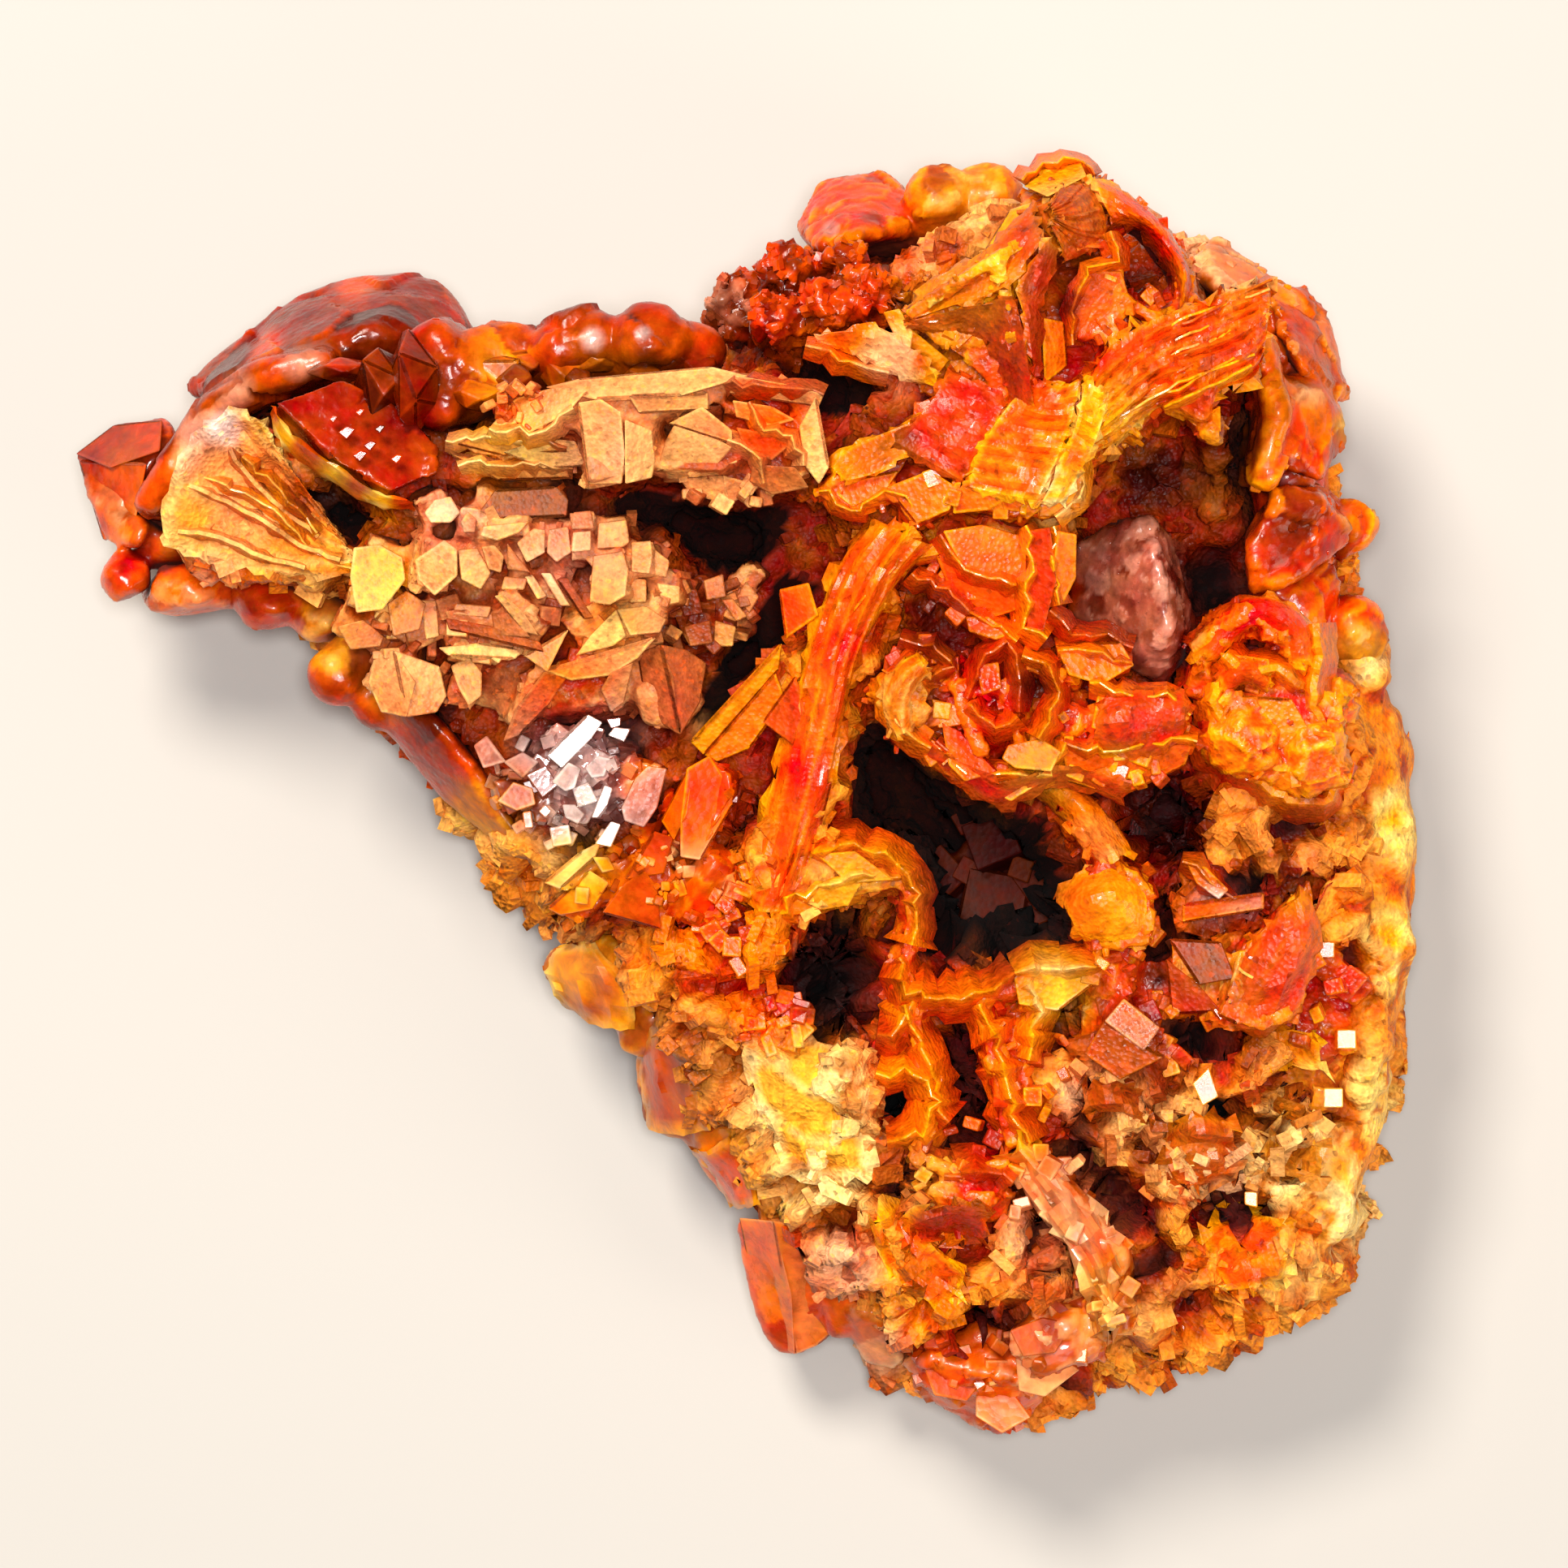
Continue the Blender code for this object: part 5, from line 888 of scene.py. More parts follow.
def paint(obj, base, rim_highlight_gain=1.0, under=0.0, pits=1.0):
    """Colours a piece corner by corner: rims painted pale as a highlight, hollows and pits painted dark
    as shade, cells that differ.

    under is how far a skin that lies below crisp crystals takes the painted shade colour of hollows all
    over.
    """
    mesh = obj.data
    count = len(mesh.vertices)
    co = read(mesh, "co").astype(float)
    if mesh.attributes.get("sky"):
        sky = fetch(mesh, "sky")
    else:
        normal, pairs = read(mesh, "normal").astype(float), edges_of(mesh)
        sky = openness(co, normal, pairs)
        store(mesh, "sky", sky)
    cell = fetch(mesh, "cell")
    mottle = fetch(mesh, "mottle") if mesh.attributes.get("mottle") else np.full(count, 0.5)
    face, edge, deep, gloss = palette(co, mottle, base)
    # painted highlight on rims and crests, painted shade in concave places
    if mesh.attributes.get("rim"):
        rim = fetch(mesh, "rim") * rim_highlight_gain
        hollow = np.zeros(count)
    else:
        fine = ((co - spread(co, pairs, count, 4)) * normal).sum(axis=1)
        broad = ((co - spread(co, pairs, count, 26)) * normal).sum(axis=1)
        rim = (smooth(fine, 0.006, 0.045) * rim_highlight_gain).clip(0, 1)
        hollow = smooth(-broad, 0.01, 0.16)
        if mesh.attributes.get("crest"):
            rim = np.maximum(rim, fetch(mesh, "crest") * 0.6)
    # the painted rim highlight fades where a corner sees little open sky
    rim = rim * (0.25 + 0.75 * smooth(sky, 0.15, 0.6))
    tint = face + (edge - face) * rim[:, None]
    # crystals differ: some lean to the recess colour, some to the rim's
    tint = tint + (deep - tint) * (smooth(0.4 - cell, 0.0, 0.36) * 0.8)[:, None]
    tint = tint + (edge - tint) * (smooth(cell, 0.72, 1.0) * 0.45)[:, None]
    # painted shade: concave places, and bodies lying under crisp crystals, take the shade colour
    tint = tint + (deep - tint) * np.maximum(hollow * 0.85, under)[:, None]
    # painted shade: the less open sky a corner sees, the darker it is painted
    sunk = 1 - smooth(sky, 0.12, 0.75)
    tint = tint + (deep * 0.75 - tint) * (sunk * 0.85)[:, None]
    # painted shade: black where a corner sees almost no sky or lies deep in a pit
    black = smooth(0.17 - sky, 0.0, 0.15) * (0.25 if mesh.attributes.get("rim") else 0.75) * pits
    black = np.maximum(black, pit_shade(co) * pits)
    # painted shade in the rock's hollows: darker, and black in the deepest
    if mesh.attributes.get("crater"):
        inside, _, dark = craters(co)
        tint = tint + (deep * 0.5 - tint) * (fetch(mesh, "crater") * 0.9)[:, None]
        black = np.maximum(black, smooth(inside, 0.5, 1.0) * dark)
    gloss = np.maximum(gloss, black)
    tint *= (1 - black)[:, None]
    store(mesh, "tint", np.column_stack([tint, np.ones(count)]), "FLOAT_COLOR")
    store(mesh, "gloss", gloss)


# ---------------------------------------------------------------- materials


CRUMBS = "#ffd88a"  # pale crumbs that lie on every surface
SPECKS = "#3a0c04"  # and dark specks
HUE_SPAN = 0.017  # between the reddest and the yellowest blotch of a surface


def mineral(name, finish, coat, subsurface, grain_mm, bump, ior, speck, shine, vivid=1.1, warm=0.493):
    """A crystalline surface whose colour is painted on its corners, with grain, specks and bump.

    finish is the span of roughness added to the painted one; shine is the strength of the plain gloss;
    warm is the hue the reddest blotches turn to, 0.5 for none.
    """
    mat = bpy.data.materials.new(name)
    mat.use_nodes = True
    tree = mat.node_tree
    tree.nodes.clear()
    place = add_node(tree, "ShaderNodeTexCoord").outputs["Object"]
    tint = add_node(tree, "ShaderNodeVertexColor", layer_name="tint").outputs["Color"]
    gloss = add_node(tree, "ShaderNodeAttribute", attribute_name="gloss").outputs["Fac"]
    grain = add_node(tree, "ShaderNodeTexNoise", {
        "Vector": place, "Scale": 1000 / (grain_mm * 2.2),
        "Detail": 5.0, "Roughness": 0.62, "Distortion": 0.3,
    }).outputs[0]
    blotch = add_node(
        tree, "ShaderNodeTexNoise", {
            "Vector": place, "Scale": 1000 / 1.3, "Detail": 4.0, "Roughness": 0.6,
        }
    ).outputs[0]
    crumbs = add_node(tree, "ShaderNodeTexVoronoi", {"Vector": place, "Scale": 1000 / grain_mm})
    # fine grain lightens and darkens the colour
    value = span(tree, grain, 0.28, 0.72, 0.55, 1.45)
    turn = span(tree, blotch, 0.3, 0.7, warm, warm + HUE_SPAN)
    toned = add_node(
        tree, "ShaderNodeHueSaturation", {"Hue": turn, "Saturation": vivid, "Value": value, "Color": tint}
    ).outputs[0]
    # a few pale crumbs and dark specks lie on it
    chance = add_node(tree, "ShaderNodeSeparateColor", {0: crumbs.outputs["Color"]}).outputs[0]
    pale = span(tree, chance, 0.9, 0.96, 0.0, speck)
    crumbed = {0: pale, 6: toned, 7: linear(CRUMBS)}
    lit = add_node(tree, "ShaderNodeMix", crumbed, data_type="RGBA", blend_type="OVERLAY").outputs[2]
    specked = {0: span(tree, chance, 0.07, 0.0, 0.0, speck), 6: lit, 7: linear(SPECKS)}
    colour = add_node(tree, "ShaderNodeMix", specked, data_type="RGBA").outputs[2]
    rough = span(tree, grain, 0.3, 0.7, -finish * 0.4, finish)
    relief = maths(tree, "ADD", crumbs.outputs["Distance"], grain)
    bumped = add_node(
        tree, "ShaderNodeBump", {"Strength": bump, "Distance": grain_mm * MM * 0.6, "Height": relief}
    ).outputs[0]
    shader = add_node(tree, "ShaderNodeBsdfPrincipled", {
        "Base Color": colour, "Roughness": maths(tree, "ADD", gloss, rough, use_clamp=True),
        "IOR": ior, "Specular IOR Level": shine,
        "Coat Weight": coat, "Coat Roughness": 0.08, "Coat IOR": 1.6,
        "Subsurface Weight": subsurface, "Subsurface Radius": (1.0, 0.28, 0.08),
        "Subsurface Scale": 0.0007, "Normal": bumped,
    })
    add_node(tree, "ShaderNodeOutputMaterial", {0: shader.outputs[0]})
    return mat


MATERIALS = {
    # glassy vanadinite: clean growth faces, wet-looking, light soaks in a little
    "red_crystals": mineral(
        "vanadinite_glassy", finish=0.12, coat=0.08, subsurface=0.1, grain_mm=0.25, bump=0.14, ior=1.5,
        speck=0.05, shine=0.22, warm=0.498,
    ),
    # resinous blades: softer gloss; their paler rims are a painted highlight
    "orange_blades": mineral(
        "vanadinite_resinous", finish=0.2, coat=0.1, subsurface=0.12, grain_mm=0.16, bump=0.4, ior=1.5,
        speck=0.4, shine=0.3,
    ),
    # satin plates: fine parallel growth, barely shiny
    "tan_plates": mineral(
        "baryte_satin", finish=0.2, coat=0.0, subsurface=0.08, grain_mm=0.12, bump=0.35, ior=1.45,
        speck=0.4, shine=0.25, vivid=1.02,
    ),
    # rough iron-stained rock: matt and crumbly
    "matrix": mineral(
        "gossan_matrix", finish=0.25, coat=0.0, subsurface=0.05, grain_mm=0.15, bump=0.6, ior=1.45,
        speck=0.5, shine=0.2, vivid=1.04,
    ),
    # translucent salmon tips
    "peach_crystals": mineral(
        "vanadinite_salmon", finish=0.15, coat=0.2, subsurface=0.3, grain_mm=0.3, bump=0.1, ior=1.5,
        speck=0.02, shine=0.35,
    ),
    # brown smoky crystals with clean faces
    "brown_crystals": mineral(
        "vanadinite_brown", finish=0.1, coat=0.3, subsurface=0.1, grain_mm=0.18, bump=0.08, ior=1.6,
        speck=0.06, shine=0.5,
    ),
    # druse in the pocket, coloured dim as the painted shade of the hollow
    "dark_pocket": mineral(
        "vanadinite_dark", finish=0.1, coat=0.0, subsurface=0.05, grain_mm=0.2, bump=0.2, ior=1.45,
        speck=0.1, shine=0.12,
    ),
}

# ---------------------------------------------------------------- putting a piece in the frame

MARGIN = 0.02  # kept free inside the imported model's box, mm
LOW = np.array(CAD_BOX[0]) / MM - np.array(SHIFT) + MARGIN
HIGH = np.array(CAD_BOX[1]) / MM - np.array(SHIFT) - MARGIN
LOW[2] = 0.0


def finish_piece(obj, slot, nodes=(), crisp=False):
    """Keeps a piece inside the specimen's box, turns it to metres in the frame and registers it."""
    mesh = obj.data
    co = read(mesh, "co").astype(float).clip(LOW, HIGH)
    mesh.vertices.foreach_set("co", ((co + np.array(SHIFT)) * MM).astype(np.float32).ravel())
    mesh.polygons.foreach_set("use_smooth", np.ones(len(mesh.polygons), bool))
    mesh.materials.clear()
    mesh.materials.append(MATERIALS[slot])
    mesh.polygons.foreach_set("material_index", np.zeros(len(mesh.polygons), np.int32))
    mesh.update()
    if crisp:
        mesh.set_sharp_from_angle(angle=0.5)
    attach(obj, "root")
    if nodes:
        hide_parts(*nodes)


# ---------------------------------------------------------------- crisp pieces that each group gets


def comb(start, end, count, length, lean, top, base, depth, seed):
    """A row of thin fins side by side along a line, each standing across it at an angle."""
    fins = []
    a, b = np.array(start, float), np.array(end, float)
    along = (b - a) / np.linalg.norm(b - a)
    c, s = math.cos(math.radians(lean)), math.sin(math.radians(lean))
    aim = np.array([along[0] * c - along[1] * s, along[0] * s + along[1] * c])
    draw = np.random.default_rng(60 + seed)
    for share in np.linspace(0, 1, count):
        root = a + (b - a) * share + draw.uniform(-0.08, 0.08, 2)
        reach = length * (1 - COMB_TAPER * abs(2 * share - 1)) * draw.uniform(0.7, 1.15)
        tip = root + aim * reach + draw.uniform(-0.12, 0.12, 2)
        z = top[0] + (top[1] - top[0]) * share + draw.uniform(-0.15, 0.12)
        middle = (root + tip) / 2
        crest = [(*root, z), (*middle, z + 0.1), (*tip, z - 0.4)]
        fins += ridge(crest, depth, base, rim=0.08, seed=int(share * 99) + seed)
    return fins


def rubble(seed, count, middle, radii, top, size, tilt=0.45):
    """Small blocks strewn at random over an oval patch, some on others."""
    draw = np.random.default_rng(seed)
    pieces = []
    for _ in range(count):
        around, out = draw.uniform(0, 2 * math.pi), math.sqrt(draw.uniform(0, 1))
        x = middle[0] + math.cos(around) * out * radii[0]
        y = middle[1] + math.sin(around) * out * radii[1]
        width = draw.uniform(0.6, 1.3) * size
        slope = draw.uniform(-tilt, tilt, 2)
        z = top + draw.uniform(-0.35, 0.25)
        depth, turn = width * draw.uniform(0.45, 1.0), draw.uniform(0, 180)
        pieces += block(x, y, width, depth, turn, z, slope, RUBBLE_THICK)
    return pieces


def flashing(corners, top, thick=0.5):
    """A plate tilted so that it throws the light beside the lens back into it."""
    spot = np.append(np.mean(corners, axis=0), top)
    normal = np.zeros(3)
    for end in (LENS, LAMP):
        toward = np.array(end) / MM - spot
        normal += toward / np.linalg.norm(toward)
    return plate(corners, top, (-normal[0] / normal[2], -normal[1] / normal[2]), thick)


def ridges(table, depth, base, rim=0.05, ragged=0.2):
    """Several ridges of one build."""
    pieces = []
    for k, path in enumerate(table):
        pieces += ridge(path, depth, base, rim, ragged=ragged, seed=k * 3)
    return pieces


def stack_crystals():
    """Plates, blocks, slivers and slabs of the stack, each where it lies."""
    pieces = sheets((
        (11.6, (-11.8, 7.9), (-11.0, 8.0), (-10.3, 7.6), (-10.2, 6.9), (-10.9, 6.0), (-11.7, 5.9),
         (-11.9, 7.0)),
        (12.4, (-9.9, 7.5), (-9.0, 8.1), (-8.6, 7.8), (-8.6, 7.0), (-9.3, 6.4), (-9.8, 6.9)),
        (12.6, (-9.6, 8.9), (-9.3, 9.3), (-8.8, 9.4), (-8.5, 8.9), (-8.8, 8.6), (-9.4, 8.6)),
        (12.7, (-8.5, 8.6), (-8.3, 8.95), (-8.0, 8.7), (-8.05, 8.3), (-8.4, 8.3)),
        (12.3, (-8.0, 8.9), (-7.5, 9.6), (-5.6, 9.7), (-5.25, 9.3), (-5.3, 8.8), (-7.9, 8.7)),
        (12.75, (-7.9, 8.2), (-7.8, 8.5), (-6.4, 8.65), (-6.7, 8.3), (-7.4, 8.05)),
        (12.6, (-6.8, 8.0), (-6.3, 8.45), (-5.95, 8.4), (-5.95, 7.7), (-6.5, 7.4)),
        (12.7, (-5.85, 8.4), (-5.25, 8.5), (-5.15, 7.7), (-5.6, 7.4), (-5.9, 7.7)),
        (12.95, (-5.1, 8.9), (-4.55, 8.95), (-4.45, 8.4), (-5.15, 8.4)),
        (13.1, (-5.1, 8.3), (-4.55, 8.35), (-4.55, 7.75), (-5.15, 7.7)),
        (12.7, (-4.35, 8.6), (-3.5, 8.7), (-3.4, 8.0), (-3.6, 7.85), (-4.4, 7.8)),
        (13.1, (-4.5, 7.6), (-3.6, 7.75), (-3.42, 7.2), (-3.5, 6.4), (-4.0, 6.1), (-4.6, 6.2)),
        (12.8, (-3.35, 8.0), (-2.75, 8.05), (-2.7, 7.6), (-2.8, 7.05), (-3.35, 7.1)),
        (12.3, (-3.4, 6.95), (-2.9, 6.9), (-2.9, 6.2), (-3.4, 6.2)),
        (12.5, (-2.65, 7.8), (-2.2, 7.45), (-2.3, 6.95), (-2.75, 7.05)),
        (12.1, (-2.6, 6.8), (-1.9, 6.7), (-1.9, 6.2), (-2.4, 6.1)),
        (12.3, (-7.9, 7.9), (-7.5, 7.95), (-7.2, 7.6), (-7.3, 7.1), (-7.7, 7.2)),
        (12.3, (-8.6, 7.8), (-8.0, 7.85), (-7.6, 7.1), (-7.9, 6.6), (-8.5, 6.9)),
        (12.4, (-7.1, 8.0), (-6.75, 7.5), (-6.4, 7.1), (-7.1, 7.2)),
        (12.1, (-7.2, 7.0), (-6.5, 6.95), (-6.6, 6.6), (-7.3, 6.6)),
        (12.2, (-6.1, 7.1), (-5.8, 7.1), (-5.2, 6.1), (-5.5, 6.1)),
        (12.1, (-5.6, 6.9), (-5.3, 6.95), (-4.5, 5.75), (-4.8, 5.7)),
        (12.0, (-6.6, 7.0), (-6.35, 7.05), (-5.9, 6.4), (-6.2, 6.3)),
        (12.0, (-9.0, 5.75), (-8.9, 5.4), (-6.0, 4.7), (-6.1, 5.0), (-7.6, 5.5)),
        (11.8, (-9.2, 4.85), (-8.9, 4.6), (-6.9, 4.5), (-6.6, 4.8), (-8.0, 5.0)),
        (12.2, (-6.6, 4.6), (-6.2, 4.3), (-5.9, 4.1), (-5.55, 4.8), (-5.25, 5.4)),
        (11.7, (-8.7, 6.2), (-7.6, 6.1), (-7.7, 5.75), (-8.8, 5.85)),
        ((-7.5, 6.4, 12.5), (-7.2, 6.45, 12.5), (-6.6, 5.9, 12.7), (-6.15, 5.2, 12.5), (-6.6, 5.3, 12.2),
         (-7.1, 6.0, 12.3)),
        ((-7.6, 5.9, 12.0), (-7.0, 5.9, 12.3), (-6.4, 5.15, 12.3), (-7.5, 5.2, 12.0)),
        ((-5.05, 4.6, 12.0), (-4.6, 5.2, 12.4), (-3.8, 6.0, 12.5), (-3.5, 5.2, 12.3), (-3.9, 4.9, 12.1)),
        ((-3.8, 6.0, 12.5), (-2.9, 6.1, 12.3), (-2.3, 5.7, 12.0), (-2.5, 5.3, 11.9), (-3.4, 5.2, 12.2)),
        ((-11.4, 3.8, 10.7), (-11.2, 4.6, 10.9), (-10.6, 4.8, 11.2), (-9.9, 3.8, 11.6),
         (-10.2, 2.75, 11.2), (-11.0, 2.9, 10.8)),
        ((-10.6, 4.8, 11.2), (-10.0, 4.6, 11.2), (-9.2, 4.3, 11.0), (-9.0, 3.4, 10.8), (-9.3, 2.9, 10.8),
         (-10.2, 2.75, 11.2), (-9.9, 3.8, 11.6)),
        (11.6, (-8.85, 4.3), (-8.3, 4.6), (-7.9, 4.1), (-7.9, 3.4), (-8.3, 3.1), (-8.6, 3.6)),
        ((-7.3, 2.0, 10.8), (-6.9, 3.0, 11.3), (-6.0, 4.15, 11.8), (-5.3, 4.0, 11.7), (-5.9, 3.1, 11.1),
         (-6.8, 2.2, 10.8)),
        ((-6.0, 4.15, 11.8), (-4.3, 4.5, 12.1), (-2.6, 5.15, 12.3), (-3.2, 4.5, 12.0), (-4.0, 4.0, 11.8),
         (-5.2, 3.85, 11.6)),
        ((-3.3, 4.4, 12.0), (-4.0, 4.1, 11.9), (-4.3, 3.6, 11.6), (-4.0, 2.9, 11.1), (-3.6, 3.2, 11.3)),
        ((-3.2, 4.7, 11.3), (-2.5, 4.95, 11.7), (-2.1, 4.0, 11.9), (-1.9, 2.2, 11.3), (-2.4, 2.5, 11.0),
         (-3.0, 3.4, 11.0)),
        ((-2.5, 4.95, 11.7), (-1.7, 4.8, 11.4), (-1.1, 4.4, 11.0), (-1.3, 3.2, 10.9), (-1.9, 2.2, 11.3),
         (-2.1, 4.0, 11.9)),
        (11.3, (-2.0, 6.6), (-1.4, 6.65), (-1.2, 5.9), (-1.8, 5.8)),
        (11.2, (-1.2, 6.9), (-0.6, 7.1), (-0.5, 6.4), (-1.1, 6.3)),
        (11.5, (-0.65, 6.3), (-0.3, 6.35), (0.15, 5.8), (-0.2, 5.65)),
        (11.1, (-1.8, 5.5), (-1.0, 5.7), (-0.9, 5.0), (-1.6, 4.9)),
        (11.0, (-0.85, 5.7), (-0.2, 5.5), (-0.3, 4.9), (-0.9, 4.9)),
        (10.9, (0.1, 6.9), (0.5, 6.4), (0.2, 5.9), (-0.2, 6.4)),
        (11.2, (-12.3, 5.5), (-11.5, 5.7), (-10.9, 5.2), (-11.0, 4.9), (-11.9, 4.8)),
        (11.3, (-10.8, 6.2), (-10.2, 6.6), (-9.6, 6.2), (-9.8, 5.4), (-10.6, 5.2)),
        (11.2, (-9.8, 6.3), (-9.3, 6.3), (-9.2, 5.2), (-9.6, 5.1)),
    ), thick=0.8)
    pieces += rubble(51, 46, (-5.6, 6.6), (4.0, 2.6), 11.6, 0.55)
    pieces += rubble(52, 26, (-9.6, 5.6), (1.8, 1.8), 10.9, 0.5)
    pieces += rubble(53, 22, (-1.2, 5.9), (1.6, 1.2), 10.7, 0.5)
    return pieces


def ledge_crystals():
    """The ledge's long blade, its bent block, the tan faces below it and the box folds at its end."""
    pieces = sheets((
        ((-7.5, 11.5, 13.9), (-6.8, 12.3, 13.9), (-5.6, 12.6, 14.2), (-4.6, 12.5, 14.7),
         (-5.2, 11.8, 14.7), (-6.4, 11.2, 14.4)),
        ((-5.9, 12.6, 14.1), (-4.9, 12.85, 14.2), (-0.9, 13.2, 14.5), (0.2, 12.9, 14.8),
         (-1.8, 12.3, 14.9), (-4.4, 12.2, 14.8)),
        ((-3.4, 12.3, 14.9), (-1.0, 12.4, 14.9), (-1.0, 11.9, 14.6), (-3.1, 11.8, 14.6)),
        ((-4.9, 12.1, 14.9), (-4.2, 12.2, 15.0), (-3.6, 11.8, 14.9), (-3.5, 10.6, 14.8), (
            -3.6, 9.7, 14.2,
        ),
         (-4.6, 9.7, 14.1), (-4.7, 10.8, 14.6)),
        ((-3.5, 11.6, 14.8), (-2.7, 11.3, 14.3), (-2.6, 10.4, 14.0), (-2.7, 9.9, 13.8), (-3.5, 9.7, 14.2),
         (-3.4, 10.7, 14.8)),
        ((-2.6, 10.1, 13.7), (-2.3, 11.0, 14.2), (-1.9, 11.7, 14.5), (-1.2, 11.3, 14.5),
         (-0.3, 10.8, 14.1), (-0.9, 10.1, 13.7)),
        ((-2.2, 11.5, 14.5), (-1.2, 12.0, 14.8), (-0.3, 11.3, 14.5), (-0.3, 10.9, 14.2),
         (-1.2, 11.3, 14.5)),
        ((-1.9, 9.9, 13.2), (-0.6, 10.0, 13.5), (-0.4, 9.4, 13.1), (-0.5, 9.1, 12.9), (-1.6, 9.5, 13.0)),
        ((-0.6, 10.0, 13.5), (0.2, 9.8, 13.2), (0.3, 9.5, 13.0), (-0.5, 9.1, 12.9), (-0.4, 9.4, 13.1)),
        ((-0.2, 12.9, 14.9), (1.2, 12.7, 15.0), (2.45, 12.35, 14.8), (2.3, 12.0, 14.4), (0.6, 12.3, 14.5),
         (-0.4, 12.4, 14.5)),
        ((2.2, 12.3, 14.8), (2.3, 11.0, 14.5), (2.6, 10.2, 14.2), (2.3, 9.7, 13.9), (1.9, 10.2, 14.2),
         (1.7, 11.4, 14.5)),
        ((-0.3, 12.2, 14.4), (0.9, 12.0, 14.7), (1.6, 11.6, 14.6), (0.9, 11.4, 14.3), (-0.2, 11.7, 14.2)),
        ((-0.2, 11.4, 14.3), (0.8, 11.2, 14.5), (1.5, 10.9, 14.4), (0.9, 10.4, 14.1), (0.1, 10.7, 14.0)),
        ((0.3, 10.3, 14.0), (1.6, 10.2, 14.3), (2.0, 9.6, 13.9), (0.9, 9.4, 13.6), (0.2, 9.8, 13.6)),
        ((-9.0, 11.05, 12.9), (-7.4, 11.15, 13.4), (-6.0, 11.0, 13.7), (-5.4, 10.7, 13.5),
         (-7.2, 10.6, 13.2)),
        ((-7.2, 10.7, 13.4), (-5.9, 11.1, 13.8), (-5.0, 11.0, 13.8), (-4.7, 10.3, 13.2),
         (-6.0, 10.2, 13.0)),
        ((-8.9, 10.7, 12.6), (-7.4, 10.5, 12.9), (-5.3, 10.2, 12.8), (-5.2, 9.95, 12.5),
         (-7.4, 9.9, 12.4)),
    ), thick=0.7)
    pieces += ridges((
        [(-7.6, 11.4, 14.3), (-6.2, 11.25, 14.7), (-5.1, 11.9, 14.9)],
        [(-0.6, 12.7, 15.0), (1.0, 12.6, 15.2), (2.4, 12.3, 15.0)],
        [(0.2, 12.2, 14.9), (0.5, 11.4, 14.8), (1.4, 11.2, 14.8), (1.9, 10.2, 14.5)],
        [(-0.4, 10.9, 14.5), (0.4, 10.6, 14.6), (0.7, 9.8, 14.2)],
        [(-9.0, 11.1, 13.2), (-7.2, 11.1, 13.8), (-5.2, 10.9, 13.9)],
        [(-8.6, 10.4, 12.9), (-6.8, 10.3, 13.2), (-5.0, 10.3, 13.1)],
    ), depth=0.8, base=0.7)
    pieces += rubble(54, 24, (-6.6, 12.0), (1.2, 0.7), 14.3, 0.35)
    pieces += rubble(55, 18, (-0.4, 9.7), (1.8, 0.6), 13.2, 0.5)
    return pieces


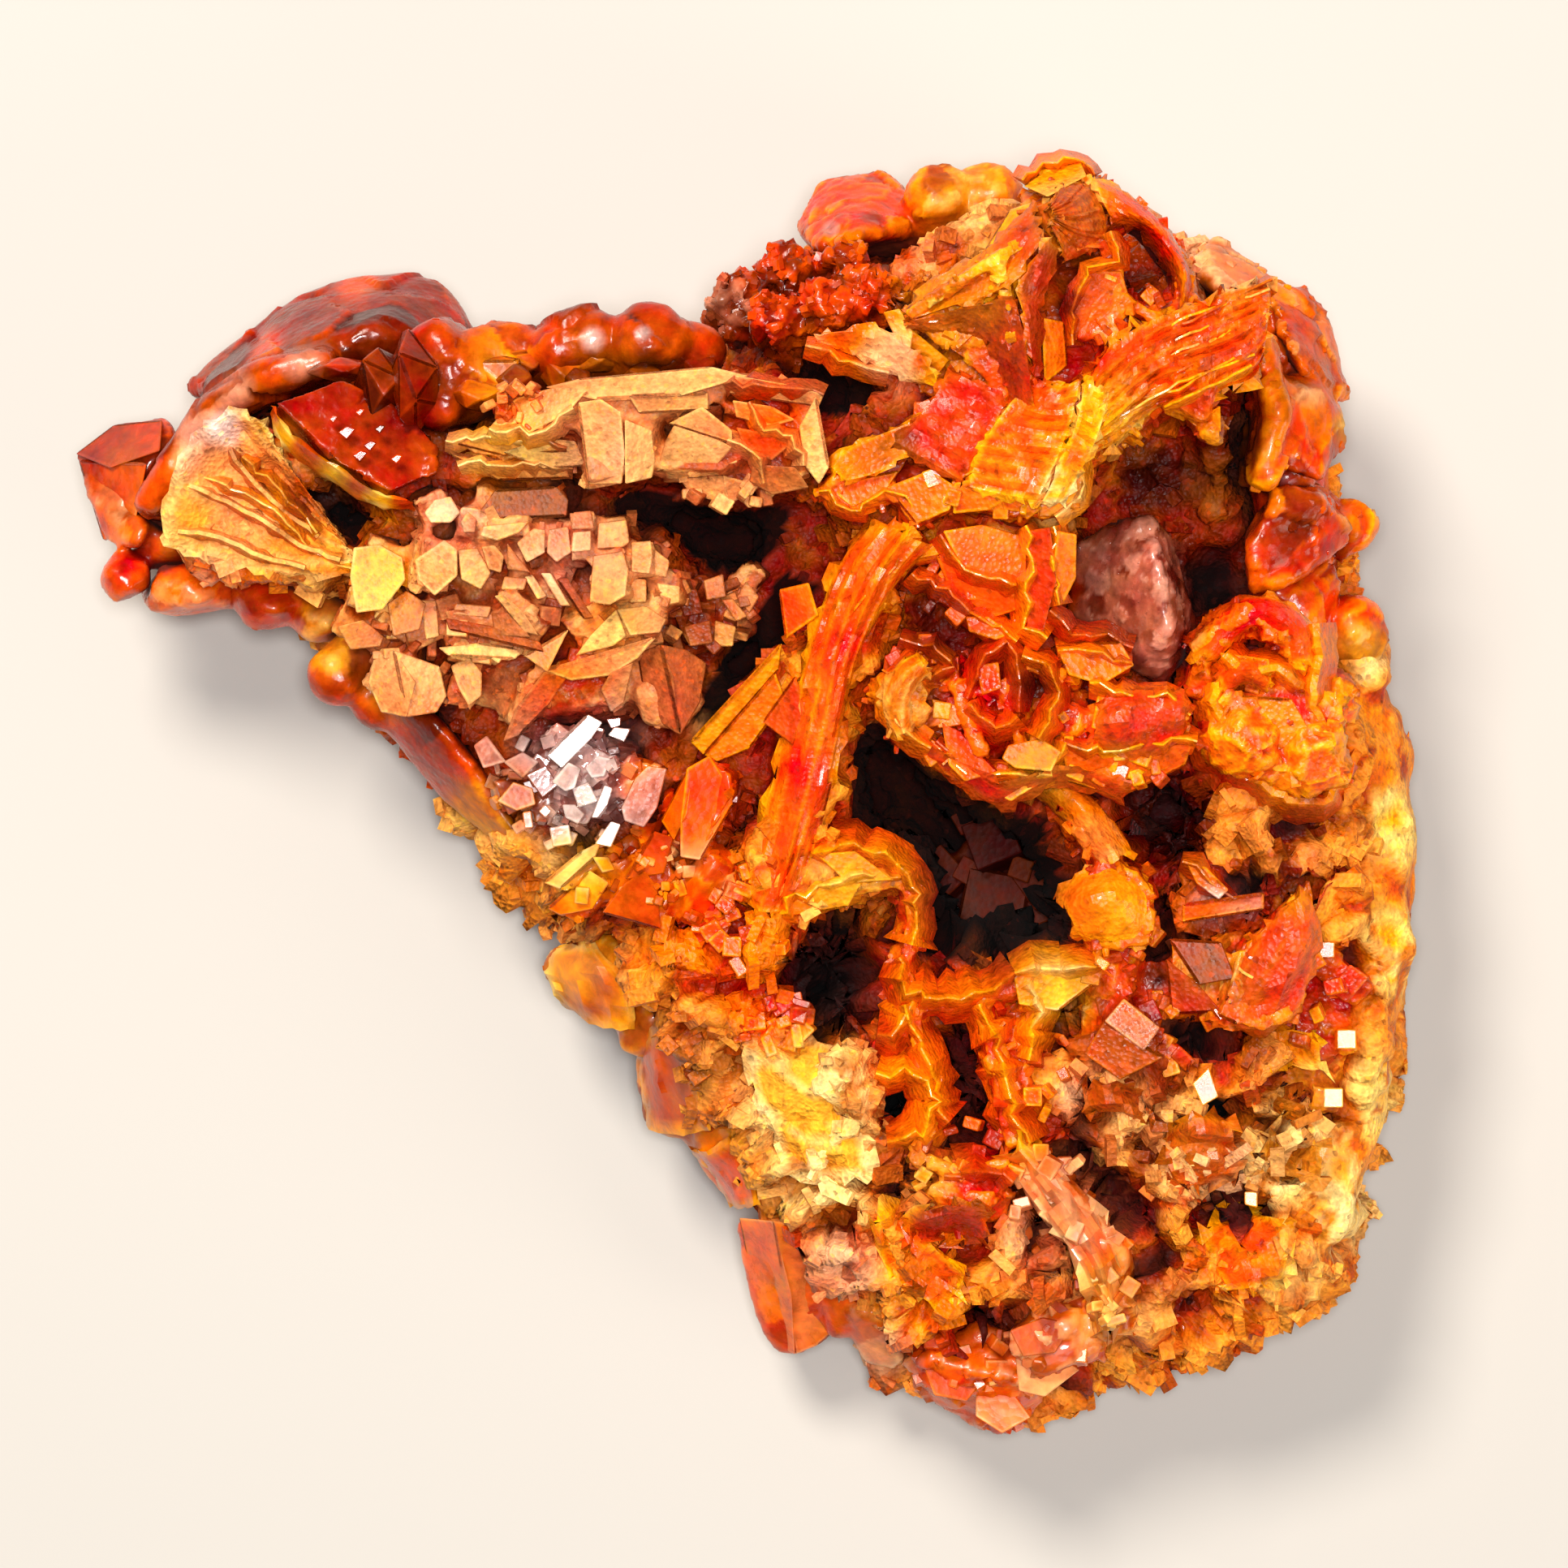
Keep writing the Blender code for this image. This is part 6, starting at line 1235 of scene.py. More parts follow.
def boxwork_crystals():
    """The star blade, the ribbed fan, the arch, the triangular blade and the blades around them."""
    pieces = sheets((
        ((8.4, 18.6, 14.4), (9.2, 19.2, 13.9), (10.1, 19.6, 13.3), (10.3, 18.9, 14.4), (9.1, 18.2, 15.4)),
        ((8.7, 17.9, 15.3), (9.3, 18.1, 15.7), (9.6, 17.5, 16.1), (9.2, 16.9, 15.9), (8.8, 17.4, 15.4)),
        ((8.0, 17.9, 14.4), (8.7, 18.1, 14.9), (8.8, 17.3, 15.4), (7.9, 17.1, 15.0), (7.2, 16.6, 14.6)),
        ((8.9, 14.6, 15.7), (9.6, 14.5, 15.0), (9.7, 13.2, 15.0), (9.0, 12.6, 15.4)),
        ((9.9, 13.9, 15.0), (9.75, 14.6, 14.9), (10.3, 16.0, 15.6), (11.3, 16.0, 15.3), (
            11.5, 15.4, 14.9,
        ),
         (11.4, 14.6, 14.8)),
        (14.9, (8.85, 8.7), (9.0, 10.1), (9.4, 10.4), (10.2, 10.2), (10.1, 9.3), (9.2, 8.7)),
        (13.9, (5.8, 12.3), (7.0, 12.6), (7.7, 12.1), (7.5, 11.1), (6.6, 11.3), (6.0, 11.5)),
        (14.2, (6.0, 11.2), (6.9, 11.1), (7.5, 10.8), (7.0, 10.1), (6.3, 10.0), (5.8, 10.6)),
        (14.1, (6.2, 13.4), (7.2, 13.5), (7.4, 12.7), (6.8, 12.4), (6.2, 12.8)),
        ((2.4, 9.7, 13.6), (3.3, 9.0, 13.9), (4.3, 9.5, 14.3), (4.7, 10.1, 14.3), (3.2, 9.8, 13.8)),
        ((4.3, 9.6, 14.3), (5.6, 10.1, 14.7), (6.4, 9.6, 14.8), (6.2, 8.9, 14.6), (5.2, 8.5, 14.3),
         (4.9, 9.1, 14.3)),
        ((6.3, 9.7, 14.8), (7.6, 10.0, 15.2), (8.2, 9.4, 15.1), (7.4, 8.9, 14.7), (6.3, 8.8, 14.5)),
        ((7.6, 9.6, 15.1), (8.6, 10.3, 15.4), (9.1, 9.6, 15.1), (8.8, 8.8, 14.7), (7.8, 8.9, 14.7)),
        ((4.7, 14.6, 14.6), (5.4, 14.0, 14.8), (6.2, 13.4, 14.2), (5.9, 13.0, 14.0), (5.3, 13.2, 14.2),
         (4.6, 14.2, 14.4)),
        ((4.2, 14.8, 14.8), (4.7, 14.9, 15.0), (5.1, 14.2, 14.9), (5.0, 13.5, 14.7), (4.6, 14.0, 14.8)),
    ), thick=0.7)
    pieces += ridges((
        [(2.4, 9.6, 14.0), (3.3, 8.9, 14.2), (4.3, 9.5, 14.6), (4.9, 9.2, 14.5), (5.2, 8.4, 14.5)],
        [(2.0, 13.85, 15.2), (3.2, 13.35, 14.8), (4.3, 13.0, 14.7)],
        [(9.8, 13.9, 15.3), (9.8, 14.8, 15.4), (10.3, 16.0, 16.0), (11.2, 16.2, 15.8),
         (10.9, 17.2, 15.5)],
        [(9.3, 8.7, 15.0), (10.1, 9.3, 15.1), (10.2, 10.3, 15.2), (9.7, 11.2, 15.5)],
        [(8.3, 18.7, 14.8), (9.2, 19.3, 14.4), (10.1, 19.6, 13.9), (10.6, 19.0, 14.2)],
        [(5.5, 11.4, 14.5), (5.8, 10.6, 14.5), (6.4, 9.9, 14.8), (7.4, 10.0, 15.2)],
    ), depth=0.9, base=0.75)
    # the star blade's three webs, and the cream sliver at its side
    pieces += leaves((
        [[(4.85, 14.75, 15.2), (5.6, 15.75, 15.3), (6.8, 16.45, 15.6), (7.9, 17.2, 16.0),
          (8.7, 18.0, 15.9)],
         [(4.9, 14.6, 15.4), (5.9, 15.2, 15.6), (6.9, 15.6, 15.9), (7.9, 16.3, 16.3), (8.8, 17.5, 16.3)],
         [(4.95, 14.5, 15.5), (6.2, 14.85, 16.1), (7.3, 15.15, 16.5), (8.1, 15.6, 16.85),
          (9.0, 17.0, 16.8)]],
        [[(4.95, 14.5, 15.5), (6.2, 14.8, 16.1), (7.3, 15.05, 16.5), (8.05, 15.2, 16.85),
          (8.35, 14.2, 16.7),
          (8.55, 13.0, 16.3), (8.7, 11.9, 15.9)],
         [(4.95, 14.45, 15.4), (6.0, 14.45, 15.6), (6.9, 14.55, 15.9), (7.7, 14.4, 16.3),
          (8.0, 13.7, 16.2),
          (8.2, 12.8, 15.9), (8.55, 11.8, 15.6)],
         [(4.9, 14.35, 15.2), (5.7, 14.15, 15.2), (6.6, 14.0, 15.3), (7.35, 13.75, 15.5),
          (7.6, 13.1, 15.4),
          (8.0, 12.3, 15.3), (8.4, 11.7, 15.2)]],
        [[(9.0, 17.0, 16.8), (8.2, 15.5, 16.85), (8.4, 14.3, 16.8), (8.6, 12.9, 16.3)],
         [(9.5, 16.5, 16.1), (8.9, 15.2, 16.1), (8.95, 14.2, 15.9), (8.95, 13.0, 15.7)]],
    ), depth=0.0)
    # the ribbed fan
    pieces += leaf(
        [[(9.4, 18.5, 14.9), (10.2, 18.7, 14.5), (10.8, 18.0, 14.5), (10.9, 17.2, 14.7),
          (10.4, 16.6, 15.2),
          (9.6, 16.2, 15.8)],
         [(9.25, 18.1, 15.7), (9.7, 18.1, 15.6), (10.0, 17.7, 15.6), (10.0, 17.2, 15.7),
          (9.8, 16.9, 15.9),
          (9.4, 16.7, 16.3)],
         [(9.05, 17.8, 16.2), (9.15, 17.75, 16.2), (9.2, 17.6, 16.2), (9.2, 17.5, 16.3),
          (9.15, 17.4, 16.4),
          (9.1, 17.3, 16.6)]],
        pleats=-14, depth=0.22, fine=9, rough=0.04,
    )
    # the arch round its red hollow
    pieces += leaf(
        [[(10.4, 19.0, 14.0), (11.4, 18.6, 13.7), (12.3, 17.9, 13.5), (13.1, 17.0, 13.4),
          (13.5, 15.9, 13.7),
          (13.4, 14.9, 14.3)],
         [(10.6, 18.3, 14.8), (11.3, 18.0, 14.8), (12.2, 17.5, 14.7), (12.8, 16.8, 14.6),
          (13.2, 15.9, 14.7),
          (13.1, 15.0, 14.9)],
         [(11.1, 17.4, 14.2), (11.6, 17.4, 13.8), (12.1, 17.2, 13.5), (12.5, 16.5, 13.4),
          (12.9, 15.8, 13.5),
          (13.0, 15.1, 13.9)]],
    )
    # the feathered band: pleats run along it and its lower edge is toothed
    pieces += leaf(
        [[(10.1, 10.4, 15.0), (11.1, 10.8, 14.9), (12.0, 11.55, 14.8), (12.7, 11.9, 14.8),
          (13.9, 11.15, 14.4),
          (14.2, 12.3, 14.6), (15.3, 12.8, 14.4), (15.6, 13.5, 14.4)],
         [(10.0, 11.0, 15.6), (10.9, 11.6, 15.7), (11.8, 12.4, 15.8), (12.6, 12.9, 15.8),
          (13.5, 13.1, 15.6),
          (14.2, 13.4, 15.4), (15.1, 13.8, 15.1), (15.7, 14.3, 14.9)],
         [(10.1, 11.8, 15.7), (10.9, 12.6, 16.0), (11.7, 13.3, 16.1), (12.5, 13.8, 16.0),
          (13.3, 14.1, 15.8),
          (14.1, 14.4, 15.6), (15.0, 14.8, 15.3), (15.8, 15.2, 15.0)],
         [(10.3, 13.0, 15.4), (10.8, 13.7, 15.6), (11.6, 14.3, 15.7), (12.4, 14.7, 15.6),
          (13.2, 15.0, 15.4),
          (14.0, 15.3, 15.2), (14.9, 15.6, 14.9), (15.7, 15.7, 14.6)]],
        pleats=9, depth=0.45, fine=7, ragged=0.3, rough=0.15,
    )
    # thin ridges along the band, side by side
    for k, share in enumerate(np.linspace(0, 1, 9)):
        a = np.array([10.4, 10.9, 15.8]) * (1 - share) + np.array([10.6, 13.6, 15.8]) * share
        b = np.array([15.2, 13.2, 15.0]) * (1 - share) + np.array([15.8, 15.8, 14.9]) * share
        middle = (a + b) / 2 + np.array([0.1, 0.3 * math.sin(k * 2.1), 0.5])
        reach = 0.25 + 0.5 * abs(math.sin(k * 1.9))
        start = a + (b - a) * (1 - reach) * 0.6
        pieces += ridge([start, middle, b], 0.7, 0.4, rim=0.06, ragged=0.05, seed=70 + k)
    # blades at the left: an orange one, the silvery one over the black hollow
    pieces += leaves((
        [[(2.4, 10.3, 13.8), (3.4, 10.95, 14.1), (4.4, 11.35, 14.3), (5.5, 11.8, 14.4)],
         [(2.7, 10.0, 14.1), (3.6, 10.4, 14.2), (4.6, 10.9, 14.4), (5.6, 11.4, 14.5)],
         [(3.0, 9.75, 14.3), (4.0, 9.95, 14.6), (4.9, 10.5, 14.8), (5.7, 11.0, 14.9)]],
        [[(2.2, 14.15, 15.2), (3.2, 14.3, 15.4), (4.2, 14.4, 15.4), (5.2, 13.6, 15.2), (5.9, 12.9, 15.0)],
         [(2.3, 13.85, 14.8), (3.2, 13.6, 14.7), (4.0, 13.15, 14.6), (5.0, 12.7, 14.5),
          (5.9, 12.5, 14.6)]],
    ), depth=0.0)
    # two webs with slanting pleats meet along a spine
    pieces += leaves((
        [[(6.6, 9.5, 14.9), (7.0, 10.8, 15.1), (7.9, 12.1, 15.3), (8.8, 12.9, 15.4)],
         [(7.8, 9.2, 15.3), (8.4, 10.6, 15.7), (8.9, 11.7, 15.9), (9.4, 12.6, 15.9)],
         [(8.8, 9.0, 15.5), (9.5, 10.5, 15.9), (9.9, 11.7, 16.1), (10.1, 12.8, 16.1)]],
        [[(8.8, 9.0, 15.5), (9.5, 10.5, 15.9), (9.9, 11.7, 16.1), (10.1, 12.8, 16.1)],
         [(9.6, 9.0, 15.2), (10.2, 10.1, 15.5), (10.7, 11.2, 15.8), (11.0, 12.4, 16.0)]],
        [[(4.4, 10.9, 14.6), (5.4, 12.0, 14.8), (6.2, 13.2, 15.0)],
         [(5.4, 10.3, 14.9), (6.4, 11.4, 15.1), (7.3, 12.6, 15.3)],
         [(6.6, 9.6, 14.9), (7.2, 10.8, 15.0), (7.9, 12.0, 15.2)]],
    ), pleats=-11, depth=0.3, fine=7)
    pieces += rubble(56, 30, (7.6, 9.9), (2.0, 1.2), 14.7, 0.55)
    pieces += rubble(57, 30, (12.8, 14.4), (2.4, 1.2), 14.9, 0.5)
    pieces += rubble(58, 22, (6.4, 11.6), (1.2, 1.6), 13.6, 0.6)
    pieces += rubble(59, 16, (9.4, 18.4), (1.2, 0.7), 14.3, 0.4)
    return pieces


def shelf_crystals():
    """The curl, the open boxes, the crust plate, the paired upright blades and the orange bulges."""
    pieces = sheets((
        (13.8, (6.0, 8.3), (7.2, 8.5), (8.3, 8.2), (8.6, 7.5), (8.2, 6.7), (7.6, 6.8), (6.5, 7.3)),
        ((5.8, 7.6, 13.4), (6.3, 7.3, 13.6), (8.2, 6.5, 13.5), (8.4, 6.0, 13.2), (7.5, 5.7, 12.9),
         (6.2, 6.6, 12.9)),
        (13.5, (6.7, 5.75), (7.4, 5.75), (8.1, 5.2), (7.6, 5.05), (6.8, 5.3)),
        ((8.5, 8.3, 14.4), (9.2, 8.4, 14.6), (9.4, 6.8, 14.4), (9.0, 5.2, 13.7), (8.5, 5.4, 13.5),
         (8.6, 6.8, 14.0)),
        ((9.4, 8.3, 14.5), (10.0, 8.2, 14.3), (10.0, 6.9, 14.0), (9.6, 6.1, 13.7), (9.25, 6.8, 14.2)),
        ((9.4, 4.9, 13.0), (11.4, 5.0, 13.0), (11.8, 4.3, 12.8), (10.8, 3.7, 13.2), (9.8, 4.0, 13.4)),
        ((10.7, 3.5, 12.9), (11.5, 3.3, 13.3), (11.2, 2.2, 13.1), (10.5, 2.4, 12.8)),
        ((11.5, 3.4, 13.3), (13.0, 3.3, 13.0), (13.5, 2.7, 12.6), (12.4, 2.0, 12.7), (11.2, 1.8, 12.7),
         (11.2, 2.4, 13.1)),
        ((9.6, 1.9, 12.6), (10.8, 1.6, 12.7), (12.3, 1.7, 12.6), (13.6, 2.0, 12.3), (13.4, 1.3, 11.8),
         (11.4, 0.3, 11.6), (9.8, 0.8, 12.0)),
        (13.0, (8.0, 1.9), (9.0, 2.1), (9.6, 1.7), (9.3, 1.1), (8.2, 1.2), (7.8, 1.5)),
        (12.7, (6.0, 2.6), (6.6, 2.3), (7.1, 1.6), (7.7, 1.1), (6.7, 0.8), (6.2, 1.3)),
        (12.6, (5.7, 3.3), (6.5, 3.1), (6.6, 2.5), (5.9, 2.4)),
        ((4.3, 3.7, 12.6), (4.9, 4.1, 12.9), (5.2, 3.4, 12.7), (5.0, 2.8, 12.5), (4.3, 2.8, 12.5)),
        ((4.3, 2.7, 12.6), (5.0, 2.9, 12.8), (5.8, 2.3, 12.8), (5.5, 1.75, 12.5), (4.9, 1.9, 12.4)),
        (13.3, (7.0, 4.3), (7.7, 4.4), (7.8, 3.6), (7.2, 3.4)),
        (12.2, (6.9, 0.75), (8.2, 0.95), (8.9, 0.7), (8.1, 0.2)),
    ), thick=0.6)
    pieces += ridges((
        [(5.5, 4.5, 13.2), (4.6, 4.1, 13.4), (4.3, 3.1, 13.4), (4.8, 2.2, 13.3), (5.6, 1.8, 13.2)],
        [(6.7, 3.3, 13.3), (7.2, 2.7, 13.5), (7.9, 2.4, 13.5), (8.3, 2.7, 13.5)],
        [(6.7, 3.4, 13.3), (7.2, 4.5, 13.6), (8.0, 5.0, 13.8), (8.3, 4.4, 13.8), (8.25, 2.9, 13.6)],
        [(8.4, 4.5, 13.7), (9.2, 4.4, 13.8), (9.5, 3.5, 13.6), (9.2, 2.6, 13.4), (8.9, 2.0, 13.3)],
        [(5.0, 7.1, 13.7), (6.2, 6.5, 13.8), (7.2, 5.7, 13.7), (8.3, 5.1, 13.7)],
        [(6.0, 8.2, 14.2), (6.4, 7.3, 14.1), (7.6, 6.8, 14.2), (8.3, 6.6, 14.1)],
        [(8.5, 8.4, 14.6), (8.6, 7.0, 14.4), (8.5, 5.5, 13.9), (9.1, 5.1, 13.8)],
        [(9.35, 8.4, 14.6), (9.3, 7.0, 14.5), (9.6, 6.1, 14.1)],
        [(9.4, 4.7, 13.4), (10.4, 4.7, 13.5), (11.7, 4.3, 13.2)],
        [(10.5, 3.8, 13.4), (11.4, 3.4, 13.6), (12.8, 3.4, 13.3), (13.5, 2.7, 12.9)],
        [(9.6, 1.9, 13.0), (10.6, 1.8, 13.1), (11.2, 1.7, 13.1), (12.4, 1.9, 13.0), (13.6, 2.1, 12.7)],
        [(5.9, 2.0, 12.9), (6.4, 1.2, 12.8), (7.7, 1.0, 12.8), (9.2, 1.0, 12.8), (9.7, 1.9, 13.0)],
        [(4.7, 5.0, 12.9), (5.7, 4.9, 13.2), (6.4, 4.2, 13.1), (5.4, 3.9, 12.9)],
        [(9.3, 5.9, 13.8), (9.9, 5.2, 13.4), (10.9, 5.2, 13.1), (11.8, 4.8, 12.8)],
    ), depth=1.1, base=0.9)
    pieces += rubble(61, 30, (7.6, 2.2), (2.6, 1.2), 12.4, 0.5)
    pieces += rubble(62, 30, (11.4, 1.6), (2.0, 1.0), 12.2, 0.5)
    pieces += rubble(63, 30, (7.4, 6.6), (1.9, 1.4), 12.9, 0.55)
    pieces += rubble(64, 20, (5.4, 4.0), (1.0, 1.2), 12.2, 0.5)
    return pieces + shelf_leaves()


def crown_lumps():
    """Faceted red crystals on the arm's back: the standing one with a tan rim and the rough row."""
    pieces = []
    for k, (x, y, z, wide, high, tall) in enumerate((
        (-9.9, 12.9, 11.2, 0.8, 1.7, 1.5), (-11.0, 12.9, 10.9, 0.7, 1.1, 1.4),
        (-8.8, 13.7, 10.4, 1.1, 0.9, 1.0),
        (-7.6, 13.2, 10.9, 1.1, 0.8, 0.9), (-6.5, 13.6, 10.6, 0.9, 0.7, 1.0),
        (-5.4, 13.3, 10.8, 0.9, 0.8, 1.0),
        (-4.4, 13.7, 10.8, 1.0, 0.7, 1.0), (-3.4, 13.9, 10.8, 1.0, 0.6, 1.0),
        (-2.3, 13.6, 10.9, 0.9, 0.6, 1.0),
        (-1.4, 13.4, 10.8, 0.7, 0.6, 0.9), (-8.0, 12.5, 11.4, 0.8, 0.5, 0.8),
        (-12.2, 13.3, 10.6, 0.9, 0.4, 0.8),
        (-6.9, 12.9, 11.4, 0.6, 0.5, 0.7), (-5.0, 12.9, 11.4, 0.5, 0.4, 0.7),
        (-3.0, 13.1, 11.4, 0.6, 0.4, 0.7),
    )):
        pieces += lump((x, y, z + 0.45), (wide * 1.15, high * 1.15, tall), count=13, seed=20 + k)
    return pieces


def tabular_rim():
    """The orange rim below the tabular crystal's face and the sugary white patches on it."""
    pieces = leaf(
        [[(-14.2, 12.2, 12.4), (-13.6, 11.3, 12.6), (-12.2, 10.3, 12.9), (-10.9, 9.5, 12.9),
          (-10.0, 9.3, 12.6)],
         [(-14.3, 11.8, 11.7), (-13.9, 10.9, 11.7), (-12.5, 9.9, 11.9), (-11.1, 9.1, 11.9),
          (-9.9, 9.0, 11.8)]],
        thick=0.4, ragged=0.06, rough=0.08,
    )
    for x, y, wide in (
        (-11.9, 11.3, 0.28), (-11.2, 10.9, 0.22), (-11.5, 11.9, 0.16), (-10.4, 10.5, 0.2),
        (-12.3, 11.7, 0.16), (-11.5, 10.6, 0.24), (-10.9, 11.4, 0.18),
    ):
        pieces += flashing(
            [(x - wide, y), (x, y + wide * 0.7), (x + wide, y + 0.1), (x, y - wide * 0.8)], 13.1, 0.3,
        )
    return pieces


def tip_facets():
    """The pointed red corner and the peach face of the arm's end."""
    return sheets((
        ((-20.8, 11.0, 5.4), (-19.6, 11.9, 5.8), (-18.0, 12.0, 6.6), (-18.0, 11.0, 7.5),
         (-19.6, 10.5, 7.0)),
        ((-20.7, 10.8, 5.6), (-19.6, 10.4, 7.0), (-18.4, 10.6, 7.5), (-18.9, 8.4, 7.0), (-19.9, 8.3, 6.0),
         (-20.3, 9.8, 5.6)),
    ), thick=1.6)


def edge_points():
    """Smooth translucent points along the left edge of the rock, high inside and low outside."""
    return leaves((
        [[(-3.4, -6.9, 6.8), (-3.5, -5.6, 7.4), (-4.6, -4.2, 7.0)],
         [(-4.6, -6.8, 5.8), (-4.9, -5.4, 6.4), (-5.3, -4.2, 6.0)],
         [(-5.7, -6.2, 4.4), (-6.25, -5.2, 4.6), (-6.05, -4.5, 4.6)]],
        [[(-2.6, -6.6, 7.2), (-1.5, -8.2, 7.6), (-1.0, -10.0, 7.0)],
         [(-3.1, -7.1, 5.9), (-2.5, -8.5, 6.3), (-1.9, -10.2, 5.8)],
         [(-3.3, -7.4, 4.4), (-3.25, -8.7, 4.6), (-3.0, -10.1, 4.4)]],
        [[(-0.5, -10.2, 7.0), (0.3, -11.2, 7.1), (0.5, -12.3, 6.6)],
         [(-1.2, -10.7, 5.9), (-0.5, -11.5, 6.0), (0.0, -12.5, 5.6)],
         [(-1.8, -10.6, 4.6), (-1.1, -11.4, 4.6), (-0.4, -12.5, 4.4)]],
    ), thick=1.4, ragged=0.05, rough=0.16, depth=0.0)


def spear_facets():
    """The big salmon point: a light face and a deeper one that meet along a ridge."""
    return sheets((
        ((-0.15, -12.8, 5.0), (0.9, -12.8, 6.5), (1.5, -15.2, 5.6), (1.6, -17.2, 3.4), (0.9, -16.9, 2.9),
         (0.3, -15.2, 3.9)),
        ((0.9, -12.8, 6.5), (3.2, -13.2, 6.6), (4.0, -14.6, 5.6), (3.4, -15.9, 4.6), (2.3, -16.9, 3.4),
         (1.6, -17.2, 3.4), (1.5, -15.2, 5.6)),
    ), thick=1.4)


def shelf_leaves():
    """Smooth curled blades of the shelf: the tan curl, the orange swellings and the lip below."""
    return leaves((
        [[(4.6, 2.0, 12.8), (4.15, 3.1, 13.1), (4.5, 4.2, 13.3), (5.3, 4.75, 13.3)],
         [(4.9, 2.1, 13.3), (4.6, 3.1, 13.7), (4.9, 3.9, 13.8), (5.5, 4.4, 13.7)],
         [(5.2, 2.2, 12.9), (5.1, 3.1, 13.1), (5.3, 3.6, 13.2), (5.7, 4.1, 13.1)]],
        [[(10.6, 1.7, 12.8), (11.5, 1.5, 12.6), (12.5, 1.55, 12.5), (13.4, 2.0, 12.3)],
         [(10.6, 2.5, 13.6), (11.6, 2.6, 13.6), (12.6, 2.7, 13.4), (13.4, 2.9, 13.1)],
         [(10.8, 3.4, 13.1), (11.8, 3.7, 13.1), (12.7, 3.6, 12.9), (13.4, 3.7, 12.7)]],
        [[(4.4, 2.5, 12.2), (5.5, 1.4, 12.1), (6.4, 0.75, 12.0), (7.9, -0.05, 11.8), (9.2, 0.6, 11.8),
          (10.6, 0.5, 11.8), (11.6, 0.1, 11.7)],
         [(4.9, 2.9, 13.0), (5.9, 1.9, 13.0), (6.9, 1.3, 13.0), (8.0, 0.8, 12.9), (9.3, 1.2, 12.9),
          (10.6, 1.2, 12.8), (11.6, 0.9, 12.6)]],
    ), pleats=3, depth=0.12)


def mirror_crystals():
    """Square-edged crystals of the sparkling cluster; the level ones flash."""
    pieces = []
    for row in (
        ((-5.95, 1.6), (-4.7, 2.85), (-4.25, 2.6), (-4.6, 2.1), (-5.5, 1.2)),
        ((-4.15, 2.7), (-3.7, 2.75), (-3.7, 2.5), (-4.0, 2.4)),
        ((-4.1, 2.2), (-3.9, 2.45), (-3.4, 2.4), (-3.6, 2.0)),
        ((-4.6, -0.3), (-4.2, 0.7), (-3.95, 0.6), (-4.1, 0.1), (-4.4, -0.3)),
        ((-6.2, -0.1), (-6.0, 0.1), (-5.8, -0.1), (-6.0, -0.3)),
        ((-4.5, -1.1), (-4.0, -0.4), (-3.7, -0.5), (-4.0, -1.2)),
    ):
        pieces += flashing(row, 11.1)
    pieces += sheets((
        (11.0, (-4.8, 1.2), (-4.4, 1.6), (-4.0, 1.5), (-4.2, 0.95), (-4.6, 0.9)),
        (11.0, (-5.8, 0.8), (-5.3, 1.4), (-4.9, 1.2), (-5.1, 0.6), (-5.4, 0.5)),
        (10.6, (-5.5, 0.1), (-5.1, 0.1), (-4.8, -0.2), (-5.0, -0.5), (-5.4, -0.3)),
        (10.8, (-5.2, 0.6), (-4.7, 0.8), (-4.4, 0.2), (-5.0, 0.0)),
        (10.4, (-7.5, 0.2), (-7.0, 0.8), (-6.4, 0.6), (-6.3, 0.1), (-6.9, -0.1)),
        (10.6, (-6.6, 1.0), (-6.0, 1.3), (-5.6, 0.7), (-6.1, 0.3)),
        (10.6, (-7.3, 1.4), (-6.7, 1.7), (-6.2, 1.4), (-6.7, 0.9)),
        (10.8, (-3.7, 0.0), (-3.3, 0.9), (-2.9, 1.3), (-2.3, 1.2), (-2.6, 0.0), (-3.0, -0.6),
         (-3.6, -0.4)),
        (10.5, (-8.2, 1.9), (-7.8, 2.2), (-7.2, 1.4), (-7.9, 1.2)),
        (10.3, (-5.9, -0.6), (-5.3, -0.5), (-5.2, -1.1), (-5.8, -1.2)),
    ), thick=0.6)
    pieces += rubble(65, 40, (-5.4, 0.6), (2.4, 1.9), 10.2, 0.42, tilt=0.25)
    return pieces


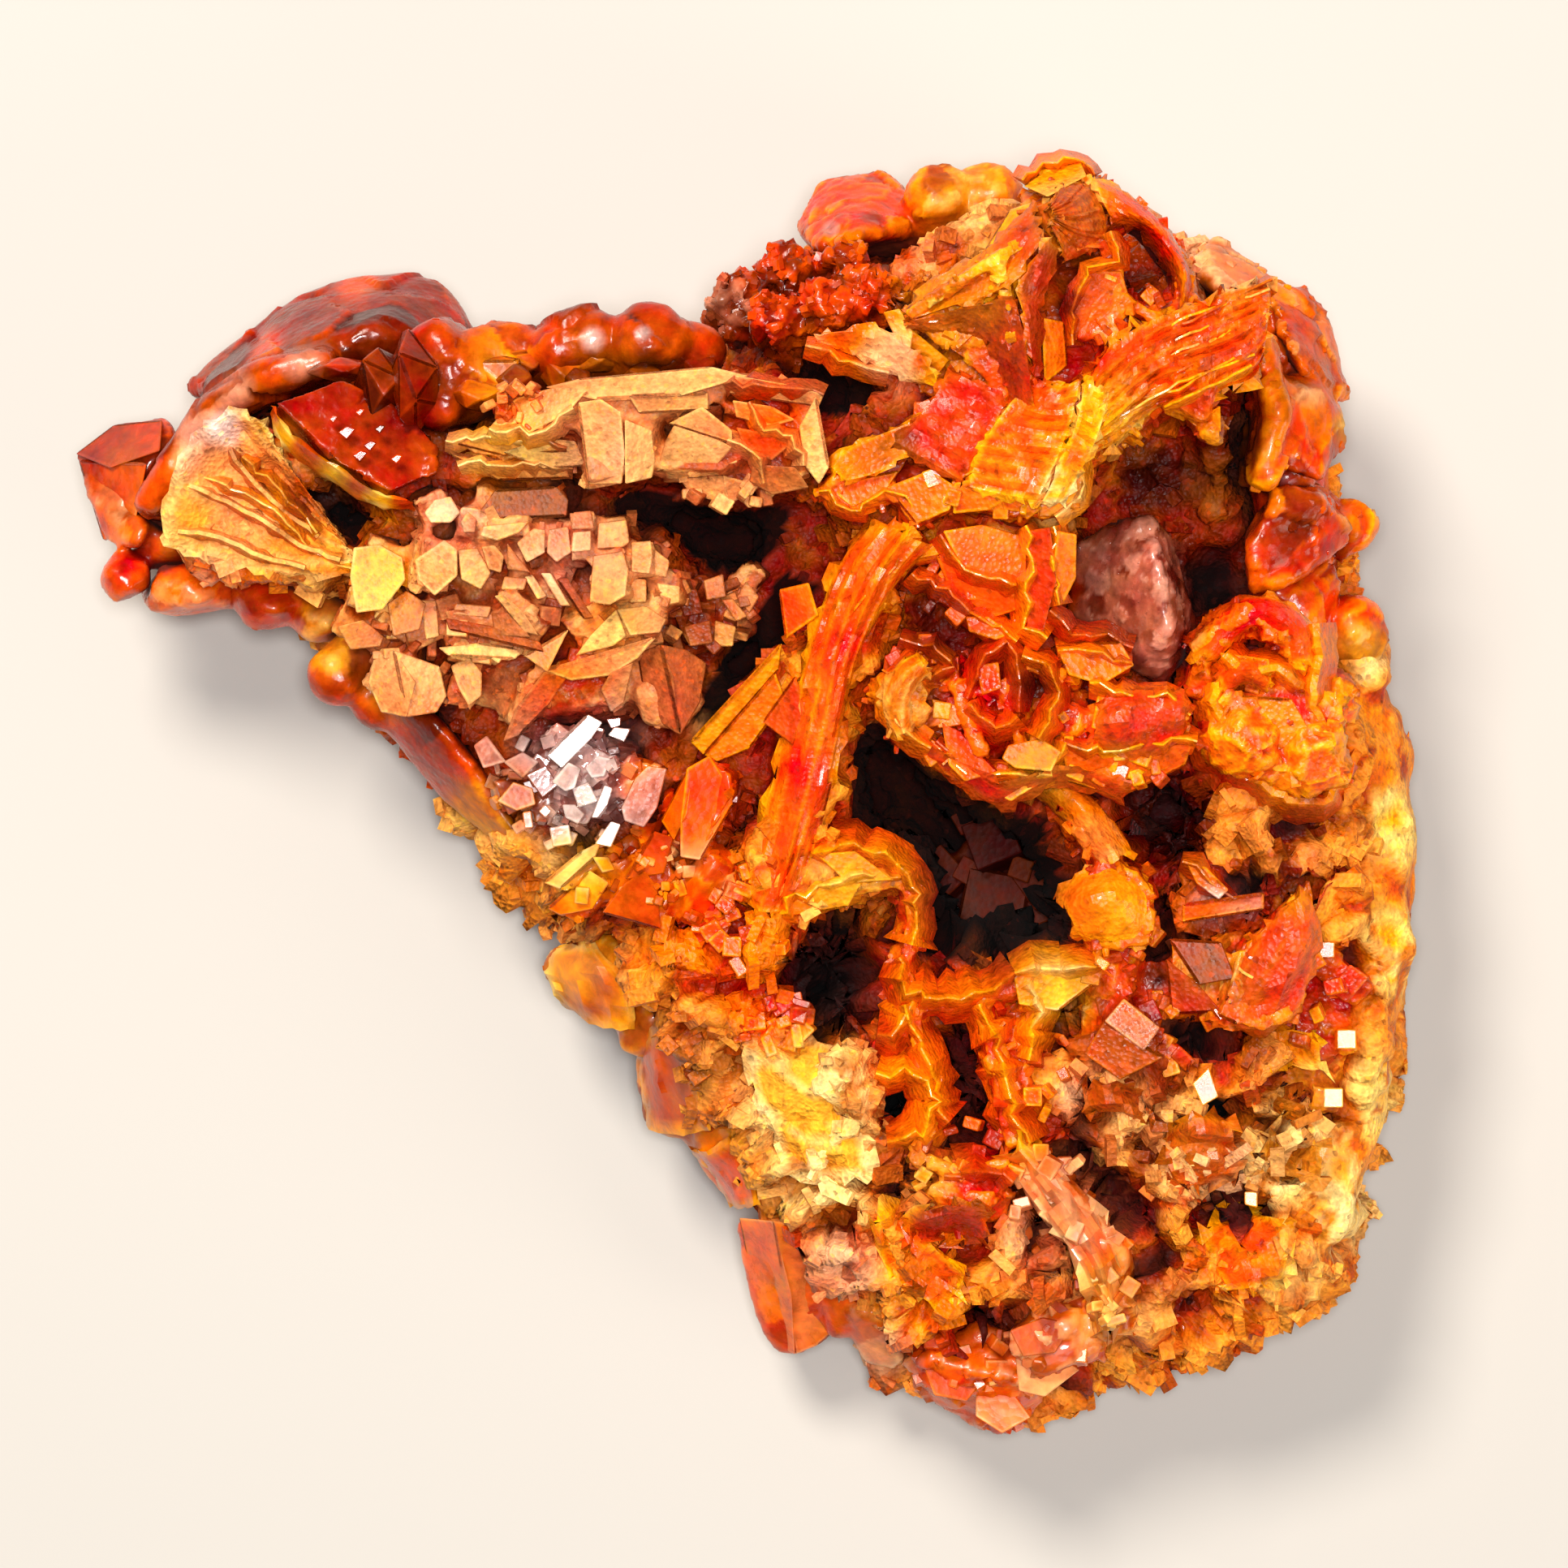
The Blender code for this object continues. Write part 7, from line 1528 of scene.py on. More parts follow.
def leaning_slabs():
    """The long red and peach crystals that lean up the slope, and the cream-edged slabs below them."""
    pieces = sheets((
        ((-1.7, 1.2, 11.6), (-1.0, 1.6, 11.5), (-0.3, 0.5, 11.0), (-0.3, 0.1, 10.9), (-1.3, -1.6, 10.8),
         (-1.9, -1.5, 11.1), (-1.9, -0.4, 11.5)),
        ((-2.5, -0.4, 10.6), (-1.6, 1.3, 11.3), (-1.5, 1.2, 11.6), (-1.7, -0.2, 11.6),
         (-2.1, -1.0, 11.0)),
        ((-4.3, -3.2, 10.0), (-3.6, -2.3, 10.4), (-3.0, -1.9, 10.7), (-2.6, -2.4, 10.7),
         (-2.5, -3.7, 10.3)),
        ((-3.6, -2.2, 10.4), (-2.7, -0.7, 10.9), (-2.1, -0.9, 10.9), (-2.4, -2.0, 10.7)),
        ((-6.1, -2.3, 9.4), (-4.9, -1.3, 9.8), (-4.3, -1.0, 10.0), (-4.5, -1.5, 9.9), (-5.6, -2.5, 9.4)),
        ((-6.0, -3.1, 9.0), (-4.7, -1.9, 9.6), (-4.1, -2.3, 9.7), (-4.6, -3.1, 9.3), (-5.6, -3.3, 8.9)),
        ((-4.6, -1.5, 9.9), (-4.1, -1.5, 10.1), (-3.9, -1.9, 10.1), (-4.3, -2.0, 9.9)),
    ), thick=0.8)
    pieces += rubble(66, 40, (-2.5, -1.8), (0.7, 1.2), 10.6, 0.26)
    pieces += rubble(67, 24, (-4.4, -2.0), (1.4, 1.1), 9.4, 0.4)
    pieces += rubble(68, 20, (-1.2, -2.6), (1.0, 1.2), 10.2, 0.5)
    return pieces


def knob_crystals():
    """The arch of the red knob and the rolled orange rim below it."""
    pieces = ridges((
        [(14.2, 3.9, 12.0), (14.3, 2.9, 12.2), (15.0, 1.9, 12.0), (16.2, 1.3, 11.9), (17.8, 1.2, 11.5),
         (18.3, 1.6, 11.2)],
        [(14.6, 4.6, 12.4), (15.2, 4.1, 12.3), (16.2, 4.2, 12.3), (17.0, 3.6, 12.0)],
        [(17.3, 5.6, 12.0), (17.4, 4.4, 11.9), (17.2, 3.2, 11.9), (17.8, 2.2, 11.6)],
        [(14.0, 2.0, 11.6), (15.0, 1.1, 11.4), (16.6, 0.3, 11.0), (17.6, 0.2, 10.8), (18.3, 0.8, 10.6)],
    ), depth=1.4, base=1.3, rim=0.2, ragged=0.18)
    pieces += leaves((
        [[(13.4, 4.4, 11.7), (14.2, 5.7, 11.8), (15.1, 6.4, 11.9), (16.3, 6.35, 11.8), (17.2, 5.6, 11.6),
          (17.5, 4.3, 11.4)],
         [(13.9, 4.5, 12.3), (14.6, 5.4, 12.5), (15.3, 5.9, 12.65), (16.1, 5.85, 12.6), (16.8, 5.3, 12.4),
          (17.0, 4.3, 12.1)],
         [(14.3, 4.3, 11.8), (14.9, 5.0, 12.0), (15.4, 5.4, 12.1), (15.9, 5.35, 12.1), (16.3, 4.9, 12.0),
          (16.5, 4.2, 11.7)]],
        [[(14.3, 4.0, 11.9), (14.9, 4.5, 12.1), (15.5, 4.5, 12.1), (16.1, 4.1, 11.9)],
         [(14.4, 3.6, 12.1), (15.0, 4.05, 12.4), (15.5, 4.05, 12.4), (16.0, 3.7, 12.1)],
         [(14.6, 3.3, 11.6), (15.1, 3.7, 11.8), (15.4, 3.7, 11.8), (15.8, 3.4, 11.6)]],
    ), depth=0.0)
    pieces += sheets((
        ((14.6, 3.4, 11.9), (16.6, 3.3, 12.0), (17.2, 2.3, 11.7), (16.0, 1.6, 11.6), (14.8, 2.2, 11.7)),
        ((14.4, 4.7, 12.2), (15.9, 4.5, 12.3), (16.0, 4.0, 12.1), (14.7, 3.9, 12.0)),
        ((15.2, 1.6, 11.7), (17.0, 1.2, 11.5), (18.0, 1.0, 11.0), (17.4, 0.4, 10.8), (15.8, 0.8, 11.2)),
    ), thick=0.7)
    pieces += rubble(69, 26, (16.2, 2.4), (1.8, 1.6), 11.4, 0.5)
    return pieces


def pocket_cubes():
    """Dim square crystals in the big hollow, their faces turned to the light."""
    pieces = []
    for x, y, size, turn, top in (
        (7.7, -1.0, 1.5, 20, 5.9), (7.8, -3.0, 2.0, -12, 5.6), (9.2, -2.3, 1.3, 35, 5.9),
        (9.4, -0.9, 1.1, 10, 5.8),
        (6.1, -2.1, 1.4, 40, 4.6), (6.4, -3.9, 1.3, 15, 4.9), (8.9, -4.2, 1.2, 30, 5.4),
        (7.0, -2.0, 0.8, 60, 5.2),
        (9.9, -1.9, 0.7, 15, 5.9), (6.9, -0.4, 0.7, 30, 5.0), (8.6, -1.9, 0.7, 70, 5.9),
        (9.0, -3.3, 0.8, 20, 5.7),
    ):
        pieces += block(x, y, size, size, turn, top, (0.25, -0.2), size)
    return pieces


def lower_right_blades():
    """The fan leaf, the blob, the salmon post, the silvery rod, the brown slab and white cubes."""
    pieces = sheets((
        ((13.0, -4.0, 9.9), (14.6, -4.1, 10.1), (15.0, -5.2, 10.2), (13.9, -5.4, 10.3)),
        ((12.9, -4.6, 9.8), (13.9, -5.4, 10.3), (14.6, -6.2, 9.9), (13.1, -6.3, 9.6)),
        ((11.6, -5.8, 10.3), (12.7, -6.7, 10.5), (12.2, -7.4, 10.6), (11.0, -6.5, 10.3)),
        ((11.0, -6.5, 10.3), (12.2, -7.4, 10.6), (12.8, -7.6, 10.3), (11.5, -8.3, 10.1),
         (10.4, -7.5, 10.0)),
        ((13.4, -3.5, 9.9), (13.4, -2.95, 10.1), (15.9, -2.6, 10.2), (15.9, -3.1, 10.0)),
        (9.0, (17.9, -5.6), (18.6, -4.8), (19.2, -5.2), (18.5, -6.0)),
        (10.3, (13.5, -1.7), (14.1, -1.8), (14.8, -2.5), (14.5, -2.8), (13.8, -2.3)),
    ), thick=0.8)
    pieces += leaves((
        [[(17.2, -2.1, 10.8), (17.6, -3.8, 10.4), (17.3, -5.4, 10.2), (16.8, -6.6, 9.9)],
         [(16.6, -2.8, 11.0), (16.7, -4.1, 11.0), (16.4, -5.6, 10.7), (15.9, -6.9, 10.0)],
         [(15.8, -3.6, 10.6), (15.6, -4.8, 10.8), (15.2, -5.9, 10.5), (14.8, -6.8, 9.9)],
         [(15.2, -4.2, 10.2), (14.8, -5.1, 10.2), (14.4, -5.9, 10.1), (14.1, -6.5, 9.8)]],
    ), pleats=4, depth=0.2)
    pieces += leaves((
        [[(12.9, -9.9), (13.8, -9.3), (15.0, -9.5)],
         [(12.8, -10.8), (13.9, -10.5), (15.3, -10.6)],
         [(13.3, -11.6), (14.2, -11.7), (15.1, -11.4)]],
        [[(14.0, -13.0), (15.2, -12.3), (16.6, -12.5)],
         [(14.3, -14.0), (15.5, -13.6), (16.9, -13.7)],
         [(14.9, -15.0), (15.8, -14.9), (16.7, -14.6)]],
        [[(10.3, -8.5), (11.4, -8.2), (12.6, -8.7)],
         [(10.5, -9.5), (11.7, -9.5), (12.8, -9.8)]],
        [[(15.9, -7.0), (16.8, -6.6), (17.7, -7.1)],
         [(16.0, -8.0), (16.9, -7.9), (17.9, -8.3)]],
        [[(15.8, -10.2), (16.9, -9.8), (17.9, -10.3)],
         [(15.9, -11.3), (17.0, -11.3), (17.8, -11.6)]],
        [[(4.9, -12.5), (6.0, -11.9), (7.4, -12.1)],
         [(5.0, -13.5), (6.2, -13.3), (7.6, -13.4)]],
        [[(3.7, -12.6), (4.4, -12.2), (4.9, -11.4)],
         [(4.5, -14.4), (5.2, -14.0), (5.8, -13.2)],
         [(6.2, -15.6), (6.7, -15.1), (7.0, -14.4)]],
    ), pleats=2, depth=0.25, rise=0.9, ragged=0.3, rough=0.3)
    pieces += leaves((
        [[(9.5, -2.7, 10.2), (10.3, -1.9, 10.5), (11.4, -1.7, 10.6), (12.3, -2.1, 10.3)],
         [(9.8, -3.3, 10.8), (10.6, -2.9, 11.4), (11.5, -2.8, 11.4), (12.4, -3.1, 10.8)],
         [(10.2, -4.0, 10.2), (11.0, -4.2, 10.6), (11.7, -4.3, 10.6), (12.4, -4.2, 10.2)]],
        [[(8.9, 0.5, 10.2), (9.9, -0.6, 10.3), (10.8, -1.9, 10.4)],
         [(9.4, 0.8, 11.0), (10.4, -0.2, 11.2), (11.3, -1.6, 11.3)],
         [(10.0, 0.9, 10.4), (11.0, 0.0, 10.5), (11.9, -1.5, 10.6)]],
    ), depth=0.0)
    pieces += flashing([(17.3, -12.4), (18.2, -12.2), (18.3, -13.1), (17.5, -13.3)], 7.6)
    pieces += flashing([(15.4, -11.8), (15.8, -11.8), (15.8, -12.3), (15.4, -12.2)], 8.4)
    pieces += flashing([(13.5, -15.8), (14.4, -15.7), (14.5, -16.3), (13.7, -16.5)], 6.2)
    pieces += flashing([(18.2, -6.8), (18.8, -6.8), (18.8, -7.4), (18.2, -7.4)], 8.9, 0.7)
    pieces += flashing([(17.8, -8.6), (18.4, -8.6), (18.4, -9.2), (17.8, -9.2)], 8.8, 0.7)
    pieces += flashing([(17.7, -4.1), (18.1, -4.1), (18.1, -4.6), (17.6, -4.6)], 9.3, 0.7)
    pieces += flashing([(13.7, -8.4), (14.2, -7.9), (14.5, -8.8), (14.0, -9.1)], 10.2)
    pieces += ridges((
        [(13.4, -1.6, 10.6), (14.2, -2.0, 10.5), (14.9, -2.7, 10.3)],
    ), depth=1.0, base=0.8)
    pieces += comb((14.6, -6.3), (17.0, -3.2), 9, 0.6, 78, (10.6, 10.9), base=0.18, depth=0.4, seed=7)
    pieces += rubble(71, 22, (15.4, -6.0), (3.0, 2.2), 9.4, 0.6)
    pieces += rubble(72, 14, (11.6, -7.6), (2.0, 1.6), 9.6, 0.6)
    pieces += rubble(73, 20, (11.2, -3.6), (1.4, 1.8), 10.2, 0.5)
    return pieces


def lattice_rims():
    """The net of crooked orange rims with sloping red sides."""
    pieces = ridges((
        [(0.9, -3.2, 11.0), (2.2, -2.5, 11.3), (3.6, -2.1, 11.4), (4.8, -2.0, 11.2)],
        [(2.0, -1.3, 11.5), (3.2, -1.2, 11.4), (4.6, -1.6, 11.3), (5.3, -2.6, 11.1), (5.1, -4.2, 10.9)],
        [(4.7, -4.4, 10.9), (4.9, -5.6, 10.8), (5.9, -5.9, 10.7), (7.2, -5.7, 10.8), (8.4, -5.0, 10.9)],
        [(7.2, -5.9, 10.7), (7.8, -7.2, 10.5), (8.1, -8.8, 10.3), (8.6, -10.2, 10.1)],
        [(5.0, -6.1, 10.6), (5.5, -7.4, 10.4), (5.9, -8.4, 10.2), (6.2, -9.6, 10.1)],
        [(4.0, -8.2, 10.0), (5.0, -8.0, 10.2), (5.9, -8.8, 10.2), (5.6, -9.9, 10.1), (4.3, -10.1, 10.0)],
        [(8.4, -4.9, 10.8), (9.6, -5.0, 10.9), (10.9, -4.8, 10.8)],
        [(6.2, -11.3, 9.8), (7.3, -11.0, 10.0), (8.4, -11.4, 9.9)],
        [(8.6, -5.2, 10.8), (9.0, -6.4, 10.4), (8.6, -7.6, 10.2)],
        [(4.1, -7.0, 10.2), (4.9, -6.4, 10.5), (5.1, -5.6, 10.6)],
    ), depth=1.7, base=1.5, ragged=0.3)
    pieces += sheets((
        ((1.0, -3.4, 10.5), (2.2, -2.2, 11.0), (3.6, -2.3, 11.1), (3.2, -3.0, 10.7)),
        ((2.2, -1.4, 11.3), (3.4, -1.3, 11.3), (4.6, -2.2, 11.0), (3.2, -2.3, 11.1)),
        (10.3, (8.2, -5.0), (9.8, -4.8), (10.9, -5.2), (9.6, -6.2), (8.4, -6.0)),
    ), thick=0.7)
    pieces += rubble(74, 16, (6.8, -10.8), (2.2, 1.2), 9.3, 0.55)
    pieces += rubble(75, 12, (8.8, -7.4), (1.0, 2.4), 9.6, 0.55)
    return pieces


def rib_crystals():
    """Blocks along the curved rib and slabs at the bottom tip."""
    pieces = leaf(
        [[(8.7, -9.9, 9.1), (10.2, -11.5, 9.2), (11.5, -13.6, 8.8), (12.0, -16.2, 7.5)],
         [(8.2, -10.2, 9.9), (9.7, -12.0, 10.0), (11.0, -14.0, 9.6), (11.5, -16.3, 8.3)],
         [(7.7, -10.6, 9.2), (9.1, -12.5, 9.3), (10.4, -14.3, 8.9), (10.9, -16.4, 7.7)]],
        thick=0.9, pleats=2, depth=0.3, ragged=0.35, rough=0.5,
    )
    pieces += rubble(80, 16, (9.4, -11.8), (1.2, 1.4), 9.7, 0.5)
    pieces += rubble(81, 16, (11.2, -14.6), (0.7, 1.8), 9.2, 0.5)
    pieces += ridges((
        [(6.2, -14.9, 7.8), (7.4, -14.6, 8.2), (9.0, -14.9, 8.0), (9.9, -15.6, 7.9)],
    ), depth=1.2, base=1.0, rim=0.25, ragged=0.18)
    pieces += sheets((
        (8.0, (8.2, -16.1), (9.2, -15.7), (10.2, -15.9), (9.6, -16.8), (8.6, -16.9)),
        (7.2, (8.4, -17.0), (9.7, -16.9), (10.4, -17.4), (9.3, -18.2), (8.5, -18.0)),
        (6.6, (5.6, -17.4), (6.8, -17.0), (7.6, -17.6), (6.9, -18.4), (5.9, -18.2)),
        (6.4, (7.2, -18.0), (8.4, -18.2), (8.9, -18.9), (8.0, -19.4), (7.2, -18.9)),
    ), thick=0.8)
    pieces += rubble(76, 18, (9.6, -14.6), (1.9, 2.4), 7.9, 0.6)
    pieces += rubble(77, 16, (7.4, -17.0), (2.4, 0.9), 7.0, 0.6)
    return pieces


RIM_BAND = (
    (19.0, 5.4), (19.5, 3.6), (20.2, 1.8), (20.4, -0.4), (20.1, -3.0), (19.7, -5.6), (19.3, -8.2),
    (18.9, -10.6), (18.4, -12.8),
)


def rim_points(step=0.5):
    """Evenly spaced points along the smooth yellow band at the right edge."""
    path = np.array(RIM_BAND)
    run = np.append(0, np.cumsum(np.linalg.norm(np.diff(path, axis=0), axis=1)))
    at = np.arange(0, run[-1], step)
    return np.column_stack([np.interp(at, run, path[:, 0]), np.interp(at, run, path[:, 1])])


def right_rim():
    """Long smooth swellings that run down the right edge."""
    pieces = []
    for k, (x, y) in enumerate(rim_points(0.8)):
        width = 0.75 + 0.16 * math.sin(k * 1.7)
        pieces += lump((x - 0.2, y, 5.2 + 0.3 * math.sin(k * 0.9)), (width, 1.0, 2.6), count=60, seed=k)
    return pieces


def on_rim(co):
    """How far each corner lies on the smooth band."""
    points = rim_points()
    away = np.full(len(co), 9.0)
    for x, y in points:
        away = np.minimum(away, np.hypot(co[:, 0] - x, co[:, 1] - y))
    return (1 - smooth(away, 0.8, 1.3)) * smooth(co[:, 2], 3.0, 5.0)


def rock_rims():
    """Rims, stems and ribs that stand on the rock: the arm's crust, the strut and its side plate."""
    pieces = ridges((
        [(-16.4, 10.2, 10.7), (-14.6, 9.2, 10.7), (-13.2, 8.0, 10.5), (-12.0, 7.2, 10.3)],
        [(-15.2, 10.7, 10.9), (-14.2, 9.8, 10.9), (-13.0, 8.3, 10.6)],
    ), depth=0.5, base=0.5)
    pieces += ridges((
        [(5.4, 8.4, 14.0), (4.4, 7.2, 13.8), (3.2, 5.8, 13.5)],
    ), depth=1.0, base=0.75, ragged=0.16)
    pieces += leaf(
        [[(3.6, 8.6, 12.9), (2.6, 6.9, 12.8), (1.9, 4.8, 12.4), (1.35, 2.8, 12.0), (0.7, 0.5, 11.3),
          (0.1, -1.6, 10.8), (-0.2, -2.8, 10.4)],
         [(4.6, 8.6, 13.9), (3.4, 7.0, 13.7), (2.6, 4.9, 13.3), (2.1, 2.7, 12.9), (1.5, 0.3, 12.2),
          (0.9, -1.9, 11.5), (0.4, -3.3, 11.1)],
         [(5.2, 8.3, 14.0), (4.1, 6.8, 13.8), (3.2, 4.8, 13.3), (2.7, 2.6, 13.0), (2.1, 0.2, 12.3),
          (1.5, -1.9, 11.6), (1.0, -3.3, 11.1)],
         [(6.0, 8.0, 13.3), (4.6, 6.6, 13.0), (3.6, 4.7, 12.7), (3.05, 2.6, 12.3), (2.6, 0.3, 11.7),
          (2.1, -1.7, 11.1), (1.6, -3.0, 10.6)]],
        pleats=6, depth=0.3, ragged=0.25, rough=0.16,
    )
    pieces += sheets((
        ((-1.6, 2.0, 10.9), (-0.5, 3.3, 11.4), (1.2, 5.0, 12.0), (1.1, 4.2, 11.7), (-0.6, 2.3, 10.9),
         (-1.2, 1.6, 10.7)),
        ((-1.2, 1.6, 10.7), (-0.5, 2.4, 10.9), (1.0, 4.1, 11.7), (1.3, 3.3, 11.4), (0.2, 1.8, 10.8),
         (-0.8, 1.4, 10.5)),
        ((0.6, 2.6, 12.0), (1.6, 4.0, 12.6), (1.9, 2.9, 12.7), (1.5, 1.9, 12.3)),
        ((1.1, 6.6, 12.4), (2.0, 6.8, 12.8), (2.3, 5.8, 12.8), (1.3, 5.1, 12.2)),
        ((2.0, 0.4, 12.2), (2.7, 0.8, 12.2), (2.3, -0.8, 11.6), (1.7, -1.0, 11.6)),
    ), thick=0.6)
    pieces += rubble(78, 30, (0.4, -3.4), (1.5, 1.6), 10.9, 0.5)
    pieces += rubble(79, 24, (0.8, -6.4), (1.2, 1.0), 10.0, 0.6)
    return pieces


def rock_crusts():
    """Smooth sandy crusts: the arm's socket and the swollen patch on the lower left of the rock."""
    socket = leaf(
        [[(-17.7, 7.9, 10.3), (-17.5, 9.7, 10.9), (-16.7, 11.3, 11.3), (-15.6, 12.1, 11.4),
          (-14.5, 11.8, 11.3)],
         [(-16.4, 7.5, 10.0), (-16.1, 9.0, 10.1), (-15.4, 10.3, 10.2), (-14.8, 11.0, 10.5),
          (-14.2, 11.1, 10.8)],
         [(-14.9, 7.2, 10.1), (-14.7, 8.3, 9.9), (-14.3, 9.3, 9.9), (-13.9, 10.0, 10.1),
          (-13.7, 10.3, 10.4)],
         [(-13.2, 7.0, 10.3), (-13.1, 7.7, 10.0), (-12.9, 8.4, 9.9), (-12.9, 8.9, 10.0),
          (-13.0, 9.3, 10.2)],
         [(-11.9, 7.1, 10.4), (-11.9, 7.5, 10.3), (-12.0, 7.9, 10.2), (-12.2, 8.2, 10.2),
          (-12.4, 8.5, 10.2)]],
        pleats=-5, depth=0.16, ragged=0.12, rough=0.16,
    )
    socket += ridges((
        [(-16.9, 9.9, 10.8), (-15.9, 9.4, 10.6), (-14.8, 8.8, 10.4), (-13.6, 8.1, 10.4),
         (-12.3, 7.5, 10.5)],
        [(-15.6, 10.9, 10.8), (-14.9, 9.9, 10.5), (-14.0, 9.0, 10.4), (-13.0, 8.3, 10.3)],
        [(-17.2, 8.4, 10.6), (-16.0, 8.3, 10.5), (-14.8, 7.7, 10.4), (-13.4, 7.3, 10.4)],
    ), depth=0.6, base=0.5, rim=0.12, ragged=0.1)
    return socket + leaves((
        [[(0.3, -7.0), (1.6, -6.8), (3.0, -7.2)],
         [(0.1, -8.4), (1.6, -8.4), (3.3, -8.4)],
         [(0.8, -9.9), (2.2, -9.9), (3.8, -9.8)],
         [(1.3, -11.4), (2.8, -11.5), (4.0, -11.5)]],
    ), pleats=3, depth=0.2, rise=0.8, ragged=0.25, rough=0.22)


# ---------------------------------------------------------------- the pieces

PACKED = packed_tree()
SKY = sky_directions()
WEATHERING = weathering_tree()
DRUSE = druse_tree()


# piece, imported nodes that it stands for, finish slot, main finish, voxel, rounds of softening,
# (cell size, step, tilt, wall height, grain size, grain depth), and what makes its crisp pieces
GROUPS = (
    ("plate_stack", ["plate_stack"], "tan_plates", "tan plate", 0.14, 2, (0.9, 0.12, 0.2, 0.0, 0.3, 0.12),
     stack_crystals),
    ("ledge", ["ledge_plates"], "tan_plates", "tan plate", 0.15, 1, (1.3, 0.12, 0.15, 0.0, 0.4, 0.1),
     ledge_crystals),
    ("boxwork", ["boxwork_blades"], "orange_blades", "orange blade", 0.14, 1,
     (0.8, 0.15, 0.25, 0.0, 0.35, 0.15), boxwork_crystals),
    ("mirror_cluster", ["mirror_cluster"], "brown_crystals", "purple grey", 0.12, 1,
     (0.6, 0.1, 0.2, 0.0, 0.3, 0.08), mirror_crystals),
    ("tabular_crystal", ["tabular_crystal"], "red_crystals", "glassy red", 0.11, 0,
     (1.6, 0.1, 0.1, 0.0, 0.5, 0.1), tabular_rim),
    ("crown", ["crown_crystals"], "red_crystals", "glassy red", 0.15, 14, (1.9, 0.1, 0.15, 0.0, 1.6, 0.2),
     crown_lumps),
    ("left_tip", ["left_tip_crystal"], "peach_crystals", "salmon", 0.14, 4, (
        1.6, 0.0, 0.0, 0.0, 0.8, 0.2,
    ),
     tip_facets),
    ("leaning", ["leaning_crystals"], "red_crystals", "bright red", 0.13, 1,
     (0.9, 0.1, 0.15, 0.0, 0.35, 0.1), leaning_slabs),
    ("edge_lens", ["edge_lens_crystal"], "red_crystals", "glassy red", 0.14, 8,
     (1.2, 0.0, 0.0, 0.0, 0.9, 0.12), None),
    ("arm_fringe", ["arm_fringe_crystals"], "peach_crystals", "salmon", 0.14, 10,
     (1.2, 0.0, 0.0, 0.0, 1.0, 0.35), None),
    ("top_peak", ["top_peak_crystals"], "red_crystals", "bright red", 0.14, 8,
     (1.0, 0.1, 0.1, 0.0, 0.9, 0.3), None),
    ("top_crust", ["top_crust_crystals"], "red_crystals", "glassy red", 0.12, 1,
     (0.5, 0.4, 0.5, 0.0, 0.3, 0.25), None),
    ("right_wall", ["right_wall_crystals"], "red_crystals", "bright red", 0.14, 5,
     (1.3, 0.15, 0.2, 0.0, 0.9, 0.3), None),
    ("pyramid", ["pyramid_crystal"], "brown_crystals", "purple grey", 0.12, 3,
     (0.5, 0.08, 0.15, 0.0, 0.3, 0.12), None),
    ("knob_ring", ["knob_ring_crystals"], "orange_blades", "orange blade", 0.14, 4,
     (1.0, 0.3, 0.3, 0.1, 0.5, 0.3), knob_crystals),
    ("shelf", ["shelf_crystals"], "orange_blades", "orange blade", 0.14, 1,
     (0.8, 0.3, 0.4, 0.0, 0.35, 0.2), shelf_crystals),
    ("lower_right", ["lower_right_crystals"], "orange_blades", "orange blade", 0.14, 1,
     (0.8, 0.25, 0.3, 0.0, 0.35, 0.15), lower_right_blades),
    ("lattice", ["lattice_crystals"], "orange_blades", "orange blade", 0.14, 1,
     (0.8, 0.3, 0.4, 0.0, 0.35, 0.2), lattice_rims),
    ("lower_rib", ["lower_rib_crystals"], "peach_crystals", "salmon", 0.14, 3,
     (0.9, 0.2, 0.3, 0.0, 0.4, 0.2), rib_crystals),
    ("edge_spikes", ["edge_spikes"], "peach_crystals", "peach", 0.14, 8, (1.4, 0.0, 0.0, 0.0, 1.2, 0.35),
     edge_points),
    ("spear", ["spear_crystal"], "peach_crystals", "salmon", 0.14, 6, (1.8, 0.0, 0.0, 0.0, 1.4, 0.2),
     spear_facets),
    ("pocket", ["pocket_crystals"], "dark_pocket", "pocket shade", 0.13, 1,
     (0.9, 0.05, 0.1, 0.0, 0.4, 0.08), pocket_cubes),
)


BODY_RIM_HIGHLIGHT = 0.6  # how strongly the painted highlight pales the rims of bodies and small crystals, beside 1 for crisp pieces
SHADE_UNDER_CRYSTALS = 0.35  # how far a body that crisp pieces cover takes the painted shade colour all over
CRISP_LIFT = 0.12  # how far crisp pieces stand up from their body, mm
BODY_SINK = 0.06  # how far a body that crisp pieces cover is drawn in, mm
BODY_SWELL, SWELL_BY_ROUND = 0.05, 0.012  # how far a softened one is let out, and more by each round, mm
ROCK_VOXEL = 0.21  # mm
SOCKET_REACH = 0.8  # how near to the crystals the rock closes up round them, mm
SOCKET_SWELL = 0.32  # and how far, mm
CELL_SINK = 0.55  # how far the rock is drawn in where rims are raised on it, mm
CRATER_FLOOR = 2.0  # the height that no hollow of the rock goes below, mm


def move(obj, co):
    """Puts a piece's corners at new places."""
    obj.data.vertices.foreach_set("co", co.astype(np.float32).ravel())
    obj.data.update()


def weather(obj, cell, step, tilt, wall_height, grain, grain_depth, seed, wall_width=0.14):
    """Cleaves and roughens a skin with the weathering tree."""
    run_tree(
        obj, WEATHERING, Cell_size=cell, Step=step, Tilt=tilt, Wall_height=wall_height,
        Wall_width=wall_width, Warp=0.35, Grain_size=grain, Grain_depth=grain_depth, Seed=float(seed),
    )


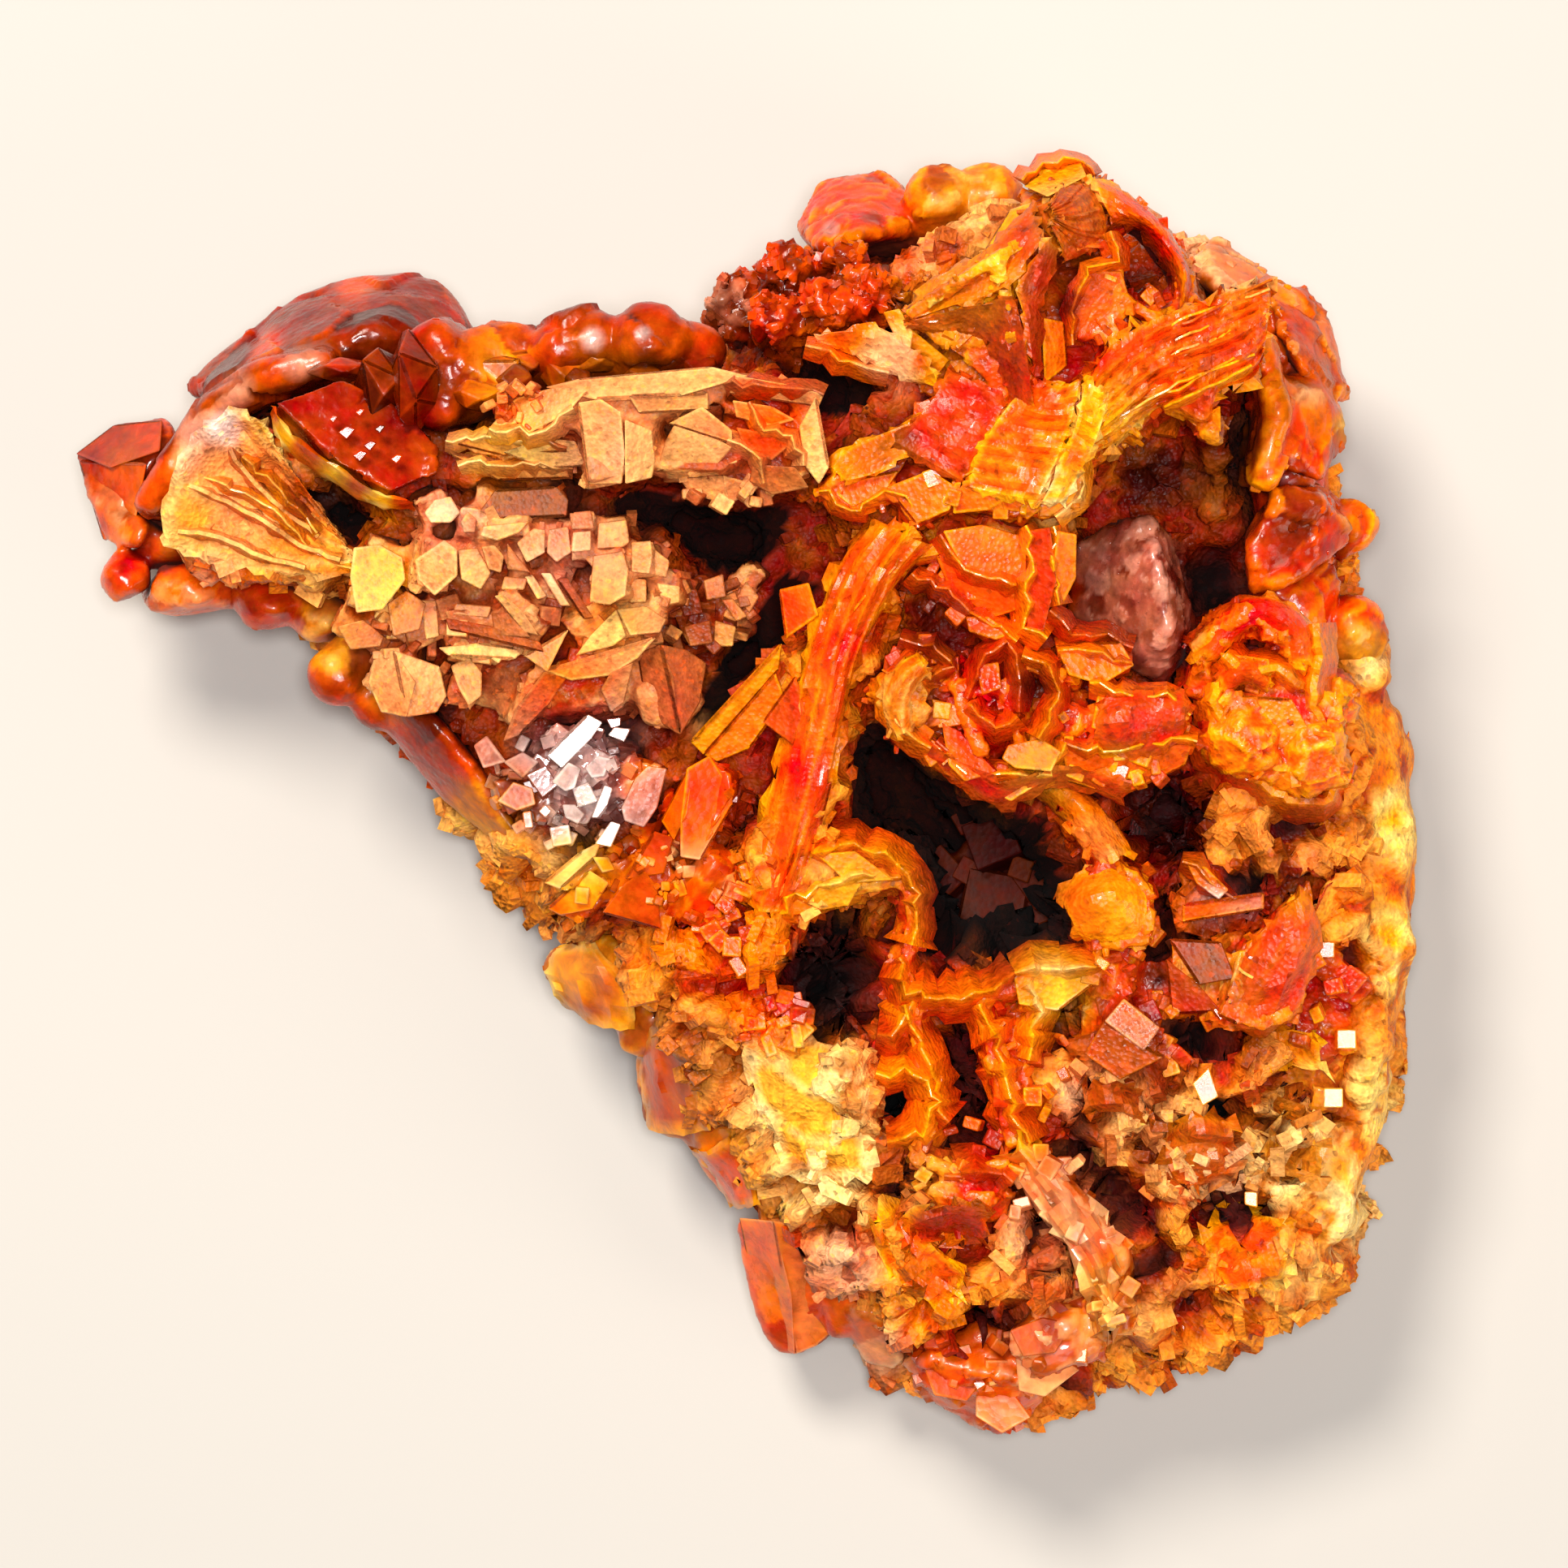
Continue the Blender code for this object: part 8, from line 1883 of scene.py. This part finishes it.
def soften(obj, rounds):
    """Rounds a skin off by letting each corner settle between its neighbours."""
    if rounds:
        co = read(obj.data, "co").astype(float)
        move(obj, spread(co, edges_of(obj.data), len(co), rounds))


def strew(body, name, slot, base, seed, density, sizes, lean, kinds, open_sky=(0.05, 0.3)):
    """Small crystals grown on a painted body, each taking the light and colour of where it stands."""
    mesh = body.data
    normal = read(mesh, "normal")
    sky = fetch(mesh, "sky")
    co = read(mesh, "co")
    bare = (1 - on_rim(co)) * (1 - pit_shade(co)) * (1 - smooth(craters(co)[0], 0.2, 0.6))
    grow = smooth(sky, *open_sky) * (normal[:, 2] > -0.7) * (co[:, 2] > 0.5) * bare
    obj = bpy.data.objects.new(name, mesh.copy())
    bpy.context.scene.collection.objects.link(obj)
    store(obj.data, "grow", grow.astype(float))
    run_tree(
        obj, DRUSE, Crystals=KINDS[kinds], Density=density, Smallest=sizes[0], Largest=sizes[1],
        Lean=lean, Bury=0.04, Seed=seed, Material=MATERIALS[slot],
    )
    paint(obj, base, BODY_RIM_HIGHLIGHT)
    finish_piece(obj, slot, crisp=True)


def dress_group(number, name, nodes, slot, base, voxel, rounds, relief, crisp):
    """A group's own body, melted from its solid, and the crisp crystals that stand on it."""
    # the pocket's dim look is already its painted shade, so no painted black is laid on it
    pits = 0.0 if name == "pocket" else 1.0
    # painted shade on a body that crisp crystals stand on
    under = SHADE_UNDER_CRYSTALS if crisp and rounds < 4 else 0.0
    obj = new_object(name + "_body", solid_of(*nodes))
    melt(obj, voxel)
    soften(obj, rounds)
    offset(obj, BODY_SWELL + SWELL_BY_ROUND * rounds if rounds > 2 else -BODY_SINK)
    weather(obj, *relief, seed=3 * number)
    paint(obj, base, BODY_RIM_HIGHLIGHT, under, pits)
    if name in STREWN:
        strew(obj, name + "_druse", slot, base, number, *STREWN[name])
    finish_piece(obj, slot, nodes)
    if crisp:
        cut = cut_crystals(name + "_crystals", crisp())
        move(cut, read(cut.data, "co") + np.array([0, 0, CRISP_LIFT]))
        paint(cut, base, pits=pits)
        finish_piece(cut, slot, crisp=True)


# small crystals strewn on a group's body: how many to a square millimetre, their sizes, lean and kinds
STREWN = {
    "plate_stack": (1.3, (0.25, 0.6), 0.6, "blocks"),
    "ledge": (0.9, (0.2, 0.5), 0.5, "blocks"),
    "boxwork": (1.4, (0.2, 0.55), 0.9, "blades"),
    "mirror_cluster": (3.0, (0.3, 0.7), 0.3, "blocks"),
    "leaning": (3.0, (0.15, 0.4), 0.6, "blocks"),
    "top_crust": (7.0, (0.15, 0.42), 0.7, "blocks"),
    "right_wall": (0.5, (0.2, 0.6), 0.5, "chips"),
    "pyramid": (2.0, (0.12, 0.3), 0.5, "chips"),
    "knob_ring": (0.7, (0.2, 0.5), 0.7, "blades"),
    "shelf": (1.8, (0.2, 0.55), 0.9, "blades"),
    "lower_right": (1.0, (0.25, 0.6), 0.7, "blades"),
    "lattice": (1.2, (0.2, 0.6), 0.8, "blades"),
    "lower_rib": (1.2, (0.2, 0.6), 0.7, "blocks"),
}
KINDS = {
    "blocks": crystal_kinds("blocks", [
        block(0, 0, 0.62, 0.58, 0, 0.34, (0.08, 0.05), 0.62),
        block(0, 0, 1.0, 0.7, 0, 0.2, (0.05, 0.0), 0.36),
        block(0, 0, 0.9, 0.4, 0, 0.4, (0.1, 0.1), 0.6),
        prism((0, 0, 0), 0.4, 0.5, bevel=0.16),
    ]),
    "blades": crystal_kinds("blades", [
        block(0, 0, 1.3, 0.2, 0, 0.5, (0.25, 0), 0.8),
        block(0, 0, 0.8, 0.3, 0, 0.5, (-0.2, 0.1), 0.8),
        prism((0, 0, 0.1), 0.2, 1.1, bevel=0.3),
        block(0, 0, 0.7, 0.5, 0, 0.3, (0.2, 0.1), 0.5),
    ]),
    "chips": crystal_kinds("chips", [
        lump((0, 0, 0), (0.5, 0.36, 0.3), count=9, seed=3),
        lump((0, 0, 0), (0.36, 0.34, 0.32), count=10, seed=8),
        prism((0, 0, 0), 0.34, 0.5, bevel=0.2),
    ]),
    "rock": crystal_kinds("rock", [
        block(0, 0, 0.62, 0.58, 0, 0.34, (0.08, 0.05), 0.62),
        block(0, 0, 1.2, 0.4, 0, 0.4, (0.2, 0.0), 0.6),
        block(0, 0, 1.0, 0.7, 0, 0.2, (0.15, 0.0), 0.36),
        lump((0, 0, 0), (0.5, 0.36, 0.3), count=9, seed=3),
    ]),
}


def near_crystals(obj, co):
    """Which corners of the rock lie close to the crystals that sit in it, softened."""
    others = solid_of(*[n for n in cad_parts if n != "matrix"])
    crystals = BVHTree.FromBMesh(others)
    others.free()
    close = np.zeros(len(co))
    for k, point in enumerate(co):
        if crystals.find_nearest(Vector(point), SOCKET_REACH)[0] is not None:
            close[k] = 1.0
    return spread(close, edges_of(obj.data), len(co), 3)


def sink_craters(obj):
    """Presses the rock's hollows into its upward faces."""
    co = read(obj.data, "co").astype(float)
    up = smooth(read(obj.data, "normal").astype(float)[:, 2], -0.1, 0.5) * smooth(co[:, 2], 3.0, 5.0)
    inside, deep, _ = craters(co)
    co[:, 2] -= np.minimum(inside * deep * up, np.maximum(co[:, 2] - CRATER_FLOOR, 0.0))
    move(obj, co)
    # how far each corner lies in a hollow, kept for the painted shade
    store(obj.data, "crater", inside)


def dress_matrix():
    """The rock: its solid with the sockets closed up, rims added, cleaved and roughened."""
    bm = solid_of("matrix")
    shells(right_rim(), bm)
    obj = new_object("matrix_rock", bm)
    melt(obj, ROCK_VOXEL)
    co, normal = read(obj.data, "co").astype(float), read(obj.data, "normal").astype(float)
    before = co + normal * (near_crystals(obj, co) * SOCKET_SWELL)[:, None]
    move(obj, before)
    # crooked rims round open cells, strongest on the lower body
    weather(obj, 1.9, 0.5, 0.4, 1.5, 0.6, 0.25, seed=1, wall_width=0.3)
    # the walls' crests are later painted paler as a highlight
    store(obj.data, "crest", fetch(obj.data, "wall"))
    after = read(obj.data, "co").astype(float) - normal * CELL_SINK
    lower = 0.2 + 0.8 * smooth(-co[:, 1], -3.0, 3.0)
    keep = smooth(co[:, 2], 0.15, 1.5) * (1 - 0.9 * on_rim(co)) * lower
    rimmed = before + (after - before) * keep[:, None]
    move(obj, rimmed)
    # finer cleaving all over it
    weather(obj, 0.6, 0.3, 0.6, 0.0, 0.35, 0.2, seed=2)
    after = read(obj.data, "co").astype(float)
    keep = smooth(co[:, 2], 0.15, 1.0) * (1 - 0.85 * on_rim(co))
    move(obj, rimmed + (after - rimmed) * keep[:, None])
    sink_craters(obj)
    paint(obj, "rust crust", BODY_RIM_HIGHLIGHT)
    strew(obj, "matrix_druse", "matrix", "rust crust", 31, 1.5, (0.25, 0.9), 0.7, "rock", (0.0, 0.35))
    finish_piece(obj, "matrix", ["matrix"])
    for name, crisp, base, slot in (
        ("rock_rims", rock_rims, "orange blade", "orange_blades"),
        ("rock_crusts", rock_crusts, "ochre crust", "matrix"),
    ):
        cut = cut_crystals(name, crisp())
        paint(cut, base)
        finish_piece(cut, slot, crisp=True)


for number, group in enumerate(GROUPS):
    dress_group(number, *group)
dress_matrix()

# ---------------------------------------------------------------- floor, light and camera, in metres

AIM = (0, 0, 0.008)  # the middle of the specimen
DISTANCE = 0.22  # from there to the camera
VIEW_WIDTH = 0.0483
SENSOR = 36.0  # its width, mm
FLOOR_HALF = 0.6


def plain_material(name, code, roughness):
    """One even colour and gloss."""
    mat = bpy.data.materials.new(name)
    mat.use_nodes = True
    shader = mat.node_tree.nodes["Principled BSDF"]
    shader.inputs["Base Color"].default_value = linear(code)
    shader.inputs["Roughness"].default_value = roughness
    return mat


def add_floor():
    """A square board under the specimen."""
    bm = bmesh.new()
    bmesh.ops.create_grid(bm, x_segments=1, y_segments=1, size=FLOOR_HALF)
    floor = new_object("studio_floor", bm)
    floor.data.materials.append(plain_material("painted_board", "#bdb9b3", 0.7))


def add_light(name, place, size, power, colour):
    """A round soft light that faces the specimen."""
    data = bpy.data.lights.new(name, "AREA")
    data.shape = "DISK"
    data.size = size
    data.energy = power
    data.color = linear(colour)[:3]
    obj = bpy.data.objects.new(name, data)
    obj.location = place
    obj.rotation_euler = (Vector(AIM) - Vector(place)).to_track_quat("-Z", "Y").to_euler()
    bpy.context.scene.collection.objects.link(obj)


def add_camera():
    """A camera straight above the specimen, that takes in VIEW_WIDTH across."""
    data = bpy.data.cameras.new("camera")
    data.sensor_width = SENSOR
    data.lens = SENSOR * DISTANCE / VIEW_WIDTH
    data.clip_start = 0.001
    obj = bpy.data.objects.new("camera", data)
    obj.location = (1.25 * MM + SHIFT.x * MM, 0.725 * MM + SHIFT.y * MM, AIM[2] + DISTANCE)
    bpy.context.scene.collection.objects.link(obj)
    bpy.context.scene.camera = obj


add_floor()
add_light("key_softbox", (-0.08, 0.14, 0.24), 0.09, 0.92, "#fff6ea")
add_light("lamp_by_the_lens", LAMP, 0.045, 0.70, "#ffffff")
add_light("side_fill", (0.20, -0.10, 0.12), 0.12, 0.22, "#fff0e0")
add_camera()

world = bpy.data.worlds.new("studio")
world.use_nodes = True
background = world.node_tree.nodes["Background"]
background.inputs["Color"].default_value = linear("#ffffff")
background.inputs["Strength"].default_value = 0.07
scene = bpy.context.scene
scene.world = world
scene.view_settings.view_transform = "Standard"
